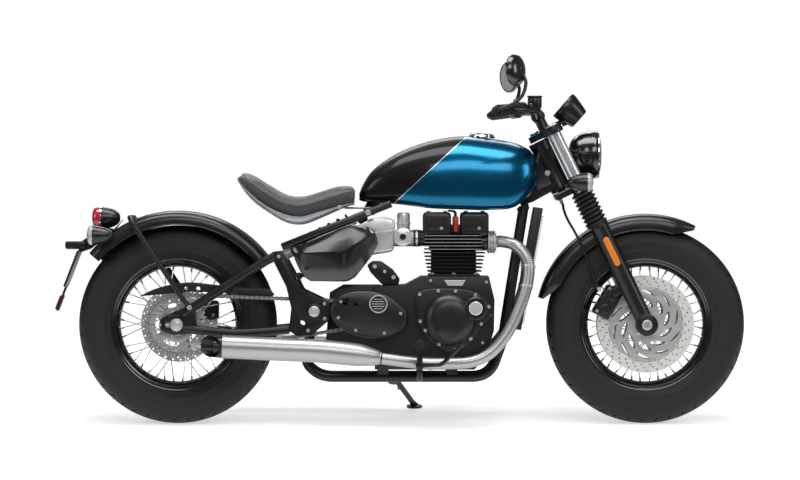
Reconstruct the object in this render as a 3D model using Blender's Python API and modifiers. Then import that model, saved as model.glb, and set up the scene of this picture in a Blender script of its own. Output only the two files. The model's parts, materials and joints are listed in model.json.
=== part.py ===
"""A bobber motorcycle on its side stand: every visible piece as a solid of its own.

The machine is drawn upright in its own frame (X forward, Y to its left, Z up from the tyres'
crown, X = 0 half way between the axles) and one empty leans the whole of it on its stand.
All lengths are metres.
"""
import math

import bmesh
import bpy
from mathutils import Matrix, Vector

# Stance
WHEELBASE = 1.500
LEAN = math.radians(7.0)
RAKE = math.radians(25.7)
FORK_OFFSET = 0.055
SEAT_GAP = 0.0003

# Wheels and tyres
TYRE_RADIUS = 0.318
BEAD_RADIUS = 0.2033
FLANGE_RADIUS = 0.2130
RIM_INNER_RADIUS = 0.184
TREAD_FLAT = 0.022
FRONT_TYRE_WIDTH = 0.130
REAR_TYRE_WIDTH = 0.150
WHEEL_SIDES = 36
SPOKES = 24
SPOKE_RADIUS = 0.0019
AXLE_RADIUS = 0.0085
BORE_RADIUS = 0.0095
FRONT_HUB_HALF = 0.050
REAR_HUB_HALF = 0.072
FRONT_DISC_RADIUS = 0.155
REAR_DISC_RADIUS = 0.124
REAR_DISC_Y = REAR_HUB_HALF + 0.003
DISC_THICKNESS = 0.005

# Chain drive, on the right
CHAIN_PITCH = 0.015875
CHAIN_Y = -0.0905
CHAIN_WIDTH = 0.017
CHAIN_DEPTH = 0.015
REAR_TEETH = 38
FRONT_TEETH = 17
FRONT_SPROCKET = (-0.200, 0.350)

# Fork, in the steering frame: x ahead of the axis, z up along it
LEG_HALF_SPACING = 0.105
TUBE_RADIUS = 0.0205
SLIDER_RADIUS = 0.0295
GAITER_RADIUS = 0.0335
GAITER_FOLDS = 8
SLIDER_TOP = 0.355
GAITER_TOP = 0.470
LOWER_YOKE_Z = 0.490
TOP_YOKE_Z = 0.690
YOKE_THICKNESS = 0.026
YOKE_BACK = 0.024
STEM_BOSS_HALF = 0.024
STEM_RADIUS = 0.0140
NECK_BORE_RADIUS = 0.0149
NECK_RADIUS = 0.033
CALIPER_ANGLE = math.radians(124.0)
INDICATOR_Y = 0.182

# Frame
CRADLE_RADIUS = 0.0150
CRADLE_Y = 0.100
DOWN_TUBE_Y = 0.060
REAR_TUBE_RADIUS = 0.0120
REAR_TUBE_Y = 0.118
BACKBONE_RADIUS = 0.020
CROSS_RADIUS = 0.0115
SWINGARM_Y = 0.124
SWINGARM_RADIUS = 0.0145
PIVOT = (-0.311, 0.361)
PIVOT_RADIUS = 0.020
CAGE_APEX = (-0.425, 0.548)
DOWN_TUBE_TOP = (0.360, 0.694)
REAR_TUBE_TOP = (-0.139, 0.676)
REAR_TUBE_FOOT = (-0.414, 0.566)
LOWER_RAIL_Z = 0.150

# Engine
CRANKCASE_HALF = 0.145
CYLINDER_HALF = 0.122
FIN_THICKNESS = 0.0038
CYLINDER_FINS = 6
HEAD_FINS = 5
CYLINDER_FIN_PITCH = 0.0117
HEAD_FIN_PITCH = 0.0108
CASE_TOP = 0.4725
BARREL_TOP = 0.5540
HEAD_TOP = 0.6040
PORT_Y = 0.078
INLET_Y = 0.070

# Body and lamps
TUNNEL_HALF = 0.042
TUNNEL_TOP = 0.760
GUARD_WALL = 0.003
FRONT_GUARD_RADIUS = 0.353
REAR_GUARD_RADIUS = 0.363
REAR_GUARD_HALF = 0.095
REAR_GUARD_START = math.radians(34.0)
REAR_GUARD_END = math.radians(141.0)
REAR_GUARD_STEPS = 12
HEADLAMP_RADIUS = 0.076
HEADER_RADIUS = 0.019
SILENCER_Y = 0.220
CAP_X = 0.226
BAR_RADIUS = 0.0125
GRIP_RADIUS = 0.0170
BAR_HALF = 0.395

# Foot controls and side stand
PEG = (0.025, 0.259)
PEG_INNER_Y = 0.250
PEG_END_Y = 0.385
PEDAL_TIP = (0.168, 0.270)
STAND_PIVOT = Vector((-0.060, 0.140, 0.136))
STAND_FOOT = (0.010, 0.292)
STAND_FOLDED = Vector((-0.990, 0.100, 0.050)).normalized()
STAND_RADIUS = 0.0095
STAND_EYE = 0.020
STAND_PAD = 0.008

# The right half of the handlebar's line, from the clamp to the grip's end
BAR_POINTS = [
    Vector((0.406, 0.0, 0.985)),
    Vector((0.406, 0.285 - BAR_HALF, 0.985)),
    Vector((0.398, 0.205 - BAR_HALF, 1.002)),
    Vector((0.352, 0.133 - BAR_HALF, 1.006)),
    Vector((0.269, -BAR_HALF, 0.997)),
]

# Header and silencer: points of the pipe's line, then place, radius and height of the silencer
HEADER_ROUTE = [
    (0.2436, 0.078, 0.582), (0.262, 0.078, 0.582), (0.290, 0.094, 0.583), (0.330, 0.120, 0.572),
    (0.360, 0.130, 0.542), (0.373, 0.136, 0.500), (0.366, 0.144, 0.440), (0.344, 0.152, 0.376),
    (0.306, 0.162, 0.296), (0.252, 0.172, 0.232), (0.192, 0.180, 0.203), (0.110, 0.190, 0.197),
    (0.020, 0.202, 0.199), (-0.096, 0.216, 0.214)]
SILENCER_ROUTE = [
    (-0.104, 0.0200, 0.216), (-0.112, 0.0250, 0.217), (-0.150, 0.0330, 0.222), (-0.176, 0.0370, 0.226),
    (-0.300, 0.0370, 0.238), (-0.480, 0.0370, 0.246), (-0.600, 0.0370, 0.251), (-0.622, 0.0350, 0.252),
    (-0.628, 0.0340, 0.252), (-0.700, 0.0340, 0.256)]

# Stations of the tank, front first: place, bottom, top, half width
TANK_STATIONS = [
    (0.402, 0.782, 0.836, 0.060),
    (0.392, 0.752, 0.863, 0.086),
    (0.366, 0.722, 0.885, 0.112),
    (0.318, 0.690, 0.903, 0.132),
    (0.240, 0.684, 0.915, 0.142),
    (0.155, 0.686, 0.921, 0.141),
    (0.060, 0.690, 0.906, 0.133),
    (-0.024, 0.701, 0.877, 0.116),
    (-0.085, 0.706, 0.843, 0.098),
    (-0.130, 0.7085, 0.806, 0.078),
    (-0.156, 0.712, 0.766, 0.058),
    (-0.168, 0.716, 0.738, 0.036),
]

# Saddle from its tail to its nose: place, pan's underside, line between pan and pad, pad's top, half width
SEAT_STATIONS = [
    (-0.556, 0.778, 0.786, 0.794, 0.118),
    (-0.532, 0.742, 0.756, 0.802, 0.140),
    (-0.500, 0.708, 0.726, 0.787, 0.152),
    (-0.455, 0.676, 0.694, 0.757, 0.158),
    (-0.400, 0.645, 0.670, 0.727, 0.154),
    (-0.350, 0.638, 0.664, 0.722, 0.142),
    (-0.300, 0.655, 0.678, 0.735, 0.124),
    (-0.250, 0.677, 0.692, 0.752, 0.106),
    (-0.205, 0.696, 0.704, 0.766, 0.092),
    (-0.184, 0.701, 0.706, 0.757, 0.084),
]

FRONT_AXLE = Vector((WHEELBASE / 2, 0.0, TYRE_RADIUS))
REAR_AXLE = Vector((-WHEELBASE / 2, 0.0, TYRE_RADIUS))
FORK_FORWARD = Vector((math.cos(RAKE), 0.0, math.sin(RAKE)))
STEER_POINT = FRONT_AXLE - FORK_FORWARD * FORK_OFFSET
STEERING = Matrix.Translation(STEER_POINT) @ Matrix.Rotation(-RAKE, 4, "Y")
GROUND_UP = Vector((0.0, -math.sin(LEAN), math.cos(LEAN)))


def clear_scene():
    for thing in list(bpy.data.objects):
        bpy.data.objects.remove(thing, do_unlink=True)


def make_collection(name):
    made = bpy.data.collections.new(name)
    bpy.context.scene.collection.children.link(made)
    return made


def make_material(name, colour, roughness, metallic):
    made = bpy.data.materials.new(name)
    made.use_nodes = True
    shader = made.node_tree.nodes["Principled BSDF"]
    shader.inputs["Base Color"].default_value = (*colour, 1.0)
    shader.inputs["Roughness"].default_value = roughness
    shader.inputs["Metallic"].default_value = metallic
    made.diffuse_color = (*colour, 1.0)
    return made


def from_bmesh(bm, matrix=None):
    """A loose object in the parts' collection, in the upright frame."""
    if matrix is not None:
        bmesh.ops.transform(bm, matrix=matrix, verts=bm.verts)
    mesh = bpy.data.meshes.new("piece")
    bm.to_mesh(mesh)
    bm.free()
    made = bpy.data.objects.new("piece", mesh)
    PARTS.objects.link(made)
    return made


def to_mesh(source):
    """Turns a curve, or an object with modifiers, into a plain welded mesh object."""
    graph = bpy.context.evaluated_depsgraph_get()
    mesh = bpy.data.meshes.new_from_object(source.evaluated_get(graph), depsgraph=graph)
    bm = bmesh.new()
    bm.from_mesh(mesh)
    bmesh.ops.remove_doubles(bm, verts=bm.verts, dist=0.00002)
    bmesh.ops.recalc_face_normals(bm, faces=bm.faces)
    bm.to_mesh(mesh)
    bm.free()
    made = bpy.data.objects.new("piece", mesh)
    made.matrix_world = source.matrix_world
    PARTS.objects.link(made)
    bpy.data.objects.remove(source, do_unlink=True)
    return made


def box(low, high, bevel=0.0, matrix=None):
    low, high = Vector(low), Vector(high)
    bm = bmesh.new()
    bmesh.ops.create_cube(bm, size=1.0)
    bmesh.ops.scale(bm, vec=high - low, verts=bm.verts)
    bmesh.ops.translate(bm, vec=(low + high) / 2, verts=bm.verts)
    if bevel:
        bmesh.ops.bevel(bm, geom=bm.edges[:], offset=bevel, segments=1, affect="EDGES")
    return from_bmesh(bm, matrix)


def rod(start, end, radius, sides=16, end_radius=None):
    """A cylinder or cone between two points."""
    start, end = Vector(start), Vector(end)
    run = end - start
    bm = bmesh.new()
    bmesh.ops.create_cone(
        bm, cap_ends=True, segments=sides, depth=run.length,
        radius1=radius, radius2=radius if end_radius is None else end_radius)
    turn = Vector((0.0, 0.0, 1.0)).rotation_difference(run).to_matrix().to_4x4()
    return from_bmesh(bm, Matrix.Translation((start + end) / 2) @ turn)


def turned(profile, centre, direction, sides, ring=False, half_step=False):
    """A solid turned about a line: profile holds (radius, distance along), far end first."""
    bm = bmesh.new()
    verts = [bm.verts.new((radius, 0.0, along)) for radius, along in profile]
    for first, second in zip(verts, verts[1:]):
        bm.edges.new((first, second))
    if ring:
        bm.edges.new((verts[-1], verts[0]))
    source = from_bmesh(bm)
    screw = source.modifiers.new("Turn", "SCREW")
    screw.steps = sides
    screw.render_steps = sides
    screw.use_merge_vertices = True
    screw.merge_threshold = 0.00005
    made = to_mesh(source)
    turn = Vector((0.0, 0.0, 1.0)).rotation_difference(Vector(direction)).to_matrix().to_4x4()
    place = Matrix.Translation(Vector(centre)) @ turn
    if half_step:
        place = place @ Matrix.Rotation(math.pi / sides, 4, "Z")
    made.data.transform(place)
    return made


def plate(outline, y_low, y_high, holes=()):
    """A flat outline in X and Z, with holes, as thick as the two Y values say."""
    curve = bpy.data.curves.new("outline", "CURVE")
    curve.dimensions = "2D"
    curve.fill_mode = "BOTH"
    curve.extrude = (y_high - y_low) / 2
    for loop in (outline, *holes):
        spline = curve.splines.new("POLY")
        spline.points.add(len(loop) - 1)
        for point, (x, z) in zip(spline.points, loop):
            point.co = (x, z, 0.0, 1.0)
        spline.use_cyclic_u = True
    source = bpy.data.objects.new("outline", curve)
    PARTS.objects.link(source)
    source.matrix_world = (
        Matrix.Translation((0.0, (y_low + y_high) / 2, 0.0)) @ Matrix.Rotation(math.pi / 2, 4, "X"))
    bpy.context.view_layer.update()
    made = to_mesh(source)
    made.data.transform(made.matrix_world)
    made.matrix_world = Matrix.Identity(4)
    return made


def tube(points, radius, resolution=2, scales=None):
    """A round bar along its points, with a scale of the radius at each where it changes."""
    curve = bpy.data.curves.new("bar", "CURVE")
    curve.dimensions = "3D"
    curve.bevel_depth = radius
    curve.bevel_resolution = resolution
    curve.use_fill_caps = True
    spline = curve.splines.new("POLY")
    spline.points.add(len(points) - 1)
    for index, (point, place) in enumerate(zip(spline.points, points)):
        point.co = (*place, 1.0)
        point.radius = scales[index] if scales else 1.0
    source = bpy.data.objects.new("bar", curve)
    PARTS.objects.link(source)
    bpy.context.view_layer.update()
    return to_mesh(source)


def rounded(points, radius, steps=4):
    """The same route with each inner corner bent to an arc of about this radius."""
    points = [Vector(point) for point in points]
    route = [points[0]]
    for before, corner, after in zip(points, points[1:], points[2:]):
        back, ahead = (before - corner), (after - corner)
        half = back.angle(ahead) / 2
        reach = min(radius / max(math.tan(half), 0.05), 0.45 * back.length, 0.45 * ahead.length)
        start, end = corner + back.normalized() * reach, corner + ahead.normalized() * reach
        for step in range(steps + 1):
            t = step / steps
            route.append(start * (1 - t) ** 2 + corner * 2 * t * (1 - t) + end * t ** 2)
    route.append(points[-1])
    return route


def smooth(points, per_span=3):
    """Points read from a smooth curve through the route's own points."""
    points = [Vector(point) for point in points]
    padded = [points[0] * 2 - points[1], *points, points[-1] * 2 - points[-2]]
    route = []
    for a, b, c, d in zip(padded, padded[1:], padded[2:], padded[3:]):
        for step in range(per_span):
            t = step / per_span
            route.append(0.5 * (
                2 * b + (c - a) * t + (2 * a - 5 * b + 4 * c - d) * t ** 2
                + (3 * b - a - 3 * c + d) * t ** 3))
    route.append(points[-1])
    return route


def loft(sections):
    """A closed solid through sections that all have the same count of points."""
    bm = bmesh.new()
    rings = [[bm.verts.new(point) for point in section] for section in sections]
    for ring, following in zip(rings, rings[1:]):
        for index in range(len(ring)):
            after = (index + 1) % len(ring)
            bm.faces.new((ring[index], ring[after], following[after], following[index]))
    bm.faces.new(rings[0])
    bm.faces.new(rings[-1])
    bmesh.ops.recalc_face_normals(bm, faces=bm.faces)
    bmesh.ops.triangulate(bm, faces=[f for f in bm.faces if len(f.verts) > 4])
    return from_bmesh(bm)


def combine(base, others, operation="UNION"):
    """Joins or cuts the base with the others, one after another, and drops them."""
    for other in others:
        change = base.modifiers.new("Change", "BOOLEAN")
        change.operation = operation
        change.object = other
        change.solver = "EXACT"
    bpy.context.view_layer.update()
    made = to_mesh(base)
    for other in others:
        bpy.data.objects.remove(other, do_unlink=True)
    return made


def union(base, *others):
    return combine(base, others, "UNION")


def cut(base, *others):
    return combine(base, others, "DIFFERENCE")


def gather(pieces):
    """Loose pieces that don't touch as one object, to be cut or joined in one step."""
    bm = bmesh.new()
    for piece in pieces:
        bm.from_mesh(piece.data)
        bpy.data.objects.remove(piece, do_unlink=True)
    return from_bmesh(bm)


def place_in_steering(piece):
    piece.data.transform(STEERING)
    return piece


def drop_flat_edges(piece):
    """Takes out the edges that joins and cuts leave across flat faces."""
    bm = bmesh.new()
    bm.from_mesh(piece.data)
    bmesh.ops.dissolve_limit(bm, angle_limit=math.radians(0.3), verts=bm.verts, edges=bm.edges)
    bmesh.ops.triangulate(bm, faces=bm.faces[:])
    bm.to_mesh(piece.data)
    bm.free()


def finish(piece, name, material, carrier):
    """Names the piece, gives it its material and hangs it on the empty that carries it."""
    drop_flat_edges(piece)
    piece.name = name
    piece.data.name = name
    piece.data.materials.clear()
    piece.data.materials.append(material)
    piece.data.shade_smooth()
    piece.data.set_sharp_from_angle(angle=math.radians(35.0))
    piece.parent = carrier
    piece.matrix_parent_inverse = carrier.matrix_world.inverted()
    return piece


def make_empty(name, matrix, parent=None):
    made = bpy.data.objects.new(name, None)
    made.empty_display_size = 0.1
    PARTS.objects.link(made)
    made.matrix_world = matrix
    bpy.context.view_layer.update()
    if parent is not None:
        made.parent = parent
        made.matrix_parent_inverse = parent.matrix_world.inverted()
        bpy.context.view_layer.update()
    return made


def circle(centre, radius, count, start=0.0):
    return [(centre[0] + radius * math.cos(start + 2 * math.pi * i / count),
             centre[1] + radius * math.sin(start + 2 * math.pi * i / count))
            for i in range(count)]


# Wheels


def make_tyre(centre, half_width):
    """A fat tyre whose tread lies flat on the floor when the machine leans on its stand."""
    shoulder = TYRE_RADIUS - TREAD_FLAT * math.tan(LEAN)
    side = [
        (shoulder, TREAD_FLAT),
        (TYRE_RADIUS - 0.012, half_width * 0.68),
        (TYRE_RADIUS - 0.029, half_width * 0.90),
        (TYRE_RADIUS - 0.055, half_width),
        (TYRE_RADIUS - 0.080, half_width * 0.97),
        (FLANGE_RADIUS, 0.0535),
        (BEAD_RADIUS, 0.0490),
    ]
    profile = [(TYRE_RADIUS, 0.0), *[(r, -y) for r, y in side], *[(r, y) for r, y in reversed(side)]]
    return turned(profile, centre, (0, 1, 0), WHEEL_SIDES, ring=True, half_step=True)


def make_wire_wheel(centre, hub_half, hub_radius):
    """Rim, hub and crossed spokes as one piece, with a bore for the axle."""
    side = [(RIM_INNER_RADIUS, 0.014), (RIM_INNER_RADIUS + 0.011, 0.0488), (BEAD_RADIUS - SEAT_GAP, 0.0488)]
    profile = [(r, -y) for r, y in side] + [(r, y) for r, y in reversed(side)]
    rim = turned(profile, centre, (0, 1, 0), WHEEL_SIDES, ring=True, half_step=True)
    flange_y = hub_half - 0.016
    hub_profile = [
        (BORE_RADIUS, hub_half), (hub_radius * 0.62, hub_half), (hub_radius * 0.62, flange_y + 0.004),
        (hub_radius, flange_y + 0.004), (hub_radius, flange_y - 0.004),
        (hub_radius * 0.62, flange_y - 0.004)]
    hub_profile += [(r, -along) for r, along in reversed(hub_profile)]
    hub = turned(hub_profile, centre, (0, 1, 0), 14, ring=True)
    spokes = []
    for index in range(SPOKES):
        side = 1 if index % 2 else -1
        lean = 1 if (index // 2) % 2 else -1
        at_rim = 2 * math.pi * (index + 0.5) / SPOKES
        at_hub = at_rim + lean * math.radians(62.0)
        start_y = side * (flange_y + (0.0015 if lean > 0 else -0.0015))
        start = centre + Vector((
            (hub_radius - 0.004) * math.cos(at_hub), start_y, (hub_radius - 0.004) * math.sin(at_hub)))
        end = centre + Vector((
            (RIM_INNER_RADIUS + 0.003) * math.cos(at_rim), side * (0.007 + 0.002 * lean),
            (RIM_INNER_RADIUS + 0.003) * math.sin(at_rim)))
        spokes.append(rod(start, end, SPOKE_RADIUS, sides=3))
    return union(gather([rim, hub]), gather(spokes))


def make_disc(centre, y, radius, ring_width, hub_radius, windows):
    """A brake disc with its carrier, cut through by round-ended windows between the arms."""
    inner = radius - ring_width
    holes = [circle((centre.x, centre.z), hub_radius, 20)]
    for index in range(windows):
        middle = 2 * math.pi * (index + 0.5) / windows
        reach = math.pi / windows - math.radians(9.0)
        loop = [(inner, -reach), (inner * 1.01, 0.0), (inner, reach), (inner * 0.72, reach * 0.85),
                (hub_radius + 0.026, 0.0), (inner * 0.72, -reach * 0.85)]
        holes.append([(centre.x + r * math.cos(middle + turn), centre.z + r * math.sin(middle + turn))
                      for r, turn in loop])
    return plate(circle((centre.x, centre.z), radius, 32), y - DISC_THICKNESS / 2,
                 y + DISC_THICKNESS / 2, holes)


def sprocket_pitch_radius(teeth):
    return CHAIN_PITCH / (2 * math.sin(math.pi / teeth))


def make_rear_sprocket():
    """Toothed ring inside the chain, on a spoked carrier against the hub."""
    tip = sprocket_pitch_radius(REAR_TEETH) - CHAIN_DEPTH / 2 - 0.0008
    root = tip - 0.006
    outline = []
    for tooth in range(REAR_TEETH):
        angle = 2 * math.pi * tooth / REAR_TEETH
        half = math.pi / REAR_TEETH
        for turn, radius in ((0.0, tip), (half, root)):
            outline.append((REAR_AXLE.x + radius * math.cos(angle + turn),
                            REAR_AXLE.z + radius * math.sin(angle + turn)))
    holes = [circle((REAR_AXLE.x, REAR_AXLE.z), 0.026, 16)]
    for index in range(5):
        angle = 2 * math.pi * index / 5
        holes.append(circle((REAR_AXLE.x + 0.056 * math.cos(angle),
                             REAR_AXLE.z + 0.056 * math.sin(angle)), 0.015, 8))
    ring = plate(outline, CHAIN_Y - 0.003, CHAIN_Y + 0.003, holes)
    inside, outside = -REAR_HUB_HALF - SEAT_GAP, CHAIN_Y
    carrier = turned([(0.0165, -outside), (0.031, -outside), (0.031, -inside), (0.0165, -inside)],
                     REAR_AXLE, (0, -1, 0), 16, ring=True)
    return union(ring, carrier)


def chain_path():
    """Pitch line of the chain: one pin at every pitch round both sprockets and along the runs."""
    rear, front = Vector((REAR_AXLE.x, REAR_AXLE.z)), Vector(FRONT_SPROCKET)
    big, small = sprocket_pitch_radius(REAR_TEETH), sprocket_pitch_radius(FRONT_TEETH)
    span = front - rear
    slope = math.atan2(span.y, span.x)
    spread = math.acos((big - small) / span.length)
    run = math.sqrt(span.length ** 2 - (big - small) ** 2)
    wrap_big, wrap_small = 2 * (math.pi - spread), 2 * spread
    length = 2 * run + wrap_big * big + wrap_small * small
    count = 2 * round(length / CHAIN_PITCH / 2)
    pins = []
    for index in range(2 * count):
        travel = length * index / (2 * count)
        if travel < run:
            angle = slope + spread
            along = Vector((math.sin(angle), -math.cos(angle)))
            out = Vector((math.cos(angle), math.sin(angle)))
            pins.append((rear + out * big + along * travel, out))
        elif travel < run + wrap_small * small:
            angle = slope + spread - (travel - run) / small
            out = Vector((math.cos(angle), math.sin(angle)))
            pins.append((front + out * small, out))
        elif travel < 2 * run + wrap_small * small:
            angle = slope - spread
            along = Vector((math.sin(angle), -math.cos(angle)))
            out = Vector((math.cos(angle), math.sin(angle)))
            pins.append((front + out * small + along * (travel - run - wrap_small * small), out))
        else:
            travel -= 2 * run + wrap_small * small
            angle = slope - spread - travel / big
            out = Vector((math.cos(angle), math.sin(angle)))
            pins.append((rear + out * big, out))
    return pins


def make_chain():
    """One loop with its links in its outline: wide at each pin, waisted between two."""
    outer, inner = [], []
    for index, (place, out) in enumerate(chain_path()):
        half = CHAIN_DEPTH / 2 if index % 2 == 0 else CHAIN_DEPTH * 0.33
        outer.append(tuple(place + out * half))
        if index % 2 == 0:
            inner.append(tuple(place - out * half))
    return plate(outer, CHAIN_Y - CHAIN_WIDTH / 2, CHAIN_Y + CHAIN_WIDTH / 2, [inner])


def make_front_axle():
    """The spindle with a spacer at each side, from one fork leg to the other."""
    reach = LEG_HALF_SPACING - SLIDER_RADIUS - SEAT_GAP
    spindle = rod(FRONT_AXLE - Vector((0, reach, 0)), FRONT_AXLE + Vector((0, reach, 0)), AXLE_RADIUS, 16)
    spacers = []
    for side in (-1, 1):
        start = FRONT_AXLE + Vector((0, side * (FRONT_HUB_HALF + 0.0055), 0))
        spacers.append(rod(start, FRONT_AXLE + Vector((0, side * reach, 0)), 0.014, 16))
    return union(spindle, gather(spacers))


def make_rear_axle():
    """The spindle through the wheel, its spacers and the nut outside each axle plate."""
    inner = SWINGARM_Y - 0.006 - SEAT_GAP
    spindle = rod(REAR_AXLE - Vector((0, inner, 0)), REAR_AXLE + Vector((0, inner, 0)), AXLE_RADIUS, 16)
    spacers = []
    for side in (-1, 1):
        start = REAR_AXLE + Vector((0, side * (REAR_HUB_HALF + 0.024), 0))
        spacers.append(rod(start, REAR_AXLE + Vector((0, side * inner, 0)), 0.015, 16))
    return union(spindle, gather(spacers))


# Steering


def make_lower_yoke():
    low, high = LOWER_YOKE_Z - YOKE_THICKNESS / 2, LOWER_YOKE_Z + YOKE_THICKNESS / 2
    bosses = [rod((FORK_OFFSET, side * LEG_HALF_SPACING, low), (FORK_OFFSET, side * LEG_HALF_SPACING, high),
                  TUBE_RADIUS + 0.011, 14) for side in (-1, 1)]
    web = box((-0.030, -LEG_HALF_SPACING, low + 0.002),
              (FORK_OFFSET + 0.018, LEG_HALF_SPACING, high - 0.002), 0.004)
    stem = rod((0, 0, low + 0.004), (0, 0, TOP_YOKE_Z - YOKE_THICKNESS / 2 - 0.0005), STEM_RADIUS, 16)
    bores = [rod((FORK_OFFSET, side * LEG_HALF_SPACING, low - 0.01),
                 (FORK_OFFSET, side * LEG_HALF_SPACING, high + 0.01), TUBE_RADIUS + 3 * SEAT_GAP, 14)
             for side in (-1, 1)]
    return place_in_steering(cut(union(web, *bosses, stem), gather(bores)))


def make_top_yoke():
    """Fork clamp with the two risers that carry the handlebar."""
    low, high = TOP_YOKE_Z - YOKE_THICKNESS / 2, TOP_YOKE_Z + YOKE_THICKNESS / 2
    bosses = [rod((FORK_OFFSET, side * LEG_HALF_SPACING, low), (FORK_OFFSET, side * LEG_HALF_SPACING, high),
                  TUBE_RADIUS + 0.011, 14) for side in (-1, 1)]
    # Outline in forward and sideways steps from the stem: its back narrows, so it clears the turned-to tank.
    outline = [(-YOKE_BACK, -STEM_BOSS_HALF), (FORK_OFFSET - 0.022, -LEG_HALF_SPACING),
               (FORK_OFFSET + 0.016, -LEG_HALF_SPACING), (FORK_OFFSET + 0.016, LEG_HALF_SPACING),
               (FORK_OFFSET - 0.022, LEG_HALF_SPACING), (-YOKE_BACK, STEM_BOSS_HALF)]
    web = plate(outline, low + 0.003, high - 0.003)
    web.data.transform(Matrix.Rotation(math.radians(90.0), 4, "X"))
    bores = [rod((FORK_OFFSET, side * LEG_HALF_SPACING, low - 0.01),
                 (FORK_OFFSET, side * LEG_HALF_SPACING, high + 0.01), TUBE_RADIUS + 3 * SEAT_GAP, 14)
             for side in (-1, 1)]
    yoke = place_in_steering(cut(union(web, *bosses), gather(bores)))
    inverse = STEERING.inverted()
    bar = BAR_POINTS[0]
    foot_z = (inverse @ bar).z
    foot_x = (inverse @ bar).x
    risers = []
    for side in (-1, 1):
        foot = STEERING @ Vector((foot_x, side * 0.040, high - 0.006))
        head = STEERING @ Vector((foot_x, side * 0.040, foot_z))
        pillar = rod(foot, head, 0.016, 12)
        clamp = rod(Vector((bar.x, side * 0.040 - 0.014, bar.z)),
                    Vector((bar.x, side * 0.040 + 0.014, bar.z)),
                    BAR_RADIUS + 0.009, 12)
        risers.append(union(pillar, clamp))
    bore = rod(Vector((bar.x, -0.07, bar.z)), Vector((bar.x, 0.07, bar.z)), BAR_RADIUS + 2 * SEAT_GAP, 12)
    return cut(union(yoke, *risers), bore)


def make_fork_leg(side):
    """Fork tube, folded gaiter, slider, axle lug and brake caliper on one side."""
    y = side * LEG_HALF_SPACING
    top = TOP_YOKE_Z + YOKE_THICKNESS / 2 + 0.004
    profile = [(0.0, top), (TUBE_RADIUS, top), (TUBE_RADIUS, GAITER_TOP)]
    fold = (GAITER_TOP - SLIDER_TOP) / GAITER_FOLDS
    for index in range(GAITER_FOLDS):
        upper = GAITER_TOP - fold * index
        profile += [(GAITER_RADIUS - 0.007, upper - 0.0006), (GAITER_RADIUS, upper - fold / 2)]
    profile += [
        (SLIDER_RADIUS + 0.001, SLIDER_TOP), (SLIDER_RADIUS, SLIDER_TOP - 0.012),
        (SLIDER_RADIUS - 0.002, 0.035), (SLIDER_RADIUS - 0.004, -0.030), (0.0, -0.034)]
    leg = turned(profile, (FORK_OFFSET, y, 0.0), (0, 0, 1), 12)
    lug = rod((FORK_OFFSET, y - SLIDER_RADIUS * 0.999, 0.0), (FORK_OFFSET, y + SLIDER_RADIUS * 0.999, 0.0),
              0.036, 14)
    cap = rod((FORK_OFFSET, y, 0.0), (FORK_OFFSET, y + side * (SLIDER_RADIUS + 0.007), 0.0), 0.017, 12)
    disc_y = side * (FRONT_HUB_HALF + 0.003)
    arm_y = (side * (abs(disc_y) + 0.009), y)
    arm = box((FORK_OFFSET - 0.056, min(arm_y), 0.124), (FORK_OFFSET, max(arm_y), 0.152), 0.002)
    turn = Matrix.Translation((FORK_OFFSET, 0.0, 0.0)) @ Matrix.Rotation(-CALIPER_ANGLE, 4, "Y")
    body = box((0.112, disc_y - 0.022, -0.052), (0.168, disc_y + 0.022, 0.052), 0.008, turn)
    groove = box((0.040, disc_y - 0.0065, -0.12), (FRONT_DISC_RADIUS + 0.006, disc_y + 0.0065, 0.12),
                 0.0, turn)
    leg = cut(union(leg, lug, cap, arm, body), groove)
    return place_in_steering(leg)


def make_handlebar():
    """Bar, grips, switch housings and levers, with the brake fluid reservoir on the right."""
    right = rounded(BAR_POINTS, 0.06, 3)
    route = [Vector((p.x, -p.y, p.z)) for p in reversed(right[1:])] + right
    bar = tube(route, BAR_RADIUS, 1)
    extras = []
    inner, end = BAR_POINTS[-2], BAR_POINTS[-1]
    run = (end - inner).normalized()
    for side in (-1, 1):
        def at(point):
            return Vector((point.x, -side * point.y, point.z))
        extras.append(rod(at(end - run * 0.115), at(end + run * 0.002), GRIP_RADIUS, 12))
        extras.append(rod(at(end - run * 0.155), at(end - run * 0.1155), 0.021, 12))
        pivot = end - run * 0.165 + Vector((0.020, 0.0, 0.004))
        lever = [pivot + Vector((-0.024, 0.0, -0.004)), pivot + Vector((0.018, 0.0, -0.002)),
                 pivot + run * 0.05 + Vector((0.034, 0.0, -0.008)),
                 pivot + run * 0.155 + Vector((0.028, 0.0, -0.006))]
        extras.append(tube([at(p) for p in rounded(lever, 0.02, 2)], 0.0058, 1))
    reservoir = end - run * 0.185 + Vector((0.022, 0.0, 0.022))
    extras.append(box(reservoir - Vector((0.024, 0.021, 0.024)), reservoir + Vector((0.024, 0.021, 0.016)),
                      0.004))
    return union(bar, *extras)


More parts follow.
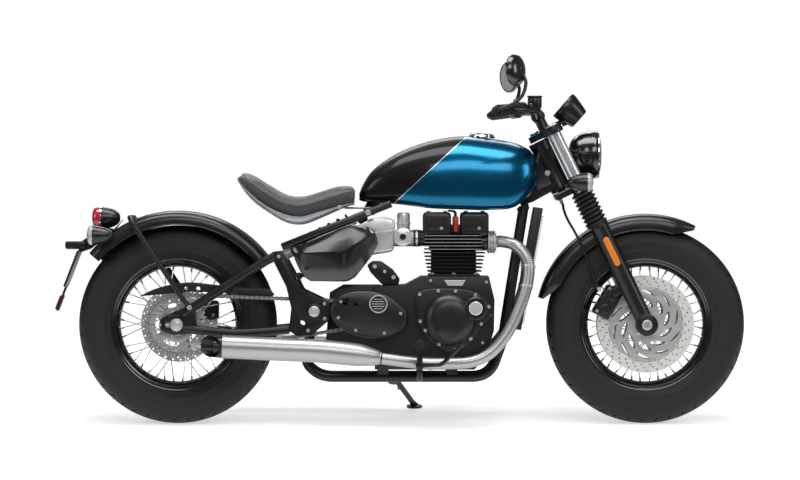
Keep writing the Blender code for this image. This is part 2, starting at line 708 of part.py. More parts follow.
def make_mirror(side):
    """Round mirror on a bent arm from the bar's end."""
    def at(x, y, z):
        return Vector((x, side * y, z))
    end = BAR_POINTS[-1]
    run = (Vector((end.x, side * BAR_HALF, end.z)) - Vector((BAR_POINTS[-2].x, -side * BAR_POINTS[-2].y,
                                                           BAR_POINTS[-2].z))).normalized()
    tip = Vector((end.x, side * BAR_HALF, end.z))
    arm = [tip + run * 0.012,
           at(0.282, BAR_HALF + 0.026, 1.003), at(0.322, BAR_HALF + 0.026, 1.018),
           at(0.351, BAR_HALF + 0.014, 1.048),
           at(0.357, BAR_HALF, 1.082), at(0.348, BAR_HALF - 0.004, 1.106)]
    collar = rod(tip + run * (0.0024 + SEAT_GAP), tip + run * 0.020, 0.0125, 10)
    facing = Vector((-0.86, -side * 0.50, -0.05)).normalized()
    centre = at(0.322, BAR_HALF - 0.006, 1.122)
    radius = 0.051
    profile = [(0.0, 0.006), (radius - 0.003, 0.006), (radius, 0.003), (radius, -0.003),
               (radius * 0.86, -0.014), (radius * 0.5, -0.023), (0.0, -0.026)]
    bowl = turned(profile, centre, facing, 14)
    return union(tube(rounded(arm, 0.02, 2), 0.0062, 1), collar, bowl)


def make_headlamp():
    """Deep bucket with a rim, a domed lens and the two ears that hold it between the legs."""
    x, z = 0.0, 0.862
    radius = HEADLAMP_RADIUS
    profile = [
        (0.0, 0.611), (radius * 0.55, 0.608), (radius * 0.90, 0.5985),
        (radius, 0.5985), (radius + 0.002, 0.588), (radius - 0.001, 0.574),
        (radius * 0.93, 0.548), (radius * 0.74, 0.522), (radius * 0.40, 0.506), (0.0, 0.504)]
    bucket = turned(profile, (x, 0.0, z), (1, 0, 0), 18)
    ears = []
    for side in (-1, 1):
        foot_y = side * (LEG_HALF_SPACING - TUBE_RADIUS - 0.0055)
        foot = STEERING @ Vector((FORK_OFFSET + 0.010, foot_y, 0.620))
        ears.append(rod(Vector((0.548, side * (radius - 0.006), z)), foot, 0.0065, 8))
        ears.append(rod(foot + Vector((0, side * -0.004, 0)),
                        foot + Vector((0, side * 0.005, 0)), 0.010, 8))
    return union(bucket, *ears)


def make_speedometer():
    """Round instrument that faces up and back, on a bracket from the top yoke."""
    facing = Vector((-0.752, 0.0, 0.658))
    centre = Vector((0.4855, 0.0, 1.023))
    profile = [(0.0, 0.0), (0.044, 0.0), (0.048, -0.004), (0.048, -0.016), (0.045, -0.030),
               (0.0345, -0.071), (0.0, -0.073)]
    cup = turned(profile, centre, facing, 16)
    foot = STEERING @ Vector((0.030, 0.0, TOP_YOKE_Z + YOKE_THICKNESS / 2 - 0.003 + SEAT_GAP))
    bracket = rod(foot, centre - facing * 0.060, 0.012, 10)
    flat = box((-0.05, -0.05, -0.05), (0.08, 0.05, TOP_YOKE_Z + YOKE_THICKNESS / 2 - 0.003 + SEAT_GAP))
    return cut(union(cup, bracket), place_in_steering(flat))


def make_front_indicator(side):
    """Bullet indicator on a short stalk from the lower yoke's outer boss."""
    z, y = 0.772, INDICATOR_Y
    bullet = turned([(0.0, 0.577), (0.024, 0.573), (0.031, 0.560), (0.030, 0.546), (0.022, 0.516),
                     (0.010, 0.497), (0.0, 0.494)], (0.0, side * y, z), (1, 0, 0), 12)
    boss = LEG_HALF_SPACING + TUBE_RADIUS + 0.011
    foot = STEERING @ Vector((FORK_OFFSET, side * (boss + SEAT_GAP), LOWER_YOKE_Z))
    stalk = rod(foot, (foot.x, side * (y - 0.010), foot.z), 0.0075, 8)
    return union(bullet, stalk)


def make_guard(centre, radius, half, depth, start, end, steps):
    """A mudguard: an arched open section swept about the axle, with walls of even thickness."""
    section = [(radius - depth, half), (radius - depth * 0.45, half), (radius - depth * 0.14, half * 0.84),
               (radius, half * 0.42), (radius, -half * 0.42), (radius - depth * 0.14, -half * 0.84),
               (radius - depth * 0.45, -half), (radius - depth, -half)]
    bm = bmesh.new()
    verts = [bm.verts.new((r, y, 0.0)) for r, y in section]
    for first, second in zip(verts, verts[1:]):
        bm.edges.new((first, second))
    source = from_bmesh(bm)
    source.data.transform(Matrix.Rotation(-start, 4, "Y"))
    screw = source.modifiers.new("Sweep", "SCREW")
    screw.axis = "Y"
    screw.angle = -(end - start)
    screw.steps = steps
    screw.render_steps = steps
    screw.merge_threshold = 0.00005
    wall = source.modifiers.new("Wall", "SOLIDIFY")
    wall.thickness = GUARD_WALL
    wall.offset = 0.0
    made = to_mesh(source)
    made.data.transform(Matrix.Translation(centre))
    return made


def make_front_guard():
    half = LEG_HALF_SPACING - SLIDER_RADIUS - GUARD_WALL / 2 - 0.0006
    return make_guard(FRONT_AXLE, FRONT_GUARD_RADIUS, half, 0.050, math.radians(63.0),
                      math.radians(166.0), 12)


def make_brake_hose():
    """Brake hose from the bar's clamp down the inside of the right fork leg to the caliper."""
    radius = 0.0042
    yoke_foot = LOWER_YOKE_Z - YOKE_THICKNESS / 2 + 0.002 - 2 * SEAT_GAP
    route = [
        (-0.018, -0.050, yoke_foot), (-0.018, -0.050, yoke_foot - 0.018), (-0.024, -0.054, 0.445),
        (-0.026, -0.072, 0.412),
        (-0.022, -0.083, 0.350), (-0.024, -0.083, 0.270), (-0.030, -0.076, 0.205),
        (-0.032, -0.068, 0.160 + 2 * SEAT_GAP)]
    points = [STEERING @ Vector(place) for place in route]
    return tube(smooth(points, 2), radius, 1)


# Frame and swinging cage


def make_neck():
    """Headstock tube, its cast gusset and the backbone with the tank's two mounting pins."""
    low = LOWER_YOKE_Z + YOKE_THICKNESS / 2 + SEAT_GAP
    high = TOP_YOKE_Z - YOKE_THICKNESS / 2 - SEAT_GAP
    head = place_in_steering(rod((0, 0, low), (0, 0, high), NECK_RADIUS, 16))
    gusset = plate([(0.408, 0.886), (0.448, 0.880), (0.492, 0.762), (0.462, 0.750), (0.392, 0.712),
                    (0.352, 0.697), (0.334, 0.735), (0.380, 0.790)], -0.030, 0.030)
    backbone = tube(rounded([(0.400, 0, 0.790), (0.300, 0, 0.738), (-0.108, 0, 0.7335),
                             (-0.139, 0, REAR_TUBE_TOP[1])], 0.06, 3), BACKBONE_RADIUS, 1)
    pin = rod((0.310, -TUNNEL_HALF + SEAT_GAP, 0.730), (0.310, TUNNEL_HALF - SEAT_GAP, 0.730), 0.011, 10)
    rear_pin = rod((-0.040, -TUNNEL_HALF + SEAT_GAP, 0.730), (-0.040, TUNNEL_HALF - SEAT_GAP, 0.730),
                   0.011, 10)
    knee = plate([(DOWN_TUBE_TOP[0] - 0.022, DOWN_TUBE_TOP[1] - 0.006),
                  (DOWN_TUBE_TOP[0] + 0.012, DOWN_TUBE_TOP[1] + 0.020),
                  (DOWN_TUBE_TOP[0] + 0.018, DOWN_TUBE_TOP[1] - 0.006),
                  (DOWN_TUBE_TOP[0] - 0.014, DOWN_TUBE_TOP[1] - 0.024)],
                 -DOWN_TUBE_Y + CRADLE_RADIUS + SEAT_GAP, DOWN_TUBE_Y - CRADLE_RADIUS - SEAT_GAP)
    cross = rod((-0.139, -REAR_TUBE_Y + REAR_TUBE_RADIUS + SEAT_GAP, REAR_TUBE_TOP[1]),
                (-0.139, REAR_TUBE_Y - REAR_TUBE_RADIUS - SEAT_GAP, REAR_TUBE_TOP[1]), CROSS_RADIUS, 12)
    bore = place_in_steering(rod((0, 0, low - 0.02), (0, 0, high + 0.02), NECK_BORE_RADIUS, 16))
    return cut(union(head, gusset, backbone, pin, rear_pin, knee, cross), bore)


def make_cradle(side, clearance=0.0):
    """Down tube and lower rail as one bent tube, up to the cage's pivot tube."""
    route = [
        (DOWN_TUBE_TOP[0], DOWN_TUBE_Y, DOWN_TUBE_TOP[1]), (0.292, CRADLE_Y - 0.012, 0.266),
        (0.250, CRADLE_Y, LOWER_RAIL_Z), (-0.290, CRADLE_Y, LOWER_RAIL_Z),
        (-0.345, 0.056, 0.195), (PIVOT[0] - 0.002, 0.056, PIVOT[1] - 0.010)]
    points = [(x, side * y, z) for x, y, z in rounded(route, 0.09, 3)]
    return cut(tube(points, CRADLE_RADIUS + clearance, 1), make_pivot_tube(2 * SEAT_GAP))


def make_rear_tube(side):
    """The straight tube from the tank's tail down to the cage."""
    rise = (REAR_TUBE_TOP[1] - REAR_TUBE_FOOT[1]) / (REAR_TUBE_TOP[0] - REAR_TUBE_FOOT[0])
    head = Vector((-0.066, side * REAR_TUBE_Y, REAR_TUBE_TOP[1] + rise * (-0.066 - REAR_TUBE_TOP[0])))
    return tube([head, Vector((REAR_TUBE_FOOT[0], side * REAR_TUBE_Y, REAR_TUBE_FOOT[1]))],
                REAR_TUBE_RADIUS, 2)


def cage_outline():
    """Side view of the swinging cage's strut, from its apex round the pivot."""
    apex, pivot = CAGE_APEX, PIVOT
    return [
        (apex[0] - 0.022, apex[1] + 0.002), (apex[0] + 0.014, apex[1] + 0.006), (-0.345, 0.430),
        (pivot[0] + 0.048, pivot[1] + 0.030), (pivot[0] + 0.046, pivot[1] - 0.030), (-0.318, 0.286),
        (-0.366, 0.282), (-0.392, 0.300), (-0.384, 0.372), (-0.400, 0.440), (-0.438, 0.516)]


def make_cage(side):
    """Pressed strut from the pivot up to the apex, with the pivot plate's boss."""
    pivot = PIVOT
    outline = cage_outline()
    y0, y1 = SWINGARM_Y - 0.007, SWINGARM_Y + 0.007
    low, high = (y0, y1) if side > 0 else (-y1, -y0)
    strut = plate(outline, low, high)
    boss = rod((pivot[0], side * (SWINGARM_Y - 0.0068), pivot[1]),
               (pivot[0], side * (SWINGARM_Y + 0.013), pivot[1]), 0.024, 16)
    return union(strut, boss)


def make_swingarm(side):
    """Upper and lower arm with the slotted axle plate between their ends."""
    y = side * SWINGARM_Y
    axle = REAR_AXLE
    upper = tube(rounded([(axle.x + 0.018, y, axle.z + 0.034), (-0.470, y, 0.520), (-0.430, y, 0.5400)],
                         0.05, 2), SWINGARM_RADIUS, 1)
    lower = tube([(axle.x + 0.022, y, axle.z - 0.012), (-0.560, y, 0.292), (-0.3800, y, 0.3045)],
                 SWINGARM_RADIUS, 1)
    half = 0.006
    outline = [(axle.x + dx, axle.z + dz) for dx, dz in (
        (-0.050, -0.018), (-0.050, 0.020), (-0.002, 0.044), (0.034, 0.056), (0.060, 0.034),
        (0.066, -0.004), (0.050, -0.028), (-0.010, -0.032))]
    end_plate = plate(outline, y - half, y + half)
    nut = rod((REAR_AXLE.x, y, REAR_AXLE.z), (REAR_AXLE.x, y + side * 0.022, REAR_AXLE.z), 0.017, 6)
    adjuster = rod((axle.x - 0.056, y, axle.z), (axle.x - 0.025, y, axle.z), 0.008, 8)
    arms = union(end_plate, upper, lower, nut, adjuster)
    edge = plate([(x - SEAT_GAP, z) for x, z in cage_outline()], y - 0.03, y + 0.03)
    return cut(arms, edge)


def make_pivot_tube(clearance=0.0):
    """Cross tube between the two cage plates, that the cage swings on."""
    inner = SWINGARM_Y - 0.007 - SEAT_GAP
    pivot = rod((PIVOT[0], -inner, PIVOT[1]), (PIVOT[0], inner, PIVOT[1]), PIVOT_RADIUS + clearance, 14)
    return pivot


def make_shock():
    """Coil spring round its damper, from the cage's apex to the frame's cross tube."""
    start = Vector((CAGE_APEX[0] + 0.004, 0.0, CAGE_APEX[1] - 0.016))
    end = Vector((REAR_TUBE_TOP[0] - 0.0196, 0.0, REAR_TUBE_TOP[1] - 0.0196))
    along = (end - start).normalized()
    inner = SWINGARM_Y - 0.007 - SEAT_GAP
    cross = rod(start + Vector((0, -inner, 0)), start + Vector((0, inner, 0)), 0.013, 12)
    damper = rod(start, end, 0.016, 12)
    eye = rod(end + Vector((0, -0.016, 0)), end + Vector((0, 0.016, 0)), 0.0178, 12)
    length = (end - start).length
    seats = [rod(start + along * a, start + along * (a + 0.007), 0.036, 16)
             for a in (0.040, length - 0.047)]
    turns, per_turn = 6, 8
    side = Vector((0.0, 1.0, 0.0))
    up = along.cross(side)
    coil = []
    for index in range(turns * per_turn + 1):
        angle = 2 * math.pi * index / per_turn
        travel = 0.0435 + (length - 0.087) * index / (turns * per_turn)
        coil.append(start + along * travel + (side * math.cos(angle) + up * math.sin(angle)) * 0.0305)
    spring = tube(coil, 0.0055, 0)
    made = union(damper, cross, eye, *seats, spring)
    rest = rod((REAR_TUBE_TOP[0], -0.05, REAR_TUBE_TOP[1]), (REAR_TUBE_TOP[0], 0.05, REAR_TUBE_TOP[1]),
               CROSS_RADIUS + 2 * SEAT_GAP, 12)
    return cut(made, rest)


def make_side_panel(side):
    """Moulded cover below the rear tube, bent inwards above and below its crease."""
    edge = REAR_TUBE_RADIUS + 0.0006
    dx, dz = REAR_TUBE_TOP[0] - REAR_TUBE_FOOT[0], REAR_TUBE_TOP[1] - REAR_TUBE_FOOT[1]
    length = math.hypot(dx, dz)
    off = (dz / length * edge, -dx / length * edge)

    def under(x):
        t = (x - REAR_TUBE_FOOT[0]) / dx
        return (x + off[0], REAR_TUBE_FOOT[1] + dz * t + off[1])
    outline = [under(-0.382), under(-0.200), (-0.168, 0.634), (-0.128, 0.627), (-0.110, 0.610),
               (-0.107, 0.580), (-0.125, 0.541), (-0.180, 0.470), (-0.205, 0.456), (-0.325, 0.458),
               (-0.349, 0.477), (-0.375, 0.531)]
    middle = (-0.250, 0.545)
    levels = [(REAR_TUBE_Y - 0.012, 1.0), (REAR_TUBE_Y + 0.006, 1.0), (REAR_TUBE_Y + 0.020, 0.90),
              (REAR_TUBE_Y + 0.027, 0.72)]
    sections = []
    for y, scale in levels:
        sections.append([(middle[0] + (x - middle[0]) * scale, side * y, middle[1] + (z - middle[1]) * scale)
                         for x, z in outline])
    return loft(sections)


def make_electrics_box():
    """The closed box behind the side panels, between the two rear tubes."""
    half = REAR_TUBE_Y - 0.012 - SEAT_GAP
    outline = [(-0.352, 0.470), (-0.352, 0.505), (-0.215, 0.552), (-0.196, 0.550), (-0.140, 0.520),
               (-0.190, 0.466)]
    return plate(outline, -half, half)


# Engine


def make_crankcase():
    """Closed engine case with its gearbox and left cover, and the output boss inside the chain."""
    case = plate([(-0.118, 0.176), (0.200, 0.176), (0.238, 0.220), (0.262, 0.300), (0.264, 0.398),
                  (0.246, 0.4725), (0.030, 0.4725), (-0.020, 0.446), (-0.118, 0.440)],
                 -CRANKCASE_HALF, CRANKCASE_HALF)
    gearbox = plate([(-0.276, 0.250), (-0.262, 0.420), (-0.220, 0.444), (-0.100, 0.444), (-0.100, 0.186),
                     (-0.150, 0.186), (-0.240, 0.214)], CHAIN_Y + CHAIN_WIDTH / 2 + 0.006, 0.108)
    left = rod((0.155, CRANKCASE_HALF - 0.01, 0.320), (0.155, CRANKCASE_HALF + 0.045, 0.320), 0.098, 20,
               end_radius=0.086)
    left_rear = rod((-0.060, CRANKCASE_HALF - 0.01, 0.350), (-0.060, CRANKCASE_HALF + 0.022, 0.350),
                    0.075, 14, end_radius=0.066)
    flat = sprocket_pitch_radius(FRONT_TEETH) * math.cos(math.pi / FRONT_TEETH)
    boss_radius = flat - CHAIN_DEPTH / 2 - 0.0005
    front = Vector((FRONT_SPROCKET[0], 0.0, FRONT_SPROCKET[1]))
    boss = rod(front + Vector((0, -0.02, 0)), front + Vector((0, CHAIN_Y - CHAIN_WIDTH / 2, 0)),
               boss_radius, 20)
    feet = [box((x, side * CRADLE_Y - 0.012, LOWER_RAIL_Z), (x + 0.036, side * CRADLE_Y + 0.012, 0.190))
            for x in (0.110, -0.110) for side in (-1, 1)]
    case = union(case, gearbox, left, left_rear, boss, *feet)
    return cut(case, *[make_cradle(side, SEAT_GAP) for side in (-1, 1)])


def fin_plate(x0, x1, half, z, thickness, corner):
    outline = [(x0 + corner, -half), (x1 - corner, -half), (x1, -half + corner), (x1, half - corner),
               (x1 - corner, half), (x0 + corner, half), (x0, half - corner), (x0, -half + corner)]
    bm = bmesh.new()
    low = [bm.verts.new((x, y, z - thickness / 2)) for x, y in outline]
    face = bm.faces.new(low)
    made = bmesh.ops.extrude_face_region(bm, geom=[face])
    top = [v for v in made["geom"] if isinstance(v, bmesh.types.BMVert)]
    bmesh.ops.translate(bm, vec=(0, 0, thickness), verts=top)
    bmesh.ops.recalc_face_normals(bm, faces=bm.faces)
    return from_bmesh(bm)


def make_cylinders():
    """Barrel block with its stack of fins, each a little deeper than the one below."""
    core = box((0.062, -CYLINDER_HALF + 0.018, CASE_TOP + SEAT_GAP),
               (0.206, CYLINDER_HALF - 0.018, BARREL_TOP), 0.0)
    fins = []
    for index in range(CYLINDER_FINS):
        grow = 0.0022 * index
        z = BARREL_TOP - 0.0065 - CYLINDER_FIN_PITCH * (CYLINDER_FINS - 1 - index)
        fins.append(fin_plate(0.050 - grow, 0.224 + grow, CYLINDER_HALF + grow * 0.6, z, FIN_THICKNESS,
                              0.020))
    return union(core, gather(fins))


def make_head():
    """Finned head with two rocker covers, plug wells between them and the exhaust ports."""
    core = box((0.056, -CYLINDER_HALF + 0.016, BARREL_TOP + SEAT_GAP),
               (0.210, CYLINDER_HALF - 0.016, HEAD_TOP))
    fins = []
    for index in range(HEAD_FINS):
        z = BARREL_TOP + 0.0052 + HEAD_FIN_PITCH * index
        fins.append(fin_plate(0.040, 0.226, CYLINDER_HALF + 0.004, z, FIN_THICKNESS, 0.018))
    head = union(core, gather(fins))
    covers = []
    for x0, x1 in ((0.036, 0.126), (0.156, 0.246)):
        covers.append(box((x0, -CYLINDER_HALF + 0.004, HEAD_TOP - 0.004),
                          (x1, CYLINDER_HALF - 0.004, HEAD_TOP + 0.074), 0.013))
    bridge = box((0.110, -CYLINDER_HALF + 0.030, HEAD_TOP - 0.002),
                 (0.172, CYLINDER_HALF - 0.030, HEAD_TOP + 0.034), 0.0)
    ports = [rod((0.190, side * PORT_Y, 0.582), (0.243, side * PORT_Y, 0.582), 0.028, 14)
             for side in (-1, 1)]
    inlets = [rod((0.070, side * INLET_Y, 0.594), (0.030, side * INLET_Y, 0.594), 0.025, 14)
              for side in (-1, 1)]
    return union(head, *covers, bridge, *ports, *inlets)


def make_clutch_cover():
    """Right-hand cover with its bolt flange, raised drum and inspection ring."""
    outline = [(0.010, 0.403), (0.040, 0.430), (0.127, 0.434), (0.198, 0.424), (0.245, 0.392),
               (0.253, 0.352), (0.222, 0.314), (0.186, 0.262), (0.146, 0.236), (0.108, 0.236),
               (0.058, 0.272), (0.020, 0.330)]
    y = -CRANKCASE_HALF - SEAT_GAP
    flange = plate(outline, y - 0.022, y)
    drum = turned([(0.0, 0.054), (0.070, 0.054), (0.078, 0.049), (0.083, 0.018), (0.0, 0.018)],
                  (0.122, y, 0.336), (0, -1, 0), 28)
    ring = turned([(0.0, 0.050), (0.026, 0.050), (0.034, 0.046), (0.038, 0.046), (0.038, 0.016),
                   (0.0, 0.016)], (0.203, y, 0.372), (0, -1, 0), 20)
    return union(flange, drum, ring)


def make_sprocket_cover():
    """Right-hand cover over the front sprocket, with its two windows and round inlet."""
    count = 18
    outline = []
    for index in range(count):
        angle = 2 * math.pi * index / count
        outline.append((-0.136 + 0.124 * math.cos(angle),
                        0.352 + 0.076 * math.sin(angle) - 0.012 * math.cos(angle)))
    y = CHAIN_Y - CHAIN_WIDTH / 2 - 0.006
    face = -0.176
    windows = [[(-0.236, 0.386), (-0.222, 0.402), (-0.200, 0.404), (-0.206, 0.382)],
               [(-0.186, 0.382), (-0.180, 0.392), (-0.164, 0.380)]]
    back = -CRANKCASE_HALF - SEAT_GAP
    base = plate(outline, face + 0.018, y, windows)
    base = cut(base, box((-0.1184, back, 0.20), (0.05, 0.0, 0.50)))
    sections = []
    for depth, scale in ((0.0185, 1.0), (0.006, 0.97), (0.0, 0.88)):
        sections.append([(-0.136 + (x + 0.136) * scale, face + depth, 0.352 + (z - 0.352) * scale)
                         for x, z in outline])
    dome = loft(sections)
    for loop in windows:
        dome = cut(dome, plate(loop, face - 0.01, face + 0.03))
    inlet = turned([(0.0, 0.006), (0.024, 0.006), (0.024, 0.011), (0.0305, 0.011), (0.0305, -0.006),
                    (0.0, -0.006)], (-0.106, face, 0.386), (0, -1, 0), 14)
    return union(base, dome, inlet)


def make_intake():
    """Two throttle bodies with their tops and the cast air box behind them."""
    chamber = box((-0.134, -0.094, 0.560), (-0.053, 0.094, 0.656), 0.014)
    pieces = []
    for side in (-1, 1):
        y = side * INLET_Y
        pieces.append(rod((-0.060, y, 0.594), (0.0297, y, 0.594), 0.027, 12))
        pieces.append(rod((-0.028, y, 0.599), (-0.028, side * 0.112, 0.599), 0.029, 14))
        pieces.append(rod((-0.026, y, 0.605), (-0.026, y, 0.676), 0.0205, 12))
    return union(chamber, *pieces)


def make_radiator():
    """Cooling core with its end tanks, ahead of the down tubes."""
    outline = [(0.392, 0.694), (0.420, 0.690), (0.350, 0.300), (0.322, 0.304)]
    core = plate(outline, -0.086, 0.086)
    lugs = [rod((0.385, side * 0.069, 0.560), (0.345, side * 0.069, 0.560), 0.008, 8) for side in (-1, 1)]
    return cut(union(core, *lugs), *[make_cradle(side, SEAT_GAP) for side in (-1, 1)])


def make_exhaust(side):
    """Header, clamp and slash-cut silencer as one piece, open at the tail."""
    points = smooth([Vector((x, side * y, z)) for x, y, z in HEADER_ROUTE], 1)
    scales = [1.0] * len(points)
    for x, radius, z in SILENCER_ROUTE:
        points.append(Vector((x, side * SILENCER_Y, z)))
        scales.append(radius / HEADER_RADIUS)
    pipe = tube(points, HEADER_RADIUS, 2, scales)
    clamp = rod((0.2436, side * 0.078, 0.582), (0.260, side * 0.078, 0.582), 0.0265, 12)
    slash = box((-0.16, -0.06, -0.16), (0.0, 0.06, 0.16))
    slash.data.transform(Matrix.Translation((-0.632, side * SILENCER_Y, 0.252))
                         @ Matrix.Rotation(math.radians(33.0), 4, "Y"))
    mouth = rod((-0.560, side * SILENCER_Y, 0.248), (-0.720, side * SILENCER_Y, 0.257), 0.0305, 14)
    return cut(union(pipe, clamp), slash, mouth)


# Tank and seat


def make_tank():
    """Teardrop tank lofted through its stations, with the tunnel over the backbone."""
    sections = []
    for x, low, high, half in TANK_STATIONS:
        flange = low + 0.010
        height = high - flange
        belly = 0.36
        section = []
        for turn in range(-6, 7):
            angle = math.radians(90.0 * turn / 6)
            reach = abs(math.sin(angle)) ** 0.80
            rise = math.cos(angle) ** 0.78 if math.cos(angle) > 0 else 0.0
            section.append((x, math.copysign(reach, turn) * half if turn else 0.0,
                            flange + height * (belly + (1 - belly) * rise)))
        section.append((x, half * 0.97, flange + height * belly * 0.42))
        section.append((x, half * 0.86, flange))
        section.append((x, half * 0.80, low))
        section.append((x, -half * 0.80, low))
        section.append((x, -half * 0.86, flange))
        section.append((x, -half * 0.97, flange + height * belly * 0.42))
        sections.append(section)
    tank = loft(sections)
    tunnel = box((-0.145, -TUNNEL_HALF, 0.60), (0.50, TUNNEL_HALF, TUNNEL_TOP))
    nose = box((0.300, -TUNNEL_HALF, 0.60), (0.50, TUNNEL_HALF, 0.822))
    notch = box((0.384, -TUNNEL_HALF, 0.60), (0.50, TUNNEL_HALF, 0.95))
    return cut(tank, tunnel, nose, notch)


def make_tank_cap():
    z = 0.9160
    return turned([(0.0, 0.017), (0.028, 0.016), (0.037, 0.012), (0.0415, 0.006), (0.0415, SEAT_GAP),
                   (0.0, SEAT_GAP)], (CAP_X, 0.0, z), (0.0706, 0, 1), 18)


def seat_section(x, low, high, half, corner, swell=0.0):
    edge = (high - low) * corner
    return [(x, -half * 0.9, low), (x, -half, low + edge), (x, -half, high - edge), (x, -half * 0.86, high),
            (x, 0.0, high + swell), (x, half * 0.86, high), (x, half, high - edge), (x, half, low + edge),
            (x, half * 0.9, low)]


def make_seat_pad():
    return loft([seat_section(x, middle + SEAT_GAP, top, half, 0.3, 0.004)
                 for x, low, middle, top, half in SEAT_STATIONS])


def make_seat_pan():
    """Pressed pan whose tongue rests on the frame's cross tube."""
    pan = loft([seat_section(x, low, middle, half - 0.002, 0.25)
                for x, low, middle, top, half in SEAT_STATIONS])
    tongue_low = REAR_TUBE_TOP[1] + CROSS_RADIUS + SEAT_GAP
    tongues = [box((-0.215, min(side * 0.026, side * 0.054), tongue_low),
                   (-0.124, max(side * 0.026, side * 0.054), tongue_low + 0.0065)) for side in (-1, 1)]
    return union(pan, *tongues)


# Rear end


def make_rear_guard():
    return make_guard(REAR_AXLE, REAR_GUARD_RADIUS, REAR_GUARD_HALF, 0.042, REAR_GUARD_START,
                      REAR_GUARD_END, REAR_GUARD_STEPS)


def make_guard_stay():
    """Hoop over the guard, with its feet on the axle plates."""
    half = SWINGARM_Y + SWINGARM_RADIUS + 0.0085 + SEAT_GAP
    top = REAR_AXLE + Vector((math.cos(math.radians(113.5)), 0, math.sin(math.radians(113.5)))) * (
        REAR_GUARD_RADIUS + GUARD_WALL / 2 + 0.0085 + SEAT_GAP)
    route = [(-0.704, half, 0.370), (-0.726, half, 0.396), (top.x + 0.006, half, top.z - 0.012),
             (top.x, half - 0.030, top.z), (top.x, -half + 0.030, top.z),
             (top.x + 0.006, -half, top.z - 0.012), (-0.726, -half, 0.396), (-0.704, -half, 0.370)]
    return tube(rounded(route, 0.022, 3), 0.0085, 1)


def make_tail_lamp():
    """Bullet lamp with its round lens, on a short neck from the plate carrier."""
    z = 0.659
    return turned([(0.0, -0.936), (0.012, -0.938), (0.026, -0.952), (0.0345, -0.984), (0.0345, -1.010),
                   (0.030, -1.021), (0.0, -1.027)][::-1], (0.0, 0.0, z), (1, 0, 0), 16)


def make_plate_carrier():
    """Arm from the guard's tail that carries lamp, indicators and the blank number plate."""
    seat = REAR_GUARD_RADIUS + GUARD_WALL / 2 + 0.0006
    step = (REAR_GUARD_END - REAR_GUARD_START) / REAR_GUARD_STEPS
    under = [(REAR_AXLE.x + seat * math.cos(REAR_GUARD_END - step * k),
              REAR_AXLE.z + seat * math.sin(REAR_GUARD_END - step * k)) for k in (2, 1)]
    arm = plate([*under, (-1.030, 0.560), (-1.0685, 0.546), (-1.072, 0.575), (-1.030, 0.605),
                 (-1.000, 0.6235), (-0.955, 0.6235), (-0.925, 0.656)], -0.022, 0.022)
    slope = Vector((-0.045, 0.0, -0.116)).normalized()
    board = box((-0.0035, -0.085, -0.076), (0.0035, 0.085, 0.047), 0.0)
    turn = Vector((0.0, 0.0, -1.0)).rotation_difference(slope).to_matrix().to_4x4()
    board.data.transform(Matrix.Translation((-1.0835, 0.0, 0.510)) @ turn)
    light = box((-1.112, -0.028, 0.560), (-1.046, 0.028, 0.584), 0.005)
    bar = rod((-0.994, -0.132, 0.612), (-0.994, 0.132, 0.612), 0.008, 8)
    pieces = [arm, light, bar]
    for side in (-1, 1):
        pieces.append(turned([(0.0, -0.950), (0.010, -0.953), (0.022, -0.968), (0.030, -0.998),
                              (0.031, -1.016), (0.026, -1.031), (0.0, -1.036)][::-1],
                             (0.0, side * 0.134, 0.604), (1, 0, 0), 10))
    return union(board, *pieces)


def make_chain_guard():
    """Pressed cover over the chain's top run, with its pointed tail and three round holes."""
    outline = [(-0.866, 0.409), (-0.790, 0.440), (-0.700, 0.452), (-0.560, 0.4365), (-0.450, 0.4315),
               (-0.436, 0.412), (-0.700, 0.424)]
    y = CHAIN_Y - CHAIN_WIDTH / 2
    return plate(outline, y - 0.0105, y - 0.007)


def make_rear_caliper():
    """Caliper over the rear disc, on the left axle plate's inner side."""
    y = REAR_DISC_Y
    body = box((-0.690, y - 0.020, 0.330), (-0.622, SWINGARM_Y - SWINGARM_RADIUS - 0.0008, 0.392), 0.007)
    groove = turned([(REAR_DISC_RADIUS + 0.005, 0.0065), (0.03, 0.0065), (0.03, -0.0065),
                     (REAR_DISC_RADIUS + 0.005, -0.0065)], (REAR_AXLE.x, y, REAR_AXLE.z), (0, 1, 0), 40,
                    ring=True)
    return cut(body, groove)


# Foot controls and side stand


def make_footrest(side):
    """Bent arm from the lower rail under the exhaust, with its peg and the foot lever."""
    x, z = PEG
    start_y = CRADLE_Y + CRADLE_RADIUS + SEAT_GAP
    arm = tube([(p.x, side * p.y, p.z) for p in rounded([
        (x, start_y, LOWER_RAIL_Z), (x, PEG_INNER_Y, LOWER_RAIL_Z), (x, PEG_INNER_Y, z + 0.008)],
        0.022, 2)], 0.0095, 1)
    peg = rod((x, side * (PEG_INNER_Y - 0.012), z), (x, side * PEG_END_Y, z), 0.0165, 12)
    lever = tube([(p.x, side * p.y, p.z) for p in rounded([
        (x, PEG_INNER_Y, 0.192), (0.095, PEG_INNER_Y + 0.012, 0.196),
        (PEDAL_TIP[0], PEG_INNER_Y + 0.020, PEDAL_TIP[1])], 0.03, 2)], 0.0070, 1)
    pad = rod((PEDAL_TIP[0], side * (PEG_INNER_Y + 0.012), PEDAL_TIP[1]),
              (PEDAL_TIP[0], side * (PEG_INNER_Y + 0.072), PEDAL_TIP[1]), 0.011, 10)
    return union(arm, peg, lever, pad)


FLOOR = TYRE_RADIUS * (1 - math.cos(math.pi / WHEEL_SIDES)) * math.cos(LEAN)


def floor_height(y):
    """Height of the floor in the upright frame, below a point at this Y."""
    return (FLOOR + y * math.sin(LEAN)) / math.cos(LEAN)


STAND_REACH = Vector((STAND_FOOT[0], STAND_FOOT[1], floor_height(STAND_FOOT[1]))) - STAND_PIVOT
STAND_AXIS = STAND_REACH.cross(STAND_FOLDED).normalized()


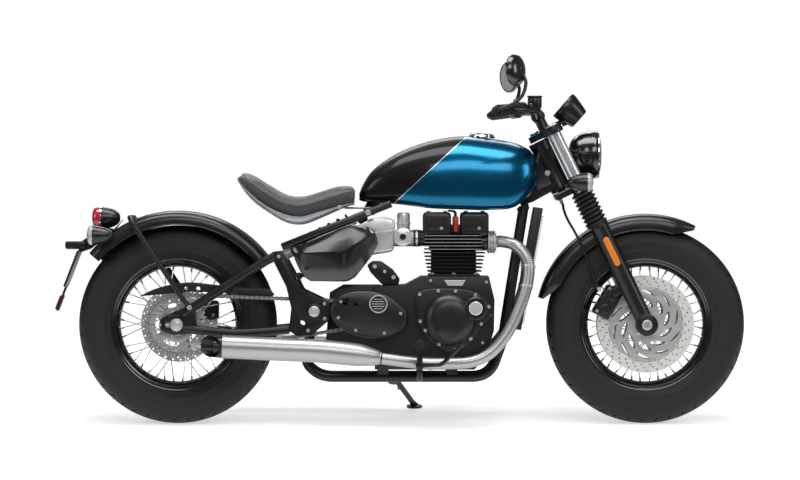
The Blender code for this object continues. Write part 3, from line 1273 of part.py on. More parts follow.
def make_stand_mount():
    """Lug on the left lower rail, with the pin that the side stand turns on."""
    lug = rod(STAND_PIVOT - STAND_AXIS * 0.0125, STAND_PIVOT - STAND_AXIS * 0.0005, 0.017, 16)
    strut = rod(STAND_PIVOT - STAND_AXIS * 0.0065, (STAND_PIVOT.x, CRADLE_Y, LOWER_RAIL_Z), 0.006, 8)
    pin = rod(STAND_PIVOT - STAND_AXIS * 0.006, STAND_PIVOT + STAND_AXIS * (STAND_EYE + 0.002), 0.0065, 16)
    head = rod(STAND_PIVOT + STAND_AXIS * (STAND_EYE + 0.0006),
               STAND_PIVOT + STAND_AXIS * (STAND_EYE + 0.004), 0.011, 12)
    return lug, strut, pin, head


def make_side_stand():
    """Leg that leans forward and outward to a round foot lying flat on the floor."""
    eye = rod(STAND_PIVOT, STAND_PIVOT + STAND_AXIS * STAND_EYE, 0.017, 16)
    bore = rod(STAND_PIVOT - STAND_AXIS * 0.01, STAND_PIVOT + STAND_AXIS * (STAND_EYE + 0.01), 0.0073, 16)
    foot = STAND_PIVOT + STAND_REACH
    raised = STAND_AXIS * (STAND_RADIUS + 0.0010)
    leg = rod(STAND_PIVOT + raised + STAND_REACH.normalized() * 0.012, foot + GROUND_UP * 0.0085,
              STAND_RADIUS, 12)
    pad = rod(foot, foot + GROUND_UP * STAND_PAD, 0.026, 18)
    return cut(union(eye, leg, pad), bore)


def build():
    chassis = make_empty("motorcycle", Matrix.Identity(4))
    steering = make_empty("steering_axis", STEERING, chassis)
    front_wheel = make_empty("front_wheel_axis", Matrix.Translation(FRONT_AXLE), steering)
    rear_wheel = make_empty("rear_wheel_axis", Matrix.Translation(REAR_AXLE), chassis)
    stand_turn = Vector((0.0, 0.0, 1.0)).rotation_difference(STAND_AXIS).to_matrix().to_4x4()
    stand = make_empty("side_stand_axis", Matrix.Translation(STAND_PIVOT) @ stand_turn, chassis)

    satin_black = make_material("satin_black_paint", (0.012, 0.012, 0.013), 0.38, 0.0)
    blue = make_material("blue_metallic_paint", (0.0, 0.135, 0.36), 0.22, 0.4)
    tyre_rubber = make_material("tyre_rubber", (0.025, 0.025, 0.026), 0.75, 0.0)
    grip_rubber = make_material("grip_rubber", (0.02, 0.02, 0.02), 0.7, 0.0)
    seat_cover = make_material("seat_cover", (0.045, 0.045, 0.05), 0.6, 0.0)
    steel = make_material("brushed_stainless", (0.50, 0.50, 0.49), 0.30, 1.0)
    alloy = make_material("machined_alloy", (0.45, 0.45, 0.45), 0.35, 1.0)
    chrome = make_material("chrome", (0.70, 0.70, 0.70), 0.08, 1.0)
    plastic = make_material("black_plastic", (0.018, 0.018, 0.019), 0.45, 0.0)
    chain_steel = make_material("chain_steel", (0.30, 0.30, 0.31), 0.40, 1.0)

    finish(make_neck(), "frame_neck", satin_black, chassis)
    finish(make_cradle(-1), "frame_cradle_right", satin_black, chassis)
    finish(union(make_cradle(1), *make_stand_mount()), "frame_cradle_left", satin_black, chassis)
    finish(make_front_axle(), "front_axle", chrome, steering)
    finish(make_rear_axle(), "rear_axle", chrome, chassis)
    finish(make_pivot_tube(), "swingarm_pivot", satin_black, chassis)
    finish(make_shock(), "rear_spring", satin_black, chassis)
    finish(make_electrics_box(), "electrics_box", plastic, chassis)
    for word, side in (("right", -1), ("left", 1)):
        finish(make_rear_tube(side), "frame_rear_" + word, satin_black, chassis)
        finish(make_cage(side), "cage_" + word, satin_black, chassis)
        finish(make_swingarm(side), "swingarm_" + word, satin_black, chassis)
        finish(make_side_panel(side), "side_panel_" + word, satin_black, chassis)
        finish(make_exhaust(side), "exhaust_" + word, steel, chassis)
        finish(make_footrest(side), "footrest_" + word, satin_black, chassis)
        finish(make_fork_leg(side), "fork_leg_" + word, satin_black, steering)
        finish(make_mirror(side), "mirror_" + word, satin_black, steering)
        finish(make_front_indicator(side), "front_indicator_" + word, plastic, steering)
        finish(make_disc(FRONT_AXLE, side * (FRONT_HUB_HALF + 0.003), FRONT_DISC_RADIUS, 0.034, 0.019, 6),
               "front_disc_" + word, alloy, front_wheel)
    finish(make_crankcase(), "crankcase", satin_black, chassis)
    finish(make_cylinders(), "cylinders", satin_black, chassis)
    finish(make_head(), "cylinder_head", satin_black, chassis)
    finish(make_clutch_cover(), "clutch_cover", satin_black, chassis)
    finish(make_sprocket_cover(), "sprocket_cover", satin_black, chassis)
    finish(make_intake(), "intake", alloy, chassis)
    finish(make_radiator(), "radiator", plastic, chassis)
    finish(make_tank(), "tank", blue, chassis)
    finish(make_tank_cap(), "tank_cap", chrome, chassis)
    finish(make_seat_pan(), "seat_pan", alloy, chassis)
    finish(make_seat_pad(), "seat_pad", seat_cover, chassis)
    finish(make_rear_guard(), "rear_mudguard", satin_black, chassis)
    finish(make_guard_stay(), "mudguard_stay", satin_black, chassis)
    finish(make_tail_lamp(), "tail_lamp", satin_black, chassis)
    finish(make_plate_carrier(), "plate_carrier", plastic, chassis)
    finish(make_chain(), "chain", chain_steel, chassis)
    finish(make_chain_guard(), "chain_guard", satin_black, chassis)
    finish(make_rear_caliper(), "rear_caliper", satin_black, chassis)
    finish(make_side_stand(), "side_stand", satin_black, stand)

    finish(make_lower_yoke(), "lower_yoke", satin_black, steering)
    finish(make_top_yoke(), "top_yoke", satin_black, steering)
    finish(make_handlebar(), "handlebar", grip_rubber, steering)
    finish(make_headlamp(), "headlamp", satin_black, steering)
    finish(make_speedometer(), "speedometer", satin_black, steering)
    finish(make_front_guard(), "front_mudguard", satin_black, steering)
    finish(make_brake_hose(), "brake_hose", plastic, steering)

    finish(make_tyre(FRONT_AXLE, FRONT_TYRE_WIDTH / 2), "front_tyre", tyre_rubber, front_wheel)
    finish(make_wire_wheel(FRONT_AXLE, FRONT_HUB_HALF, 0.040), "front_wheel", satin_black, front_wheel)
    finish(make_tyre(REAR_AXLE, REAR_TYRE_WIDTH / 2), "rear_tyre", tyre_rubber, rear_wheel)
    finish(make_wire_wheel(REAR_AXLE, REAR_HUB_HALF, 0.046), "rear_wheel", satin_black, rear_wheel)
    finish(make_disc(REAR_AXLE, REAR_DISC_Y, REAR_DISC_RADIUS, 0.030, 0.021, 5), "rear_disc", alloy,
           rear_wheel)
    finish(make_rear_sprocket(), "rear_sprocket", chain_steel, rear_wheel)
    return chassis


def lean_on_stand(chassis):
    """Leans the machine to its left and puts the origin under the middle of its box."""
    lean = Matrix.Rotation(-LEAN, 4, "X")
    corners = [lean @ vertex.co for piece in PARTS.objects if piece.type == "MESH"
               for vertex in piece.data.vertices]
    low = Vector([min(c[axis] for c in corners) for axis in range(3)])
    high = Vector([max(c[axis] for c in corners) for axis in range(3)])
    middle = (low + high) / 2
    chassis.matrix_world = Matrix.Translation((-middle.x, -middle.y, -low.z)) @ lean
    bpy.context.view_layer.update()


clear_scene()
PARTS = make_collection("bobber_motorcycle")
lean_on_stand(build())
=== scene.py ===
"""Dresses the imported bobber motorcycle: each piece is built over its solid and rides on its body."""

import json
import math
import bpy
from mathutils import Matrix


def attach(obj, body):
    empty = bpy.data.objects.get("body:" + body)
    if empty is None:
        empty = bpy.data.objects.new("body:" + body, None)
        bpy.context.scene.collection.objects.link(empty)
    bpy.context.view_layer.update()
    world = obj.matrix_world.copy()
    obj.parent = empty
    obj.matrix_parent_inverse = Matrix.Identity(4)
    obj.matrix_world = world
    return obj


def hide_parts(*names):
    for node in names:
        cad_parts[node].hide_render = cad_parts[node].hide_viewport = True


bl_info = {
    "name": "Bobber motorcycle",
    "version": (1, 0, 0),
    "blender": (4, 5, 0),
    "location": "View3D > Sidebar > Bobber",
    "description": "Builds the detailed pieces of a bobber motorcycle over its packed model",
    "category": "Object",
}

import bmesh
import bpy
from bpy.props import FloatProperty, FloatVectorProperty, IntProperty, PointerProperty
from mathutils import Matrix, Quaternion, Vector
from mathutils.bvhtree import BVHTree

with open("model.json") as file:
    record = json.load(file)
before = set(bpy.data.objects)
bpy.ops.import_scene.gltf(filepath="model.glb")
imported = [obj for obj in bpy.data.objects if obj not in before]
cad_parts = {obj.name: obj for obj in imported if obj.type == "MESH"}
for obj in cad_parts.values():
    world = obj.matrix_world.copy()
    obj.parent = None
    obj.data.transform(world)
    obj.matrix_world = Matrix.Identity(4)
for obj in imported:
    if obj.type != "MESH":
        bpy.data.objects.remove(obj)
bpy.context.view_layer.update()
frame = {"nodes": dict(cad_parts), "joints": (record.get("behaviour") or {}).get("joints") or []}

# The machine's own upright frame: X ahead of mid-wheelbase, Y to its left, Z above the tyres' foot
WHEELBASE = 1.500
TYRE_RADIUS = 0.318
LEAN = math.radians(7.0)
RAKE = math.radians(25.7)
FORK_OFFSET = 0.055
FRONT_AXLE = Vector((WHEELBASE / 2, 0.0, TYRE_RADIUS))
REAR_AXLE = Vector((-WHEELBASE / 2, 0.0, TYRE_RADIUS))
FORK_FORWARD = Vector((math.cos(RAKE), 0.0, math.sin(RAKE)))
STEERING = Matrix.Translation(FRONT_AXLE - FORK_FORWARD * FORK_OFFSET) @ Matrix.Rotation(-RAKE, 4, "Y")


def upright_to_row():
    """Where the leaning machine stands in the row frame, from its front wheel's joint."""
    spin = next(joint for joint in frame["joints"] if joint["name"] == "front_wheel_spin")
    lean = Matrix.Rotation(-LEAN, 4, "X")
    return Matrix.Translation(Vector(spin["pos_m"]) - lean @ FRONT_AXLE) @ lean


PLACE = upright_to_row()

# Wheels
RIM_SEAT = 0.2030
FLANGE_RADIUS = 0.2130
RIM_INNER = 0.184
FRONT_HUB_HALF = 0.050
REAR_HUB_HALF = 0.072
DISC_THICKNESS = 0.005
CHAIN_PITCH = 0.015875
GUARD_OUTSIDE = 0.363 + 0.0015
CHAIN_Y = -0.0905
REAR_TEETH = 38
FRONT_TEETH = 17
FRONT_SPROCKET = (-0.200, 0.350)

# Fork
LEG_SPACING = 0.105
TUBE_RADIUS = 0.0205
SLIDER_RADIUS = 0.0295
GAITER_RADIUS = 0.0335
SLIDER_TOP = 0.355
GAITER_TOP = 0.470
LOWER_YOKE_Z = 0.490
TOP_YOKE_Z = 0.690
YOKE_THICKNESS = 0.026

# Frame and engine
PIVOT = (-0.311, 0.361)
CAGE_APEX = (-0.425, 0.548)
REAR_TUBE_TOP = (-0.139, 0.676)
REAR_TUBE_FOOT = (-0.414, 0.566)
CASE_HALF = 0.145
CYLINDER_HALF = 0.122
CASE_TOP = 0.4725
BARREL_TOP = 0.5540
HEAD_TOP = 0.6040

MATERIALS = {}
GROUPS = {}
EVEN = (1.0, 1.0, 1.0)


# Meshes: every function gives a loose object in the upright frame


def from_bmesh(bm, matrix=None):
    """A loose object from a bmesh, moved by the matrix if one is given; the bmesh is freed."""
    if matrix is not None:
        bmesh.ops.transform(bm, matrix=matrix, verts=bm.verts)
    mesh = bpy.data.meshes.new("loose")
    bm.to_mesh(mesh)
    bm.free()
    made = bpy.data.objects.new("loose", mesh)
    bpy.context.scene.collection.objects.link(made)
    return made


def evaluated(source):
    """The object's finished mesh as a new plain object; the source is dropped."""
    bpy.context.view_layer.update()
    graph = bpy.context.evaluated_depsgraph_get()
    mesh = bpy.data.meshes.new_from_object(source.evaluated_get(graph), depsgraph=graph)
    mesh.transform(source.matrix_world)
    made = bpy.data.objects.new("loose", mesh)
    bpy.context.scene.collection.objects.link(made)
    bpy.data.objects.remove(source, do_unlink=True)
    return made


def box(low, high, bevel=0.0, matrix=None, segments=3):
    """A block between two corners, with rounded edges where a bevel is given."""
    low, high = Vector(low), Vector(high)
    bm = bmesh.new()
    bmesh.ops.create_cube(bm, size=1.0)
    bmesh.ops.scale(bm, vec=high - low, verts=bm.verts)
    bmesh.ops.translate(bm, vec=(low + high) / 2, verts=bm.verts)
    if bevel:
        bmesh.ops.bevel(bm, geom=bm.edges[:], offset=bevel, segments=segments, profile=0.5, affect="EDGES")
    return from_bmesh(bm, matrix)


def lathe(profile, centre, direction, sides=48, ring=False):
    """A solid turned about a line: profile holds (radius, distance along the line)."""
    turn = Vector((0.0, 0.0, 1.0)).rotation_difference(Vector(direction)).to_matrix()
    centre = Vector(centre)
    bm = bmesh.new()
    rows = []
    for radius, along in profile:
        count = 1 if radius < 1e-6 else sides
        rows.append([bm.verts.new(turn @ Vector((
            radius * math.cos(2 * math.pi * i / sides), radius * math.sin(2 * math.pi * i / sides), along))
            + centre) for i in range(count)])
    pairs = list(zip(rows, rows[1:])) + ([(rows[-1], rows[0])] if ring else [])
    for first, second in pairs:
        for i in range(sides):
            j = (i + 1) % sides
            corners = [first[i % len(first)], first[j % len(first)], second[j % len(second)],
                       second[i % len(second)]]
            corners = list(dict.fromkeys(corners))
            if len(corners) > 2:
                bm.faces.new(corners)
    if not ring:
        for row in (rows[0], rows[-1]):
            if len(row) > 2:
                bm.faces.new(row)
    bmesh.ops.recalc_face_normals(bm, faces=bm.faces)
    return from_bmesh(bm)


def rod(start, end, radius, sides=32, end_radius=None, chamfer=0.0):
    """A round bar between two points, with softened ends where a chamfer is given."""
    start, end = Vector(start), Vector(end)
    length = (end - start).length
    last = radius if end_radius is None else end_radius
    profile = [(0.0, 0.0), (radius - chamfer, 0.0)]
    if chamfer:
        profile += [(radius - chamfer * 0.29, chamfer * 0.29), (radius, chamfer)]
        profile += [(last, length - chamfer), (last - chamfer * 0.29, length - chamfer * 0.29)]
    profile += [(last - chamfer, length), (0.0, length)]
    return lathe(profile, start, end - start, sides)


def bar(points, radius, detail=5, scales=None):
    """A round tube along its points, with a scale of the radius at each where it changes."""
    curve = bpy.data.curves.new("bar", "CURVE")
    curve.dimensions = "3D"
    curve.bevel_depth = radius
    curve.bevel_resolution = detail
    curve.use_fill_caps = True
    spline = curve.splines.new("POLY")
    spline.points.add(len(points) - 1)
    for index, (point, place) in enumerate(zip(spline.points, points)):
        point.co = (*place, 1.0)
        point.radius = scales[index] if scales else 1.0
    source = bpy.data.objects.new("bar", curve)
    bpy.context.scene.collection.objects.link(source)
    return welded(evaluated(source))


def welded(source):
    """The same object with doubled vertices merged and its faces turned outwards."""
    bm = bmesh.new()
    bm.from_mesh(source.data)
    bmesh.ops.remove_doubles(bm, verts=bm.verts, dist=0.00002)
    bmesh.ops.recalc_face_normals(bm, faces=bm.faces)
    bm.to_mesh(source.data)
    bm.free()
    return source


def plate(outline, y_low, y_high, holes=(), bevel=0.0):
    """A flat outline in X and Z, with holes and softened edges, between two Y values."""
    curve = bpy.data.curves.new("outline", "CURVE")
    curve.dimensions = "2D"
    curve.fill_mode = "BOTH"
    curve.extrude = (y_high - y_low) / 2
    for loop in (outline, *holes):
        spline = curve.splines.new("POLY")
        spline.points.add(len(loop) - 1)
        for point, (x, z) in zip(spline.points, loop):
            point.co = (x, z, 0.0, 1.0)
        spline.use_cyclic_u = True
    source = bpy.data.objects.new("outline", curve)
    bpy.context.scene.collection.objects.link(source)
    source.matrix_world = (
        Matrix.Translation((0.0, (y_low + y_high) / 2, 0.0)) @ Matrix.Rotation(math.pi / 2, 4, "X"))
    made = welded(evaluated(source))
    return softened(made, bevel) if bevel else made


def softened(source, width, segments=3, angle=32.0):
    """The same solid with its sharp edges rounded."""
    bm = bmesh.new()
    bm.from_mesh(source.data)
    bmesh.ops.remove_doubles(bm, verts=bm.verts, dist=0.00003)
    bmesh.ops.dissolve_limit(bm, angle_limit=math.radians(0.8), verts=bm.verts, edges=bm.edges)
    bm.to_mesh(source.data)
    bm.free()
    edges = source.modifiers.new("Soft edges", "BEVEL")
    edges.width = width
    edges.segments = segments
    edges.limit_method = "ANGLE"
    edges.angle_limit = math.radians(angle)
    edges.use_clamp_overlap = True
    edges.miter_outer = "MITER_ARC"
    return evaluated(source)


def loft(sections, closed_ends=True):
    """A surface through sections that all have the same count of points."""
    bm = bmesh.new()
    rings = [[bm.verts.new(point) for point in section] for section in sections]
    for ring, following in zip(rings, rings[1:]):
        for index in range(len(ring)):
            after = (index + 1) % len(ring)
            bm.faces.new((ring[index], ring[after], following[after], following[index]))
    if closed_ends:
        bm.faces.new(rings[0])
        bm.faces.new(rings[-1])
    bmesh.ops.recalc_face_normals(bm, faces=bm.faces)
    return from_bmesh(bm)


def subdivided(source, levels=1):
    """A smooth subdivision of the object."""
    finer = source.modifiers.new("Finer", "SUBSURF")
    finer.levels = levels
    finer.render_levels = levels
    return evaluated(source)


def boolean(base, others, operation):
    """The base after one exact boolean with each of the others, which are dropped."""
    for other in others:
        change = base.modifiers.new("Change", "BOOLEAN")
        change.operation = operation
        change.object = other
        change.solver = "EXACT"
    made = evaluated(base)
    for other in others:
        bpy.data.objects.remove(other, do_unlink=True)
    return made


def cut(base, *others):
    """The base without the others."""
    return boolean(base, others, "DIFFERENCE")


def union(base, *others):
    """The base joined with the others into one solid."""
    return boolean(base, others, "UNION")


def in_steering(source):
    """Moves an object from the fork's own frame to the machine's."""
    source.data.transform(STEERING)
    return source


def circle(centre, radius, count, start=0.0):
    """Points of a circle in a plane."""
    return [(centre[0] + radius * math.cos(start + 2 * math.pi * i / count),
             centre[1] + radius * math.sin(start + 2 * math.pi * i / count)) for i in range(count)]


def rounded(points, radius, steps=10):
    """The same route with each inner corner bent to an arc of about this radius."""
    points = [Vector(point) for point in points]
    route = [points[0]]
    for before, corner, after in zip(points, points[1:], points[2:]):
        back, ahead = (before - corner), (after - corner)
        half = back.angle(ahead) / 2
        reach = min(radius / max(math.tan(half), 0.05), 0.45 * back.length, 0.45 * ahead.length)
        start, end = corner + back.normalized() * reach, corner + ahead.normalized() * reach
        for step in range(steps + 1):
            t = step / steps
            route.append(start * (1 - t) ** 2 + corner * 2 * t * (1 - t) + end * t ** 2)
    route.append(points[-1])
    return route


def smooth(points, per_span=6):
    """Points read from a smooth curve through the route's own points; works on tuples of any length."""
    points = [Vector(point) for point in points]
    padded = [points[0] * 2 - points[1], *points, points[-1] * 2 - points[-2]]
    route = []
    for a, b, c, d in zip(padded, padded[1:], padded[2:], padded[3:]):
        for step in range(per_span):
            t = step / per_span
            route.append(0.5 * (
                2 * b + (c - a) * t + (2 * a - 5 * b + 4 * c - d) * t ** 2
                + (3 * b - a - 3 * c + d) * t ** 3))
    route.append(points[-1])
    return route


def painted(source, *names):
    """Gives a loose object its material; the name is a key of MATERIALS."""
    source.data.materials.clear()
    for name in names:
        source.data.materials.append(MATERIALS[name])
    return source


def coated(name, *sources):
    """Gives several loose objects the same material."""
    return [painted(source, name) for source in sources]


def copy_of(node):
    """A welded copy of a CAD node's solid, in the upright frame."""
    mesh = frame["nodes"][node].data.copy()
    mesh.transform(frame["nodes"][node].matrix_world)
    mesh.transform(PLACE.inverted())
    made = bpy.data.objects.new("loose", mesh)
    bpy.context.scene.collection.objects.link(made)
    return welded(made)


def piece(name, body, members, replaces=(), sharp=38.0):
    """Joins the members into one finished piece in the row frame, which rides on its body."""
    bm = bmesh.new()
    materials = []
    for member in members:
        base = len(materials)
        materials.extend(slot_.material for slot_ in member.material_slots)
        start = len(bm.faces)
        bm.from_mesh(member.data)
        bm.faces.ensure_lookup_table()
        for face in bm.faces[start:]:
            face.material_index += base
        bpy.data.objects.remove(member, do_unlink=True)
    used = list(dict.fromkeys(materials))
    for face in bm.faces:
        face.material_index = used.index(materials[face.material_index])
    bmesh.ops.transform(bm, matrix=PLACE, verts=bm.verts)
    mesh = bpy.data.meshes.new(name)
    bm.to_mesh(mesh)
    bm.free()
    for material in used:
        mesh.materials.append(material)
    mesh.shade_smooth()
    mesh.set_sharp_from_angle(angle=math.radians(sharp))
    made = bpy.data.objects.new(name, mesh)
    bpy.context.scene.collection.objects.link(made)
    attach(made, body)
    if replaces:
        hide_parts(*replaces)
    return made


# Geometry Nodes: one tree repeats a pattern at points, one lays round bars along edges


def set_input(modifier, name, value):
    """Sets a modifier's input by the identifier of the socket with that name."""
    item = next(entry for entry in modifier.node_group.interface.items_tree if entry.name == name)
    modifier[item.identifier] = value


def new_group(name, sockets):
    """An empty geometry node group with these inputs and one geometry output."""
    group = bpy.data.node_groups.new(name, "GeometryNodeTree")
    group.interface.new_socket("Geometry", in_out="INPUT", socket_type="NodeSocketGeometry")
    for label, kind, default in sockets:
        made = group.interface.new_socket(label, in_out="INPUT", socket_type=kind)
        if default is not None:
            made.default_value = default
    group.interface.new_socket("Geometry", in_out="OUTPUT", socket_type="NodeSocketGeometry")
    GROUPS[name] = group
    return group


def add(tree, kind, settings=(), links=(), **inputs):
    """Adds a node with its settings, socket values and links from other nodes' outputs."""
    node = tree.nodes.new(kind)
    for key, value in dict(settings).items():
        setattr(node, key, value)
    for key, value in inputs.items():
        node.inputs[key.replace("_", " ")].default_value = value
    for socket, source in dict(links).items():
        tree.links.new(source, node.inputs[socket])
    return node


def build_repeat_group():
    """Places a pattern object at every point, turned by the point's own rotation."""
    group = new_group("repeat_at_points", [
        ("Pattern", "NodeSocketObject", None), ("Scale", "NodeSocketFloat", 1.0),
        ("Material", "NodeSocketMaterial", None)])
    entry = add(group, "NodeGroupInput")
    turn = add(group, "GeometryNodeInputNamedAttribute", {"data_type": "QUATERNION"}, Name="turn")
    pattern = add(group, "GeometryNodeObjectInfo", {"transform_space": "ORIGINAL"},
                  {"Object": entry.outputs["Pattern"]})
    spread = add(group, "GeometryNodeInstanceOnPoints", (), {
        "Points": entry.outputs["Geometry"], "Instance": pattern.outputs["Geometry"],
        "Rotation": turn.outputs["Attribute"], "Scale": entry.outputs["Scale"]})
    solid = add(group, "GeometryNodeRealizeInstances", (), {"Geometry": spread.outputs["Instances"]})
    dressed = add(group, "GeometryNodeSetMaterial", (), {
        "Geometry": solid.outputs["Geometry"], "Material": entry.outputs["Material"]})
    add(group, "NodeGroupOutput", (), {"Geometry": dressed.outputs["Geometry"]})


def build_bars_group():
    """Lays a round bar of one radius along every run of edges."""
    group = new_group("bars_on_edges", [
        ("Radius", "NodeSocketFloat", 0.002), ("Sides", "NodeSocketInt", 8),
        ("Material", "NodeSocketMaterial", None)])
    entry = add(group, "NodeGroupInput")
    line = add(group, "GeometryNodeMeshToCurve", (), {"Mesh": entry.outputs["Geometry"]})
    ring = add(group, "GeometryNodeCurvePrimitiveCircle", (), {
        "Radius": entry.outputs["Radius"], "Resolution": entry.outputs["Sides"]})
    swept = add(group, "GeometryNodeCurveToMesh", (), {
        "Curve": line.outputs["Curve"], "Profile Curve": ring.outputs["Curve"]}, Fill_Caps=True)
    solid = add(group, "GeometryNodeRealizeInstances", (), {"Geometry": swept.outputs["Mesh"]})
    dressed = add(group, "GeometryNodeSetMaterial", (), {
        "Geometry": solid.outputs["Geometry"], "Material": entry.outputs["Material"]})
    add(group, "NodeGroupOutput", (), {"Geometry": dressed.outputs["Geometry"]})


def repeated(pattern, placings, material, scale=1.0):
    """The pattern at each (place, direction of its Z, spin) as one loose mesh, by the node tree."""
    mesh = bpy.data.meshes.new("points")
    mesh.from_pydata([tuple(place) for place, _, _ in placings], [], [])
    turn = mesh.attributes.new("turn", "QUATERNION", "POINT")
    up = Vector((0.0, 0.0, 1.0))
    for index, (_, facing, spin) in enumerate(placings):
        facing = Vector(facing).normalized()
        turn.data[index].value = up.rotation_difference(facing) @ Quaternion(up, spin)
    source = bpy.data.objects.new("points", mesh)
    bpy.context.scene.collection.objects.link(source)
    change = source.modifiers.new("Repeat", "NODES")
    change.node_group = GROUPS["repeat_at_points"]
    set_input(change, "Pattern", pattern)
    set_input(change, "Scale", scale)
    set_input(change, "Material", MATERIALS[material])
    made = evaluated(source)
    bpy.data.objects.remove(pattern, do_unlink=True)
    return painted(made, material)


def strung(lines, radius, material, sides=8):
    """Round bars along several lines of points as one loose mesh, by the node tree."""
    verts, edges = [], []
    for line in lines:
        first = len(verts)
        verts.extend(tuple(point) for point in line)
        edges.extend((first + i, first + i + 1) for i in range(len(line) - 1))
    mesh = bpy.data.meshes.new("lines")
    mesh.from_pydata(verts, edges, [])
    source = bpy.data.objects.new("lines", mesh)
    bpy.context.scene.collection.objects.link(source)
    change = source.modifiers.new("Bars", "NODES")
    change.node_group = GROUPS["bars_on_edges"]
    set_input(change, "Radius", radius)
    set_input(change, "Sides", sides)
    set_input(change, "Material", MATERIALS[material])
    return painted(welded(evaluated(source)), material)


def hex_bolt(radius, height):
    """A flanged hexagon bolt head that stands up along Z."""
    flange = lathe([(0.0, 0.0), (radius * 1.25, 0.0), (radius * 1.25, height * 0.25), (0.0, height * 0.25)],
                   (0, 0, 0), (0, 0, 1), 16)
    head = lathe([(0.0, height * 0.2), (radius, height * 0.2), (radius, height * 0.9),
                  (radius * 0.88, height), (0.0, height)], (0, 0, 0), (0, 0, 1), 6)
    return joined(flange, head)


def socket_bolt(radius, height):
    """A round cap screw with its hexagon socket, that stands up along Z."""
    return lathe([(0.0, height * 0.35), (radius * 0.5, height * 0.35), (radius * 0.5, height),
                  (radius * 0.9, height), (radius, height * 0.85), (radius, 0.0), (0.0, 0.0)],
                 (0, 0, 0), (0, 0, 1), 12)


def joined(*members):
    """One loose object from several that share the first one's materials."""
    materials = [entry.material for entry in members[0].material_slots]
    bm = bmesh.new()
    for member in members:
        bm.from_mesh(member.data)
        bpy.data.objects.remove(member, do_unlink=True)
    made = from_bmesh(bm)
    for material in materials:
        made.data.materials.append(material)
    return made


# Materials: each is named for what the real one is made of and how it was finished


def linear(code):
    """An sRGB hex colour as linear RGBA."""
    values = [int(code[i:i + 2], 16) / 255 for i in (1, 3, 5)]
    return tuple(v / 12.92 if v <= 0.04045 else ((v + 0.055) / 1.055) ** 2.4 for v in values) + (1.0,)


def new_material(name, colour, roughness, metallic=0.0, **shader_values):
    """A material with its Principled shader set; returns the tree and the shader."""
    made = bpy.data.materials.new(name)
    made.use_nodes = True
    made.diffuse_color = linear(colour)
    shader = made.node_tree.nodes["Principled BSDF"]
    shader.inputs["Base Color"].default_value = linear(colour)
    shader.inputs["Roughness"].default_value = roughness
    shader.inputs["Metallic"].default_value = metallic
    for key, value in shader_values.items():
        shader.inputs[key.replace("_", " ")].default_value = value
    MATERIALS[name] = made
    return made.node_tree, shader


def object_place(tree, scale=EVEN):
    """Object coordinates stretched along the axes."""
    place = add(tree, "ShaderNodeTexCoord")
    mapping = add(tree, "ShaderNodeMapping", (), {"Vector": place.outputs["Object"]}, Scale=scale)
    return mapping.outputs["Vector"]


def add_grain(tree, shader, size_mm, depth_mm, scale=EVEN, detail=3.0):
    """Fine bumps of about this size, from noise."""
    noise = add(tree, "ShaderNodeTexNoise", (), {"Vector": object_place(tree, scale)},
                Scale=1000.0 / size_mm, Detail=detail)
    bump = add(tree, "ShaderNodeBump", (), {"Height": noise.outputs["Fac"]},
               Distance=depth_mm / 1000.0, Strength=1.0)
    tree.links.new(bump.outputs["Normal"], shader.inputs["Normal"])
    return noise


def vary_roughness(tree, shader, low, high, size_mm, scale=EVEN):
    """Patches that are a little duller or brighter, as handling and dust leave."""
    noise = add(tree, "ShaderNodeTexNoise", (), {"Vector": object_place(tree, scale)},
                Scale=1000.0 / size_mm, Detail=4.0)
    spread = add(tree, "ShaderNodeMapRange", (), {"Value": noise.outputs["Fac"]},
                 From_Min=0.3, From_Max=0.7, To_Min=low, To_Max=high)
    tree.links.new(spread.outputs["Result"], shader.inputs["Roughness"])


def vary_colour(tree, shader, first, second, size_mm, scale=EVEN):
    """Two close colours in soft patches."""
    noise = add(tree, "ShaderNodeTexNoise", (), {"Vector": object_place(tree, scale)},
                Scale=1000.0 / size_mm, Detail=5.0)
    mix = add(tree, "ShaderNodeMix", {"data_type": "RGBA"})
    mix.inputs[6].default_value = linear(first)
    mix.inputs[7].default_value = linear(second)
    tree.links.new(noise.outputs["Fac"], mix.inputs[0])
    tree.links.new(mix.outputs[2], shader.inputs["Base Color"])
    return mix


def finish(name, colour, roughness, metallic=0.0, grain=(), patches=(), colours=(), **shader_values):
    """A material with grain (mm, mm deep), duller patches (low, high, mm) and two colours over some mm."""
    tree, shader = new_material(name, colour, roughness, metallic, **shader_values)
    if colours:
        vary_colour(tree, shader, *colours)
    if grain:
        add_grain(tree, shader, *grain)
    if patches:
        vary_roughness(tree, shader, *patches)
    return tree, shader


def make_coatings():
    """Powder coat, enamel and lacquer."""
    # Powder-coated steel, baked: a faint orange peel and a soft sheen
    finish("satin_powder_coat", "#0e0e0e", 0.36, grain=(3.0, 0.03), patches=(0.30, 0.42, 60.0),
           Specular_IOR_Level=0.35, Coat_Weight=0.10, Coat_Roughness=0.20)
    # Gloss black enamel under clear lacquer: deep black, sharp highlights
    finish("gloss_black_enamel", "#070708", 0.24, patches=(0.18, 0.27, 90.0),
           Coat_Weight=0.8, Coat_Roughness=0.12)
    # Satin black lacquer of the mudguards: broad soft highlights
    finish("satin_black_lacquer", "#0a0a0b", 0.38, grain=(2.5, 0.012), patches=(0.30, 0.40, 70.0),
           Specular_IOR_Level=0.4, Coat_Weight=0.25, Coat_Roughness=0.20)
    make_tank_paint()
    # Cast aluminium with black engine paint: sand-cast grain under the paint
    finish("black_cast_engine", "#0e0e0f", 0.38, grain=(1.8, 0.05, EVEN, 5.0),
           Specular_IOR_Level=0.40, Coat_Weight=0.15, Coat_Roughness=0.25)


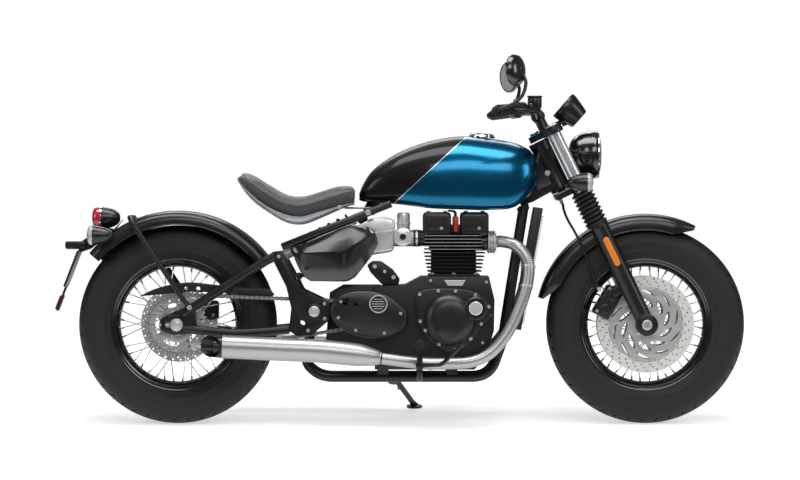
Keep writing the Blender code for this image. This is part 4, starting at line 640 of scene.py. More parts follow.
def make_metals():
    """Aluminium, stainless, chrome, zinc and bare steel."""
    # Machined aluminium: bright with fine turning marks
    finish("machined_aluminium", "#c6c8ca", 0.32, 0.5, (1.2, 0.01, (1.0, 6.0, 1.0)), (0.22, 0.36, 25.0))
    # Bare cast aluminium: matt, grey and a little rough
    finish("cast_aluminium", "#a3a5a6", 0.45, 0.5, (1.6, 0.08, EVEN, 5.0),
           colours=("#999b9d", "#adafb0", 30.0))
    # Pressed aluminium band of the seat pan: satin with long rubbing marks
    finish("satin_aluminium", "#a6a9ac", 0.36, 0.6, (2.2, 0.008, (0.15, 1.0, 1.0)))
    # Brushed stainless tube: streaks round the pipe and a slight warm tint
    finish("brushed_stainless", "#a2a4a4", 0.36, 0.8, patches=(0.33, 0.39, 1.2, (0.06, 1.0, 1.0)),
           colours=("#9b9c9b", "#aaabaa", 14.0, (0.12, 1.0, 1.0)))
    # Hard-chromed fork tubes: ground bright, a little softer than plating
    finish("hard_chromed_tube", "#cfd1d2", 0.17, 0.7)
    finish("chromed_steel", "#d2d3d5", 0.06, 1.0)
    # Zinc-plated steel fasteners: pale and slightly cloudy
    finish("zinc_plated_steel", "#b7b9bb", 0.32, 0.5, patches=(0.25, 0.42, 6.0))
    # Stainless spoke wire: drawn, bright
    finish("drawn_spoke_wire", "#c4c6c8", 0.24, 0.6)
    # Ground brake disc: fine marks that dull the steel
    finish("ground_disc_steel", "#d6d6d2", 0.42, 0.45, patches=(0.36, 0.48, 5.0))
    # Anodised grey disc carrier: even satin metal
    finish("anodised_carrier", "#a9aaa8", 0.42, 0.5, (1.5, 0.01))
    # Oiled roller chain and sprocket: dark film over steel
    finish("oiled_chain_steel", "#8a8780", 0.38, 0.6, colours=("#75726b", "#a5a29b", 9.0))
    finish("sprocket_steel", "#aaacad", 0.36, 0.7, patches=(0.28, 0.42, 12.0))


def make_soft_materials():
    """Rubber, plastic, vinyl and thread."""
    # Vulcanised tyre rubber: matt charcoal with dust in its pores
    finish("tyre_rubber", "#141414", 0.62, grain=(2.0, 0.06), colours=("#111112", "#191919", 40.0),
           Specular_IOR_Level=0.35)
    # Moulded rubber of grips, gaiters and hoses: softer and darker
    finish("moulded_rubber", "#0e0e0f", 0.55, grain=(2.0, 0.05), Specular_IOR_Level=0.35)
    # Moulded black plastic: fine spark-eroded grain
    finish("moulded_black_plastic", "#0f0f10", 0.42, grain=(1.2, 0.04), Specular_IOR_Level=0.4)
    # Grey-black vinyl seat cover: leather grain of 2 mm cells, soft sheen
    tree, shader = finish("grained_vinyl", "#36373a", 0.50, Sheen_Weight=0.15, Sheen_Roughness=0.5)
    cells = add(tree, "ShaderNodeTexVoronoi", {"feature": "DISTANCE_TO_EDGE"},
                {"Vector": object_place(tree)}, Scale=420.0)
    bump = add(tree, "ShaderNodeBump", (), {"Height": cells.outputs["Distance"]}, Distance=0.0006,
               Strength=0.5)
    tree.links.new(bump.outputs["Normal"], shader.inputs["Normal"])
    # Sewing thread, waxed and twisted
    finish("seat_thread", "#55565a", 0.6)
    # Red moulded plastic of the plug cap and the stop switch
    finish("red_plastic", "#8e1a20", 0.38)


def make_lamp_materials():
    """Glass, lenses, reflectors and the printed dial."""
    finish("lamp_glass", "#f4f8fb", 0.03, Transmission_Weight=0.92, IOR=1.50)
    finish("clear_lens", "#c9cdd0", 0.10, Transmission_Weight=0.35, IOR=1.49, Coat_Weight=0.6)
    finish("red_lens", "#b3122f", 0.12, Coat_Weight=0.8, Coat_Roughness=0.05)
    _, shader = finish("amber_reflector", "#d9771e", 0.22, Coat_Weight=0.8, Coat_Roughness=0.05)
    shader.inputs["Base Color"].default_value = (*bpy.context.scene.bobber_paint.reflector_amber, 1.0)
    finish("red_reflector", "#8f1220", 0.20, Coat_Weight=0.8, Coat_Roughness=0.05)
    # Vapour-coated lamp bowl and silvered mirror glass
    finish("lamp_bowl", "#dcdee0", 0.16, 1.0)
    finish("silvered_glass", "#c6ccd0", 0.10, 0.6)
    # Printed dial: off-white on black
    finish("dial_black", "#101113", 0.5)
    finish("dial_print", "#e8e8e4", 0.5)


def make_materials():
    """Every material, in the order of their groups above."""
    make_coatings()
    make_metals()
    make_soft_materials()
    make_lamp_materials()


def make_tank_paint():
    """Metallic blue lacquer ahead of a slanting line and satin black behind it."""
    tree, shader = new_material("two_tone_tank_lacquer", "#005a88", 0.25, 0.92, Coat_Weight=0.30,
                                Coat_Roughness=0.08)
    front, rear = Vector((0.178, 0.0, 0.922)), Vector((-0.056, 0.0, 0.706))
    across = Vector((front.z - rear.z, 0.0, -(front.x - rear.x))).normalized()
    across_row = (PLACE.to_3x3() @ across)
    offset = across_row.dot(PLACE @ rear)
    place = add(tree, "ShaderNodeTexCoord")
    dot = add(tree, "ShaderNodeVectorMath", {"operation": "DOT_PRODUCT"})
    tree.links.new(place.outputs["Object"], dot.inputs[0])
    dot.inputs[1].default_value = across_row
    away = add(tree, "ShaderNodeMath", {"operation": "SUBTRACT"})
    tree.links.new(dot.outputs["Value"], away.inputs[0])
    away.inputs[1].default_value = offset
    ahead = add(tree, "ShaderNodeMath", {"operation": "GREATER_THAN"})
    tree.links.new(away.outputs["Value"], ahead.inputs[0])
    ahead.inputs[1].default_value = 0.0
    distance = add(tree, "ShaderNodeMath", {"operation": "ABSOLUTE"})
    tree.links.new(away.outputs["Value"], distance.inputs[0])
    line = add(tree, "ShaderNodeMath", {"operation": "LESS_THAN"})
    tree.links.new(distance.outputs["Value"], line.inputs[0])
    line.inputs[1].default_value = 0.0011
    flakes = add(tree, "ShaderNodeTexVoronoi", (), {"Vector": object_place(tree)}, Scale=900.0)
    blue = add(tree, "ShaderNodeMix", {"data_type": "RGBA"})
    blue.inputs[6].default_value = linear("#004564")
    blue.inputs[7].default_value = (*bpy.context.scene.bobber_paint.tank_blue, 1.0)
    tree.links.new(flakes.outputs["Color"], blue.inputs[0])
    body = add(tree, "ShaderNodeMix", {"data_type": "RGBA"})
    body.inputs[6].default_value = linear("#1c1c1d")
    tree.links.new(ahead.outputs["Value"], body.inputs[0])
    tree.links.new(blue.outputs[2], body.inputs[7])
    full = add(tree, "ShaderNodeMix", {"data_type": "RGBA"})
    full.inputs[7].default_value = linear("#d4d8da")
    tree.links.new(line.outputs["Value"], full.inputs[0])
    tree.links.new(body.outputs[2], full.inputs[6])
    tree.links.new(full.outputs[2], shader.inputs["Base Color"])
    gloss = add(tree, "ShaderNodeMapRange", (), {"Value": ahead.outputs["Value"]}, To_Min=0.42, To_Max=0.25)
    tree.links.new(gloss.outputs["Result"], shader.inputs["Roughness"])


# Wheels


def make_tyre(name, centre, half, body, grooves):
    """Tyre with circumferential and slanting tread grooves and raised sidewall rings."""
    side = [(TYRE_RADIUS - 0.0032, 0.024)]
    side += [(TYRE_RADIUS - drop, half * share) for drop, share in (
        (0.0060, 0.52), (0.012, 0.68), (0.0175, 0.79), (0.023, 0.86), (0.030, 0.915), (0.040, 0.965),
        (0.052, 0.995), (0.0535, 1.0), (0.0555, 1.0), (0.057, 0.992), (0.068, 0.985), (0.080, 0.950),
        (0.0815, 0.958), (0.0835, 0.952), (0.085, 0.925), (0.094, 0.870))]
    side += [(FLANGE_RADIUS, 0.0535), (RIM_SEAT, 0.0490)]
    tread = []
    for y in grooves:
        tread += [(TYRE_RADIUS - 0.0004, y - 0.0028), (TYRE_RADIUS - 0.0045, y - 0.0020),
                  (TYRE_RADIUS - 0.0045, y + 0.0020), (TYRE_RADIUS - 0.0004, y + 0.0028)]
    middle = sorted(tread, key=lambda point: point[1])
    profile = [(r, -y) for r, y in reversed(side)] + middle + side
    tyre = lathe(profile, centre, (0, 1, 0), 144, ring=True)
    sipes = []
    count = 44
    for index in range(count):
        for hand in (-1, 1):
            angle = 2 * math.pi * (index + (0.25 if hand > 0 else -0.25)) / count
            out = Vector((math.cos(angle), 0.0, math.sin(angle)))
            along = Vector((-out.z, 0.0, out.x))
            y = hand * half * 0.60
            spot = Vector(centre) + out * (TYRE_RADIUS - 0.0081) + Vector((0.0, y, 0.0))
            slant = (along * 0.5 + Vector((0.0, hand * 0.75, 0.0)) - out * 0.33).normalized()
            width = slant.cross(out).normalized()
            turn = Matrix((slant, width, slant.cross(width))).transposed().to_4x4()
            sipes.append(box((-0.013, -0.0022, -0.0040), (0.013, 0.0022, 0.0040),
                             matrix=Matrix.Translation(spot) @ turn))
    tyre = painted(cut(tyre, joined(*sipes)), "tyre_rubber")
    piece(name + "_dressed", body, [tyre], (name,), 30.0)


def wire_rim(centre):
    """Deep rim with rolled flanges."""
    side = [(RIM_INNER, 0.012), (RIM_INNER + 0.0015, 0.022), (RIM_INNER + 0.006, 0.030),
            (RIM_INNER + 0.009, 0.042), (RIM_INNER + 0.014, 0.0465), (FLANGE_RADIUS - 0.004, 0.0488),
            (FLANGE_RADIUS - 0.0008, 0.0505), (FLANGE_RADIUS + 0.0004, 0.0528),
            (FLANGE_RADIUS - 0.0016, 0.0545), (FLANGE_RADIUS - 0.005, 0.0537), (RIM_SEAT - 0.0008, 0.0487)]
    profile = [(r, -y) for r, y in side] + [(r, y) for r, y in reversed(side)]
    return painted(lathe(profile, centre, (0, 1, 0), 144, ring=True), "gloss_black_enamel")


def wire_hub(centre, half, radius, flange_y):
    """Waisted hub with a flange near each end for the spokes' heads."""
    waist = radius * 0.58
    side = [(0.0095, half), (waist, half), (waist + 0.002, half - 0.002), (waist + 0.002, flange_y + 0.0045),
            (radius - 0.001, flange_y + 0.0035), (radius, flange_y + 0.002), (radius, flange_y - 0.002),
            (radius - 0.001, flange_y - 0.0035), (waist + 0.003, flange_y - 0.006),
            (waist - 0.001, flange_y - 0.012)]
    profile = side + [(r, -along) for r, along in reversed(side)]
    return painted(lathe(profile, centre, (0, 1, 0), 48, ring=True), "satin_powder_coat")


def wire_spokes(centre, hub_radius, flange_y):
    """Crossed spokes with bent heads, and a nipple on each at the rim."""
    lines, nipples = [], []
    paint = bpy.context.scene.bobber_paint
    count = paint.spokes // 4 * 4
    low, high = hub_radius - 0.004, RIM_INNER + 0.002
    for index in range(count):
        hand = 1 if index % 2 else -1
        lean = 1 if (index // 2) % 2 else -1
        at_rim = 2 * math.pi * (index + 0.5) / count
        at_hub = at_rim + lean * math.radians(58.0)
        start_y = hand * (flange_y + (0.0030 if lean > 0 else -0.0030))
        start = centre + Vector((low * math.cos(at_hub), start_y, low * math.sin(at_hub)))
        end = centre + Vector((high * math.cos(at_rim), hand * 0.007, high * math.sin(at_rim)))
        inner = Vector((start.x, hand * flange_y, start.z))
        lines.append([inner + (inner - start) * 0.4, start, end])
        nipples.append((end - (end - start).normalized() * 0.014, end - start, 0.0))
    nipple = lathe([(0.0, 0.0), (0.0024, 0.0), (0.0030, 0.001), (0.0030, 0.010), (0.0042, 0.012),
                    (0.0042, 0.016), (0.0, 0.016)], (0, 0, 0), (0, 0, 1), 8)
    return [strung(lines, paint.spoke_radius, "drawn_spoke_wire", 8),
            repeated(nipple, nipples, "chromed_steel")]


def make_wire_wheel(name, centre, hub_half, hub_radius, body):
    """Deep rim, flanged hub, crossed spokes and their nipples."""
    centre = Vector(centre)
    flange_y = hub_half - 0.016
    piece(name + "_dressed", body, [
        wire_rim(centre), wire_hub(centre, hub_half, hub_radius, flange_y),
        *wire_spokes(centre, hub_radius, flange_y)], (name,))


def swept_slot(centre, low, high, start, sweep, half_width):
    """A slot with rounded ends that runs out from one radius to another while it turns by its sweep."""
    sides = ([], [])
    for step in range(13):
        part = step / 12
        reach = low + (high - low) * part
        spread = half_width * math.sqrt(max(math.sin(math.pi * part), 0.0)) / reach
        for side, bank in zip((1, -1), sides):
            if side > 0 or 0 < step < 12:
                angle = start + sweep * part + side * spread
                bank.append((centre.x + reach * math.cos(angle), centre.z + reach * math.sin(angle)))
    return sides[0] + sides[1][::-1]


def window(centre, inner, windows, index):
    """One of a few wide windows between a carrier's arms."""
    middle = 2 * math.pi * (index + 0.5) / windows
    reach = math.pi / windows - math.radians(8.0)
    low, high = 0.046, inner - 0.014
    loop = [(high, -reach * 0.85), (high + 0.002, -reach * 0.4), (high + 0.003, 0.0),
            (high + 0.002, reach * 0.4), (high, reach * 0.85), (high * 0.88, reach * 0.9),
            (high * 0.70, reach * 0.55), (low + 0.004, reach * 0.22), (low, 0.0),
            (low + 0.004, -reach * 0.22), (high * 0.70, -reach * 0.55), (high * 0.88, -reach * 0.9)]
    closed = [Vector((r * math.cos(middle + a), r * math.sin(middle + a))) for r, a in loop]
    bent = smooth([closed[-1], *closed, closed[0], closed[1]], 3)[3:-6]
    return [(centre.x + p.x, centre.z + p.y) for p in bent]


def around(centre, radius, count, start=0.0):
    """Points (x, z) at even steps round a wheel's centre."""
    return circle((centre.x, centre.z), radius, count, start)


def brake_ring(centre, y, radius, inner):
    """Ring with three rows of small holes, each row a third of a step on."""
    drilled = [around(centre, inner, 96)]
    for row, part in enumerate((0.22, 0.50, 0.78)):
        reach = inner + (radius - inner) * part
        drilled += [circle(spot, 0.0030, 8) for spot in around(centre, reach, 30, 2 * math.pi * row / 90)]
    half = DISC_THICKNESS / 2
    return painted(plate(around(centre, radius, 96), y - half, y + half, drilled), "ground_disc_steel")


def disc_carrier(centre, y, inner, windows):
    """Carrier with two rings of swept slots, or with a few wide windows."""
    holes = [around(centre, 0.0185, 40)]
    if windows > 6:
        for index in range(windows):
            start = 2 * math.pi * index / windows
            holes.append(swept_slot(centre, 0.058, 0.085, start, math.radians(28.0), 0.0125))
            holes.append(swept_slot(centre, 0.093, 0.112, start, math.radians(25.0), 0.0085))
    else:
        holes += [window(centre, inner, windows, index) for index in range(windows)]
    half = DISC_THICKNESS / 2 - 0.0004
    return painted(plate(around(centre, inner - 0.0012, 96), y - half, y + half, holes, 0.0006),
                   "anodised_carrier")


def make_disc(name, centre, y, radius, ring_width, windows, body, hand):
    """Drilled brake ring on a carrier, slotted or with a few windows, joined by floating buttons."""
    inner = radius - ring_width
    half = DISC_THICKNESS / 2
    buttons = [(Vector((x, y + hand * half, z)), (0, hand, 0), 0.0)
               for x, z in around(centre, inner - 0.0005, 10)]
    bolts = [(Vector((x, y + hand * (half - 0.0004), z)), (0, hand, 0), 0.0)
             for x, z in around(centre, 0.031, 5, 0.3)]
    rivet = lathe([(0.0, 0.0), (0.0072, 0.0), (0.0072, 0.0012), (0.0055, 0.0018), (0.0, 0.0018)],
                  (0, 0, 0), (0, 0, 1), 16)
    piece(name + "_dressed", body, [
        brake_ring(centre, y, radius, inner), disc_carrier(centre, y, inner, windows),
        repeated(rivet, buttons, "zinc_plated_steel"),
        repeated(socket_bolt(0.0048, 0.0026), bolts, "zinc_plated_steel")], (name,), 30.0)


def pitch_radius(teeth):
    """Radius of the circle on which a sprocket carries the chain's pins."""
    return CHAIN_PITCH / (2 * math.sin(math.pi / teeth))


def chain_pins():
    """Every pin of the chain with the direction that the chain runs in there."""
    rear, front = Vector((REAR_AXLE.x, REAR_AXLE.z)), Vector(FRONT_SPROCKET)
    big, small = pitch_radius(REAR_TEETH), pitch_radius(FRONT_TEETH)
    span = front - rear
    slope = math.atan2(span.y, span.x)
    spread = math.acos((big - small) / span.length)
    run = math.sqrt(span.length ** 2 - (big - small) ** 2)
    legs = [run, 2 * spread * small, run, 2 * (math.pi - spread) * big]
    length = sum(legs)
    count = 2 * round(length / CHAIN_PITCH / 2)
    pins = []
    for index in range(count):
        travel = length * index / count
        upper, lower = slope + spread, slope - spread
        if travel < legs[0]:
            out = Vector((math.cos(upper), math.sin(upper)))
            along = Vector((out.y, -out.x))
            pins.append(rear + out * big + along * travel)
        elif travel < legs[0] + legs[1]:
            angle = upper - (travel - legs[0]) / small
            pins.append(front + Vector((math.cos(angle), math.sin(angle))) * small)
        elif travel < length - legs[3]:
            out = Vector((math.cos(lower), math.sin(lower)))
            along = Vector((out.y, -out.x))
            pins.append(front + out * small + along * (travel - legs[0] - legs[1]))
        else:
            angle = lower - (travel - legs[0] - legs[1] - legs[2]) / big
            pins.append(rear + Vector((math.cos(angle), math.sin(angle))) * big)
    return [Vector((pin.x, CHAIN_Y, pin.y)) for pin in pins]


def link_plates(y_inner, thickness):
    """Two waisted side plates with their pin ends, lying along X about the link's middle."""
    half, waist, end = CHAIN_PITCH / 2, 0.0046, 0.0068
    outline = []
    for centre, first in ((half, -90.0), (-half, 90.0)):
        for step in range(7):
            angle = math.radians(first + 30.0 * step)
            outline.append((centre + end * math.cos(angle), end * math.sin(angle)))
        outline.append((0.0, waist if centre > 0 else -waist))
    plates = [plate(outline, hand * y_inner - (thickness if hand < 0 else 0.0),
                    hand * y_inner + (thickness if hand > 0 else 0.0)) for hand in (-1, 1)]
    return joined(*plates)


def make_chain():
    """Roller chain: outer and inner links in turn, with rollers and pin heads."""
    pins = chain_pins()
    outer, inner, rollers, heads = [], [], [], []
    across = Vector((0.0, 1.0, 0.0))
    for index, pin in enumerate(pins):
        after = pins[(index + 1) % len(pins)]
        middle, along = (pin + after) / 2, (after - pin).normalized()
        out = along.cross(across)
        turn = Matrix((along, across, out)).transposed()
        (outer if index % 2 else inner).append((middle, turn))
        rollers.append((pin - across * 0.0045, across, 0.0))
        heads.append((pin - across * 0.0082, across, 0.0))
    made = []
    for placings, y_inner in ((outer, 0.0060), (inner, 0.0042)):
        pattern = link_plates(y_inner, 0.0016)
        bm = bmesh.new()
        for middle, turn in placings:
            mesh = pattern.data.copy()
            mesh.transform(Matrix.Translation(middle) @ turn.to_4x4())
            bm.from_mesh(mesh)
            bpy.data.meshes.remove(mesh)
        bpy.data.objects.remove(pattern, do_unlink=True)
        made.append(painted(from_bmesh(bm), "oiled_chain_steel"))
    roller = rod((0, 0, 0), (0, 0, 0.009), 0.0050, 14)
    head = rod((0, 0, 0), (0, 0, 0.0164), 0.0026, 10)
    made.append(repeated(roller, rollers, "oiled_chain_steel"))
    made.append(repeated(head, heads, "zinc_plated_steel"))
    piece("chain_links", "chassis", made, ("chain",))


def make_rear_sprocket():
    """Toothed ring with lightening holes, bolted to the hub's carrier."""
    tip, root = pitch_radius(REAR_TEETH) + 0.0015, pitch_radius(REAR_TEETH) - 0.0062
    centre = (REAR_AXLE.x, REAR_AXLE.z)
    outline = []
    for tooth in range(REAR_TEETH):
        for part, radius in ((0.5 - 0.14, tip - 0.0006), (0.5, tip), (0.5 + 0.14, tip - 0.0006),
                             (0.5 + 0.30, root + 0.0020), (1.0, root), (1.2, root + 0.0020)):
            angle = 2 * math.pi * (tooth + part) / REAR_TEETH
            outline.append((centre[0] + radius * math.cos(angle), centre[1] + radius * math.sin(angle)))
    holes = [circle(centre, 0.030, 40)]
    for index in range(5):
        spread = [2 * math.pi * (index + 0.16 + 0.68 * step / 8) / 5 for step in range(9)]
        outer = [(0.0690, angle) for angle in spread]
        inner = [(0.0570, angle) for angle in reversed(spread)]
        holes.append([(centre[0] + reach * math.cos(angle), centre[1] + reach * math.sin(angle))
                      for reach, angle in outer + inner])
    holes += [circle((centre[0] + 0.079 * math.cos(2 * math.pi * (i + 0.5) / 15),
                      centre[1] + 0.079 * math.sin(2 * math.pi * (i + 0.5) / 15)), 0.0036, 10)
              for i in range(15)]
    ring = painted(plate(outline, CHAIN_Y - 0.0028, CHAIN_Y + 0.0028, holes, 0.0004), "sprocket_steel")
    carrier = painted(lathe([(0.0165, 0.073), (0.047, 0.073), (0.047, 0.0875), (0.032, 0.0945),
                             (0.0165, 0.0945)], REAR_AXLE, (0, -1, 0), 48, ring=True), "cast_aluminium")
    nuts = [(Vector((centre[0] + 0.040 * math.cos(2 * math.pi * (i + 0.5) / 5), CHAIN_Y - 0.0028,
                     centre[1] + 0.040 * math.sin(2 * math.pi * (i + 0.5) / 5))), (0, -1, 0), 0.2)
            for i in range(5)]
    bolted = repeated(hex_bolt(0.0065, 0.0060), nuts, "zinc_plated_steel")
    piece("rear_sprocket_ring", "rear_wheel", [ring, carrier, bolted], ("rear_sprocket",))


# Fork and handlebar


def on_leg(y, profile, sides):
    """A turned form round a fork leg's line."""
    return lathe(profile, (FORK_OFFSET, y, 0.0), (0, 0, 1), sides)


def across_leg(y, side, near, far, radius, sides, chamfer=0.0):
    """A rod across a fork leg at the axle, from near to far outside the leg's own line."""
    return rod((FORK_OFFSET, y + side * near, 0.0), (FORK_OFFSET, y + side * far, 0.0), radius, sides,
               chamfer=chamfer)


def fork_tube(y):
    """Chromed tube and its hexagon cap."""
    top = TOP_YOKE_Z + YOKE_THICKNESS / 2 + 0.004
    foot = GAITER_TOP - 0.01
    tube = on_leg(y, [(0.0, top), (TUBE_RADIUS - 0.004, top), (TUBE_RADIUS - 0.0005, top - 0.002),
                      (TUBE_RADIUS - 0.0005, foot), (0.0, foot)], 40)
    cap = on_leg(y, [(0.0, top + 0.001), (0.011, top + 0.001), (0.0125, top - 0.0005),
                     (0.0125, top - 0.004), (0.0, top - 0.004)], 6)
    return [painted(tube, "hard_chromed_tube"), painted(cap, "machined_aluminium")]


def gaiter(y):
    """Rubber gaiter with eight round folds."""
    count = 8
    fold = (GAITER_TOP - SLIDER_TOP) / count
    folds = [(0.0, GAITER_TOP + 0.004), (TUBE_RADIUS + 0.003, GAITER_TOP + 0.004),
             (TUBE_RADIUS + 0.0036, GAITER_TOP + 0.001)]
    for index in range(count):
        upper = GAITER_TOP - fold * index
        folds.append((GAITER_RADIUS - 0.0085, upper - 0.0008))
        folds += [(GAITER_RADIUS - inward, upper - fold * share) for inward, share in (
            (0.0035, 0.22), (0.0006, 0.40), (0.0, 0.5), (0.0006, 0.60), (0.0035, 0.78))]
    folds += [(SLIDER_RADIUS + 0.0012, SLIDER_TOP + 0.002), (SLIDER_RADIUS + 0.0014, SLIDER_TOP - 0.004),
              (0.0, SLIDER_TOP - 0.004)]
    return painted(on_leg(y, folds, 48), "moulded_rubber")


def slider(y, disc_y):
    """Cast slider with the axle's lug and the arm that carries the caliper."""
    lower = on_leg(y, [
        (0.0, SLIDER_TOP), (SLIDER_RADIUS - 0.001, SLIDER_TOP), (SLIDER_RADIUS + 0.0008, SLIDER_TOP - 0.004),
        (SLIDER_RADIUS + 0.0008, SLIDER_TOP - 0.012), (SLIDER_RADIUS - 0.0005, SLIDER_TOP - 0.015),
        (SLIDER_RADIUS - 0.0015, 0.10), (SLIDER_RADIUS - 0.002, 0.030), (SLIDER_RADIUS - 0.004, -0.022),
        (SLIDER_RADIUS - 0.009, -0.031), (0.012, -0.0335), (0.0, -0.0335)], 48)
    half = SLIDER_RADIUS * 0.998
    lug = across_leg(y, 1, -half, half, 0.0355, 40, 0.004)
    near, far = sorted((disc_y + math.copysign(0.009, disc_y), y))
    arm = box((FORK_OFFSET - 0.056, near, 0.124), (FORK_OFFSET, far, 0.152), 0.004)
    return painted(union(lower, lug, arm), "satin_powder_coat")


def front_caliper(side, disc_y):
    """Two-piston block over the disc, and the places of its pins."""
    turn = Matrix.Translation((FORK_OFFSET, 0.0, 0.0)) @ Matrix.Rotation(-math.radians(124.0), 4, "Y")
    block = box((0.112, disc_y - 0.0218, -0.052), (0.168, disc_y + 0.0218, 0.052), 0.008, turn, 4)
    pistons = [rod(turn @ Vector((0.138, disc_y + side * 0.0150, z)),
                   turn @ Vector((0.138, disc_y + side * 0.0232, z)), 0.0175, 32, chamfer=0.002)
               for z in (-0.024, 0.024)]
    groove = box((0.040, disc_y - 0.0065, -0.12), (0.161, disc_y + 0.0065, 0.12), 0.0, turn)
    pins = [(turn @ Vector((0.158, disc_y + side * 0.0216, z)), turn.to_3x3() @ Vector((0, side, 0)), 0.0)
            for z in (-0.041, 0.041)]
    return painted(cut(union(block, *pistons), groove), "black_cast_engine"), pins


def leg_reflector(y, side):
    """Amber reflector with round ends on its backing."""
    top, foot, radius = 0.300, 0.220, 0.010
    middle = (top + foot) / 2
    turns = [math.pi * i / 12 for i in range(13)]
    outline = [(FORK_OFFSET + sign * radius * math.cos(a), z + sign * radius * math.sin(a))
               for sign, z in ((1, top), (-1, foot)) for a in turns]
    backing = [(FORK_OFFSET + (x - FORK_OFFSET) * 1.22, middle + (z - middle) * 1.05) for x, z in outline]
    base = y + side * (SLIDER_RADIUS - 0.0035)
    return [painted(plate(backing, *sorted((base, base + side * 0.0060)), bevel=0.001),
                    "moulded_black_plastic"),
            painted(plate(outline, *sorted((base, base + side * 0.0085)), bevel=0.0018), "amber_reflector")]


def make_fork_leg(side):
    """Chromed tube, folded gaiter, slider, axle clamp, caliper and side reflector."""
    y = side * LEG_SPACING
    disc_y = side * (FRONT_HUB_HALF + 0.003)
    members = [*fork_tube(y), gaiter(y), slider(y, disc_y)]
    caliper, pins = front_caliper(side, disc_y)
    spindle = across_leg(y, side, SLIDER_RADIUS - 0.001, SLIDER_RADIUS + 0.0066, 0.0165, 40, 0.0015)
    hollow = across_leg(y, side, SLIDER_RADIUS + 0.001, SLIDER_RADIUS + 0.02, 0.0095, 6)
    pinch = [(Vector((FORK_OFFSET - 0.0346, y + side * d, -0.012)), (-1, 0, 0), 0.0)
             for d in (-0.014, 0.014)]
    bolts = repeated(socket_bolt(0.0050, 0.0040), pins + pinch, "zinc_plated_steel")
    members += [caliper, painted(cut(spindle, hollow), "zinc_plated_steel"), bolts]
    members += leg_reflector(y, side)
    for member in members:
        in_steering(member)
    word = "left" if side > 0 else "right"
    piece("fork_leg_dressed_" + word, "steering", members, ("fork_leg_" + word,))


BAR_ROUTE = [Vector((0.406, 0.0, 0.985)), Vector((0.406, -0.110, 0.985)), Vector((0.398, -0.190, 1.002)),
             Vector((0.352, -0.262, 1.006)), Vector((0.269, -0.395, 0.997))]


def grip(at, inner, end, run):
    """Rubber grip with 22 ribs, and the plug in the bar's end."""
    profile = [(0.0, 0.0), (0.0165, 0.0), (0.0170, 0.0015)]
    for index in range(22):
        along = 0.004 + 0.005 * index
        profile += [(0.0170, along), (0.0170, along + 0.0030), (0.0158, along + 0.0034),
                    (0.0158, along + 0.0046)]
    profile += [(0.0170, 0.1150), (0.0165, 0.117), (0.0, 0.117)]
    return [painted(lathe(profile, at(end + run * 0.002), at(inner) - at(end), 32), "moulded_rubber"),
            painted(rod(at(end + run * 0.0022), at(end + run * 0.0010), 0.0125, 24), "satin_powder_coat")]


def hand_lever(at, pivot, run):
    """Curved lever with its perch and pivot screw."""
    upright = Vector((0.0, 0.0, 1.0))
    line = [pivot + Vector((-0.024, 0.0, -0.004)), pivot + Vector((0.010, 0.0, -0.003))]
    line += [pivot + run * along + Vector((x, 0.0, z)) for along, x, z in (
        (0.030, 0.028, -0.006), (0.080, 0.034, -0.008), (0.130, 0.030, -0.007), (0.155, 0.028, -0.006))]
    line = smooth(line, 4)
    scales = [1.0] * (len(line) - 2) + [1.15, 1.0]
    blade = bar([at(p) for p in line], 0.0052, 4, scales)
    perch = rod(at(pivot - upright * 0.012), at(pivot + upright * 0.008), 0.010, 24, chamfer=0.002)
    screw = rod(at(pivot + upright * 0.0075), at(pivot + upright * 0.0105), 0.0055, 6)
    return [*coated("satin_powder_coat", blade, perch), painted(screw, "zinc_plated_steel")]


def reservoir(place):
    """Brake fluid pot with its lid, sight glass and two screws."""
    upright = Vector((0.0, 0.0, 1.0))
    pot = rod(place - upright * 0.0235, place + upright * 0.0110, 0.0222, 48, chamfer=0.004)
    lid = rod(place + upright * 0.0105, place + upright * 0.0160, 0.0238, 48, chamfer=0.0015)
    sight = rod(place + Vector((-0.0215, 0, -0.005)), place + Vector((-0.0236, 0, -0.005)), 0.006, 20)
    screws = [(place + Vector((x, 0.0, 0.0156)), (0, 0, 1), 0.0) for x in (-0.016, 0.016)]
    return [painted(pot, "satin_powder_coat"), painted(lid, "moulded_black_plastic"),
            painted(sight, "clear_lens"), repeated(socket_bolt(0.0030, 0.0016), screws, "zinc_plated_steel")]


def make_handlebar():
    """Bent bar with ribbed grips, switch housings, levers and the brake fluid reservoir."""
    right = rounded(BAR_ROUTE, 0.06, 8)
    route = [Vector((p.x, -p.y, p.z)) for p in reversed(right[1:])] + right
    members = [painted(bar(route, 0.0125, 6), "satin_powder_coat")]
    inner, end = BAR_ROUTE[-2], BAR_ROUTE[-1]
    run = (end - inner).normalized()
    for side in (-1, 1):
        def at(point, hand=side):
            return Vector((point.x, -hand * point.y, point.z))
        members += grip(at, inner, end, run)
        switch = rod(at(end - run * 0.155), at(end - run * 0.1158), 0.021, 28, chamfer=0.003)
        members.append(painted(switch, "moulded_black_plastic"))
        members += hand_lever(at, end - run * 0.165 + Vector((0.020, 0.0, 0.004)), run)
    members += reservoir(end - run * 0.185 + Vector((0.022, 0.0, 0.022)))
    stop = end - run * 0.138
    stop_switch = box(stop + Vector((-0.022, -0.008, 0.014)), stop + Vector((-0.006, 0.008, 0.029)), 0.002)
    members.append(painted(stop_switch, "red_plastic"))
    piece("handlebar_dressed", "steering", members, ("handlebar",))


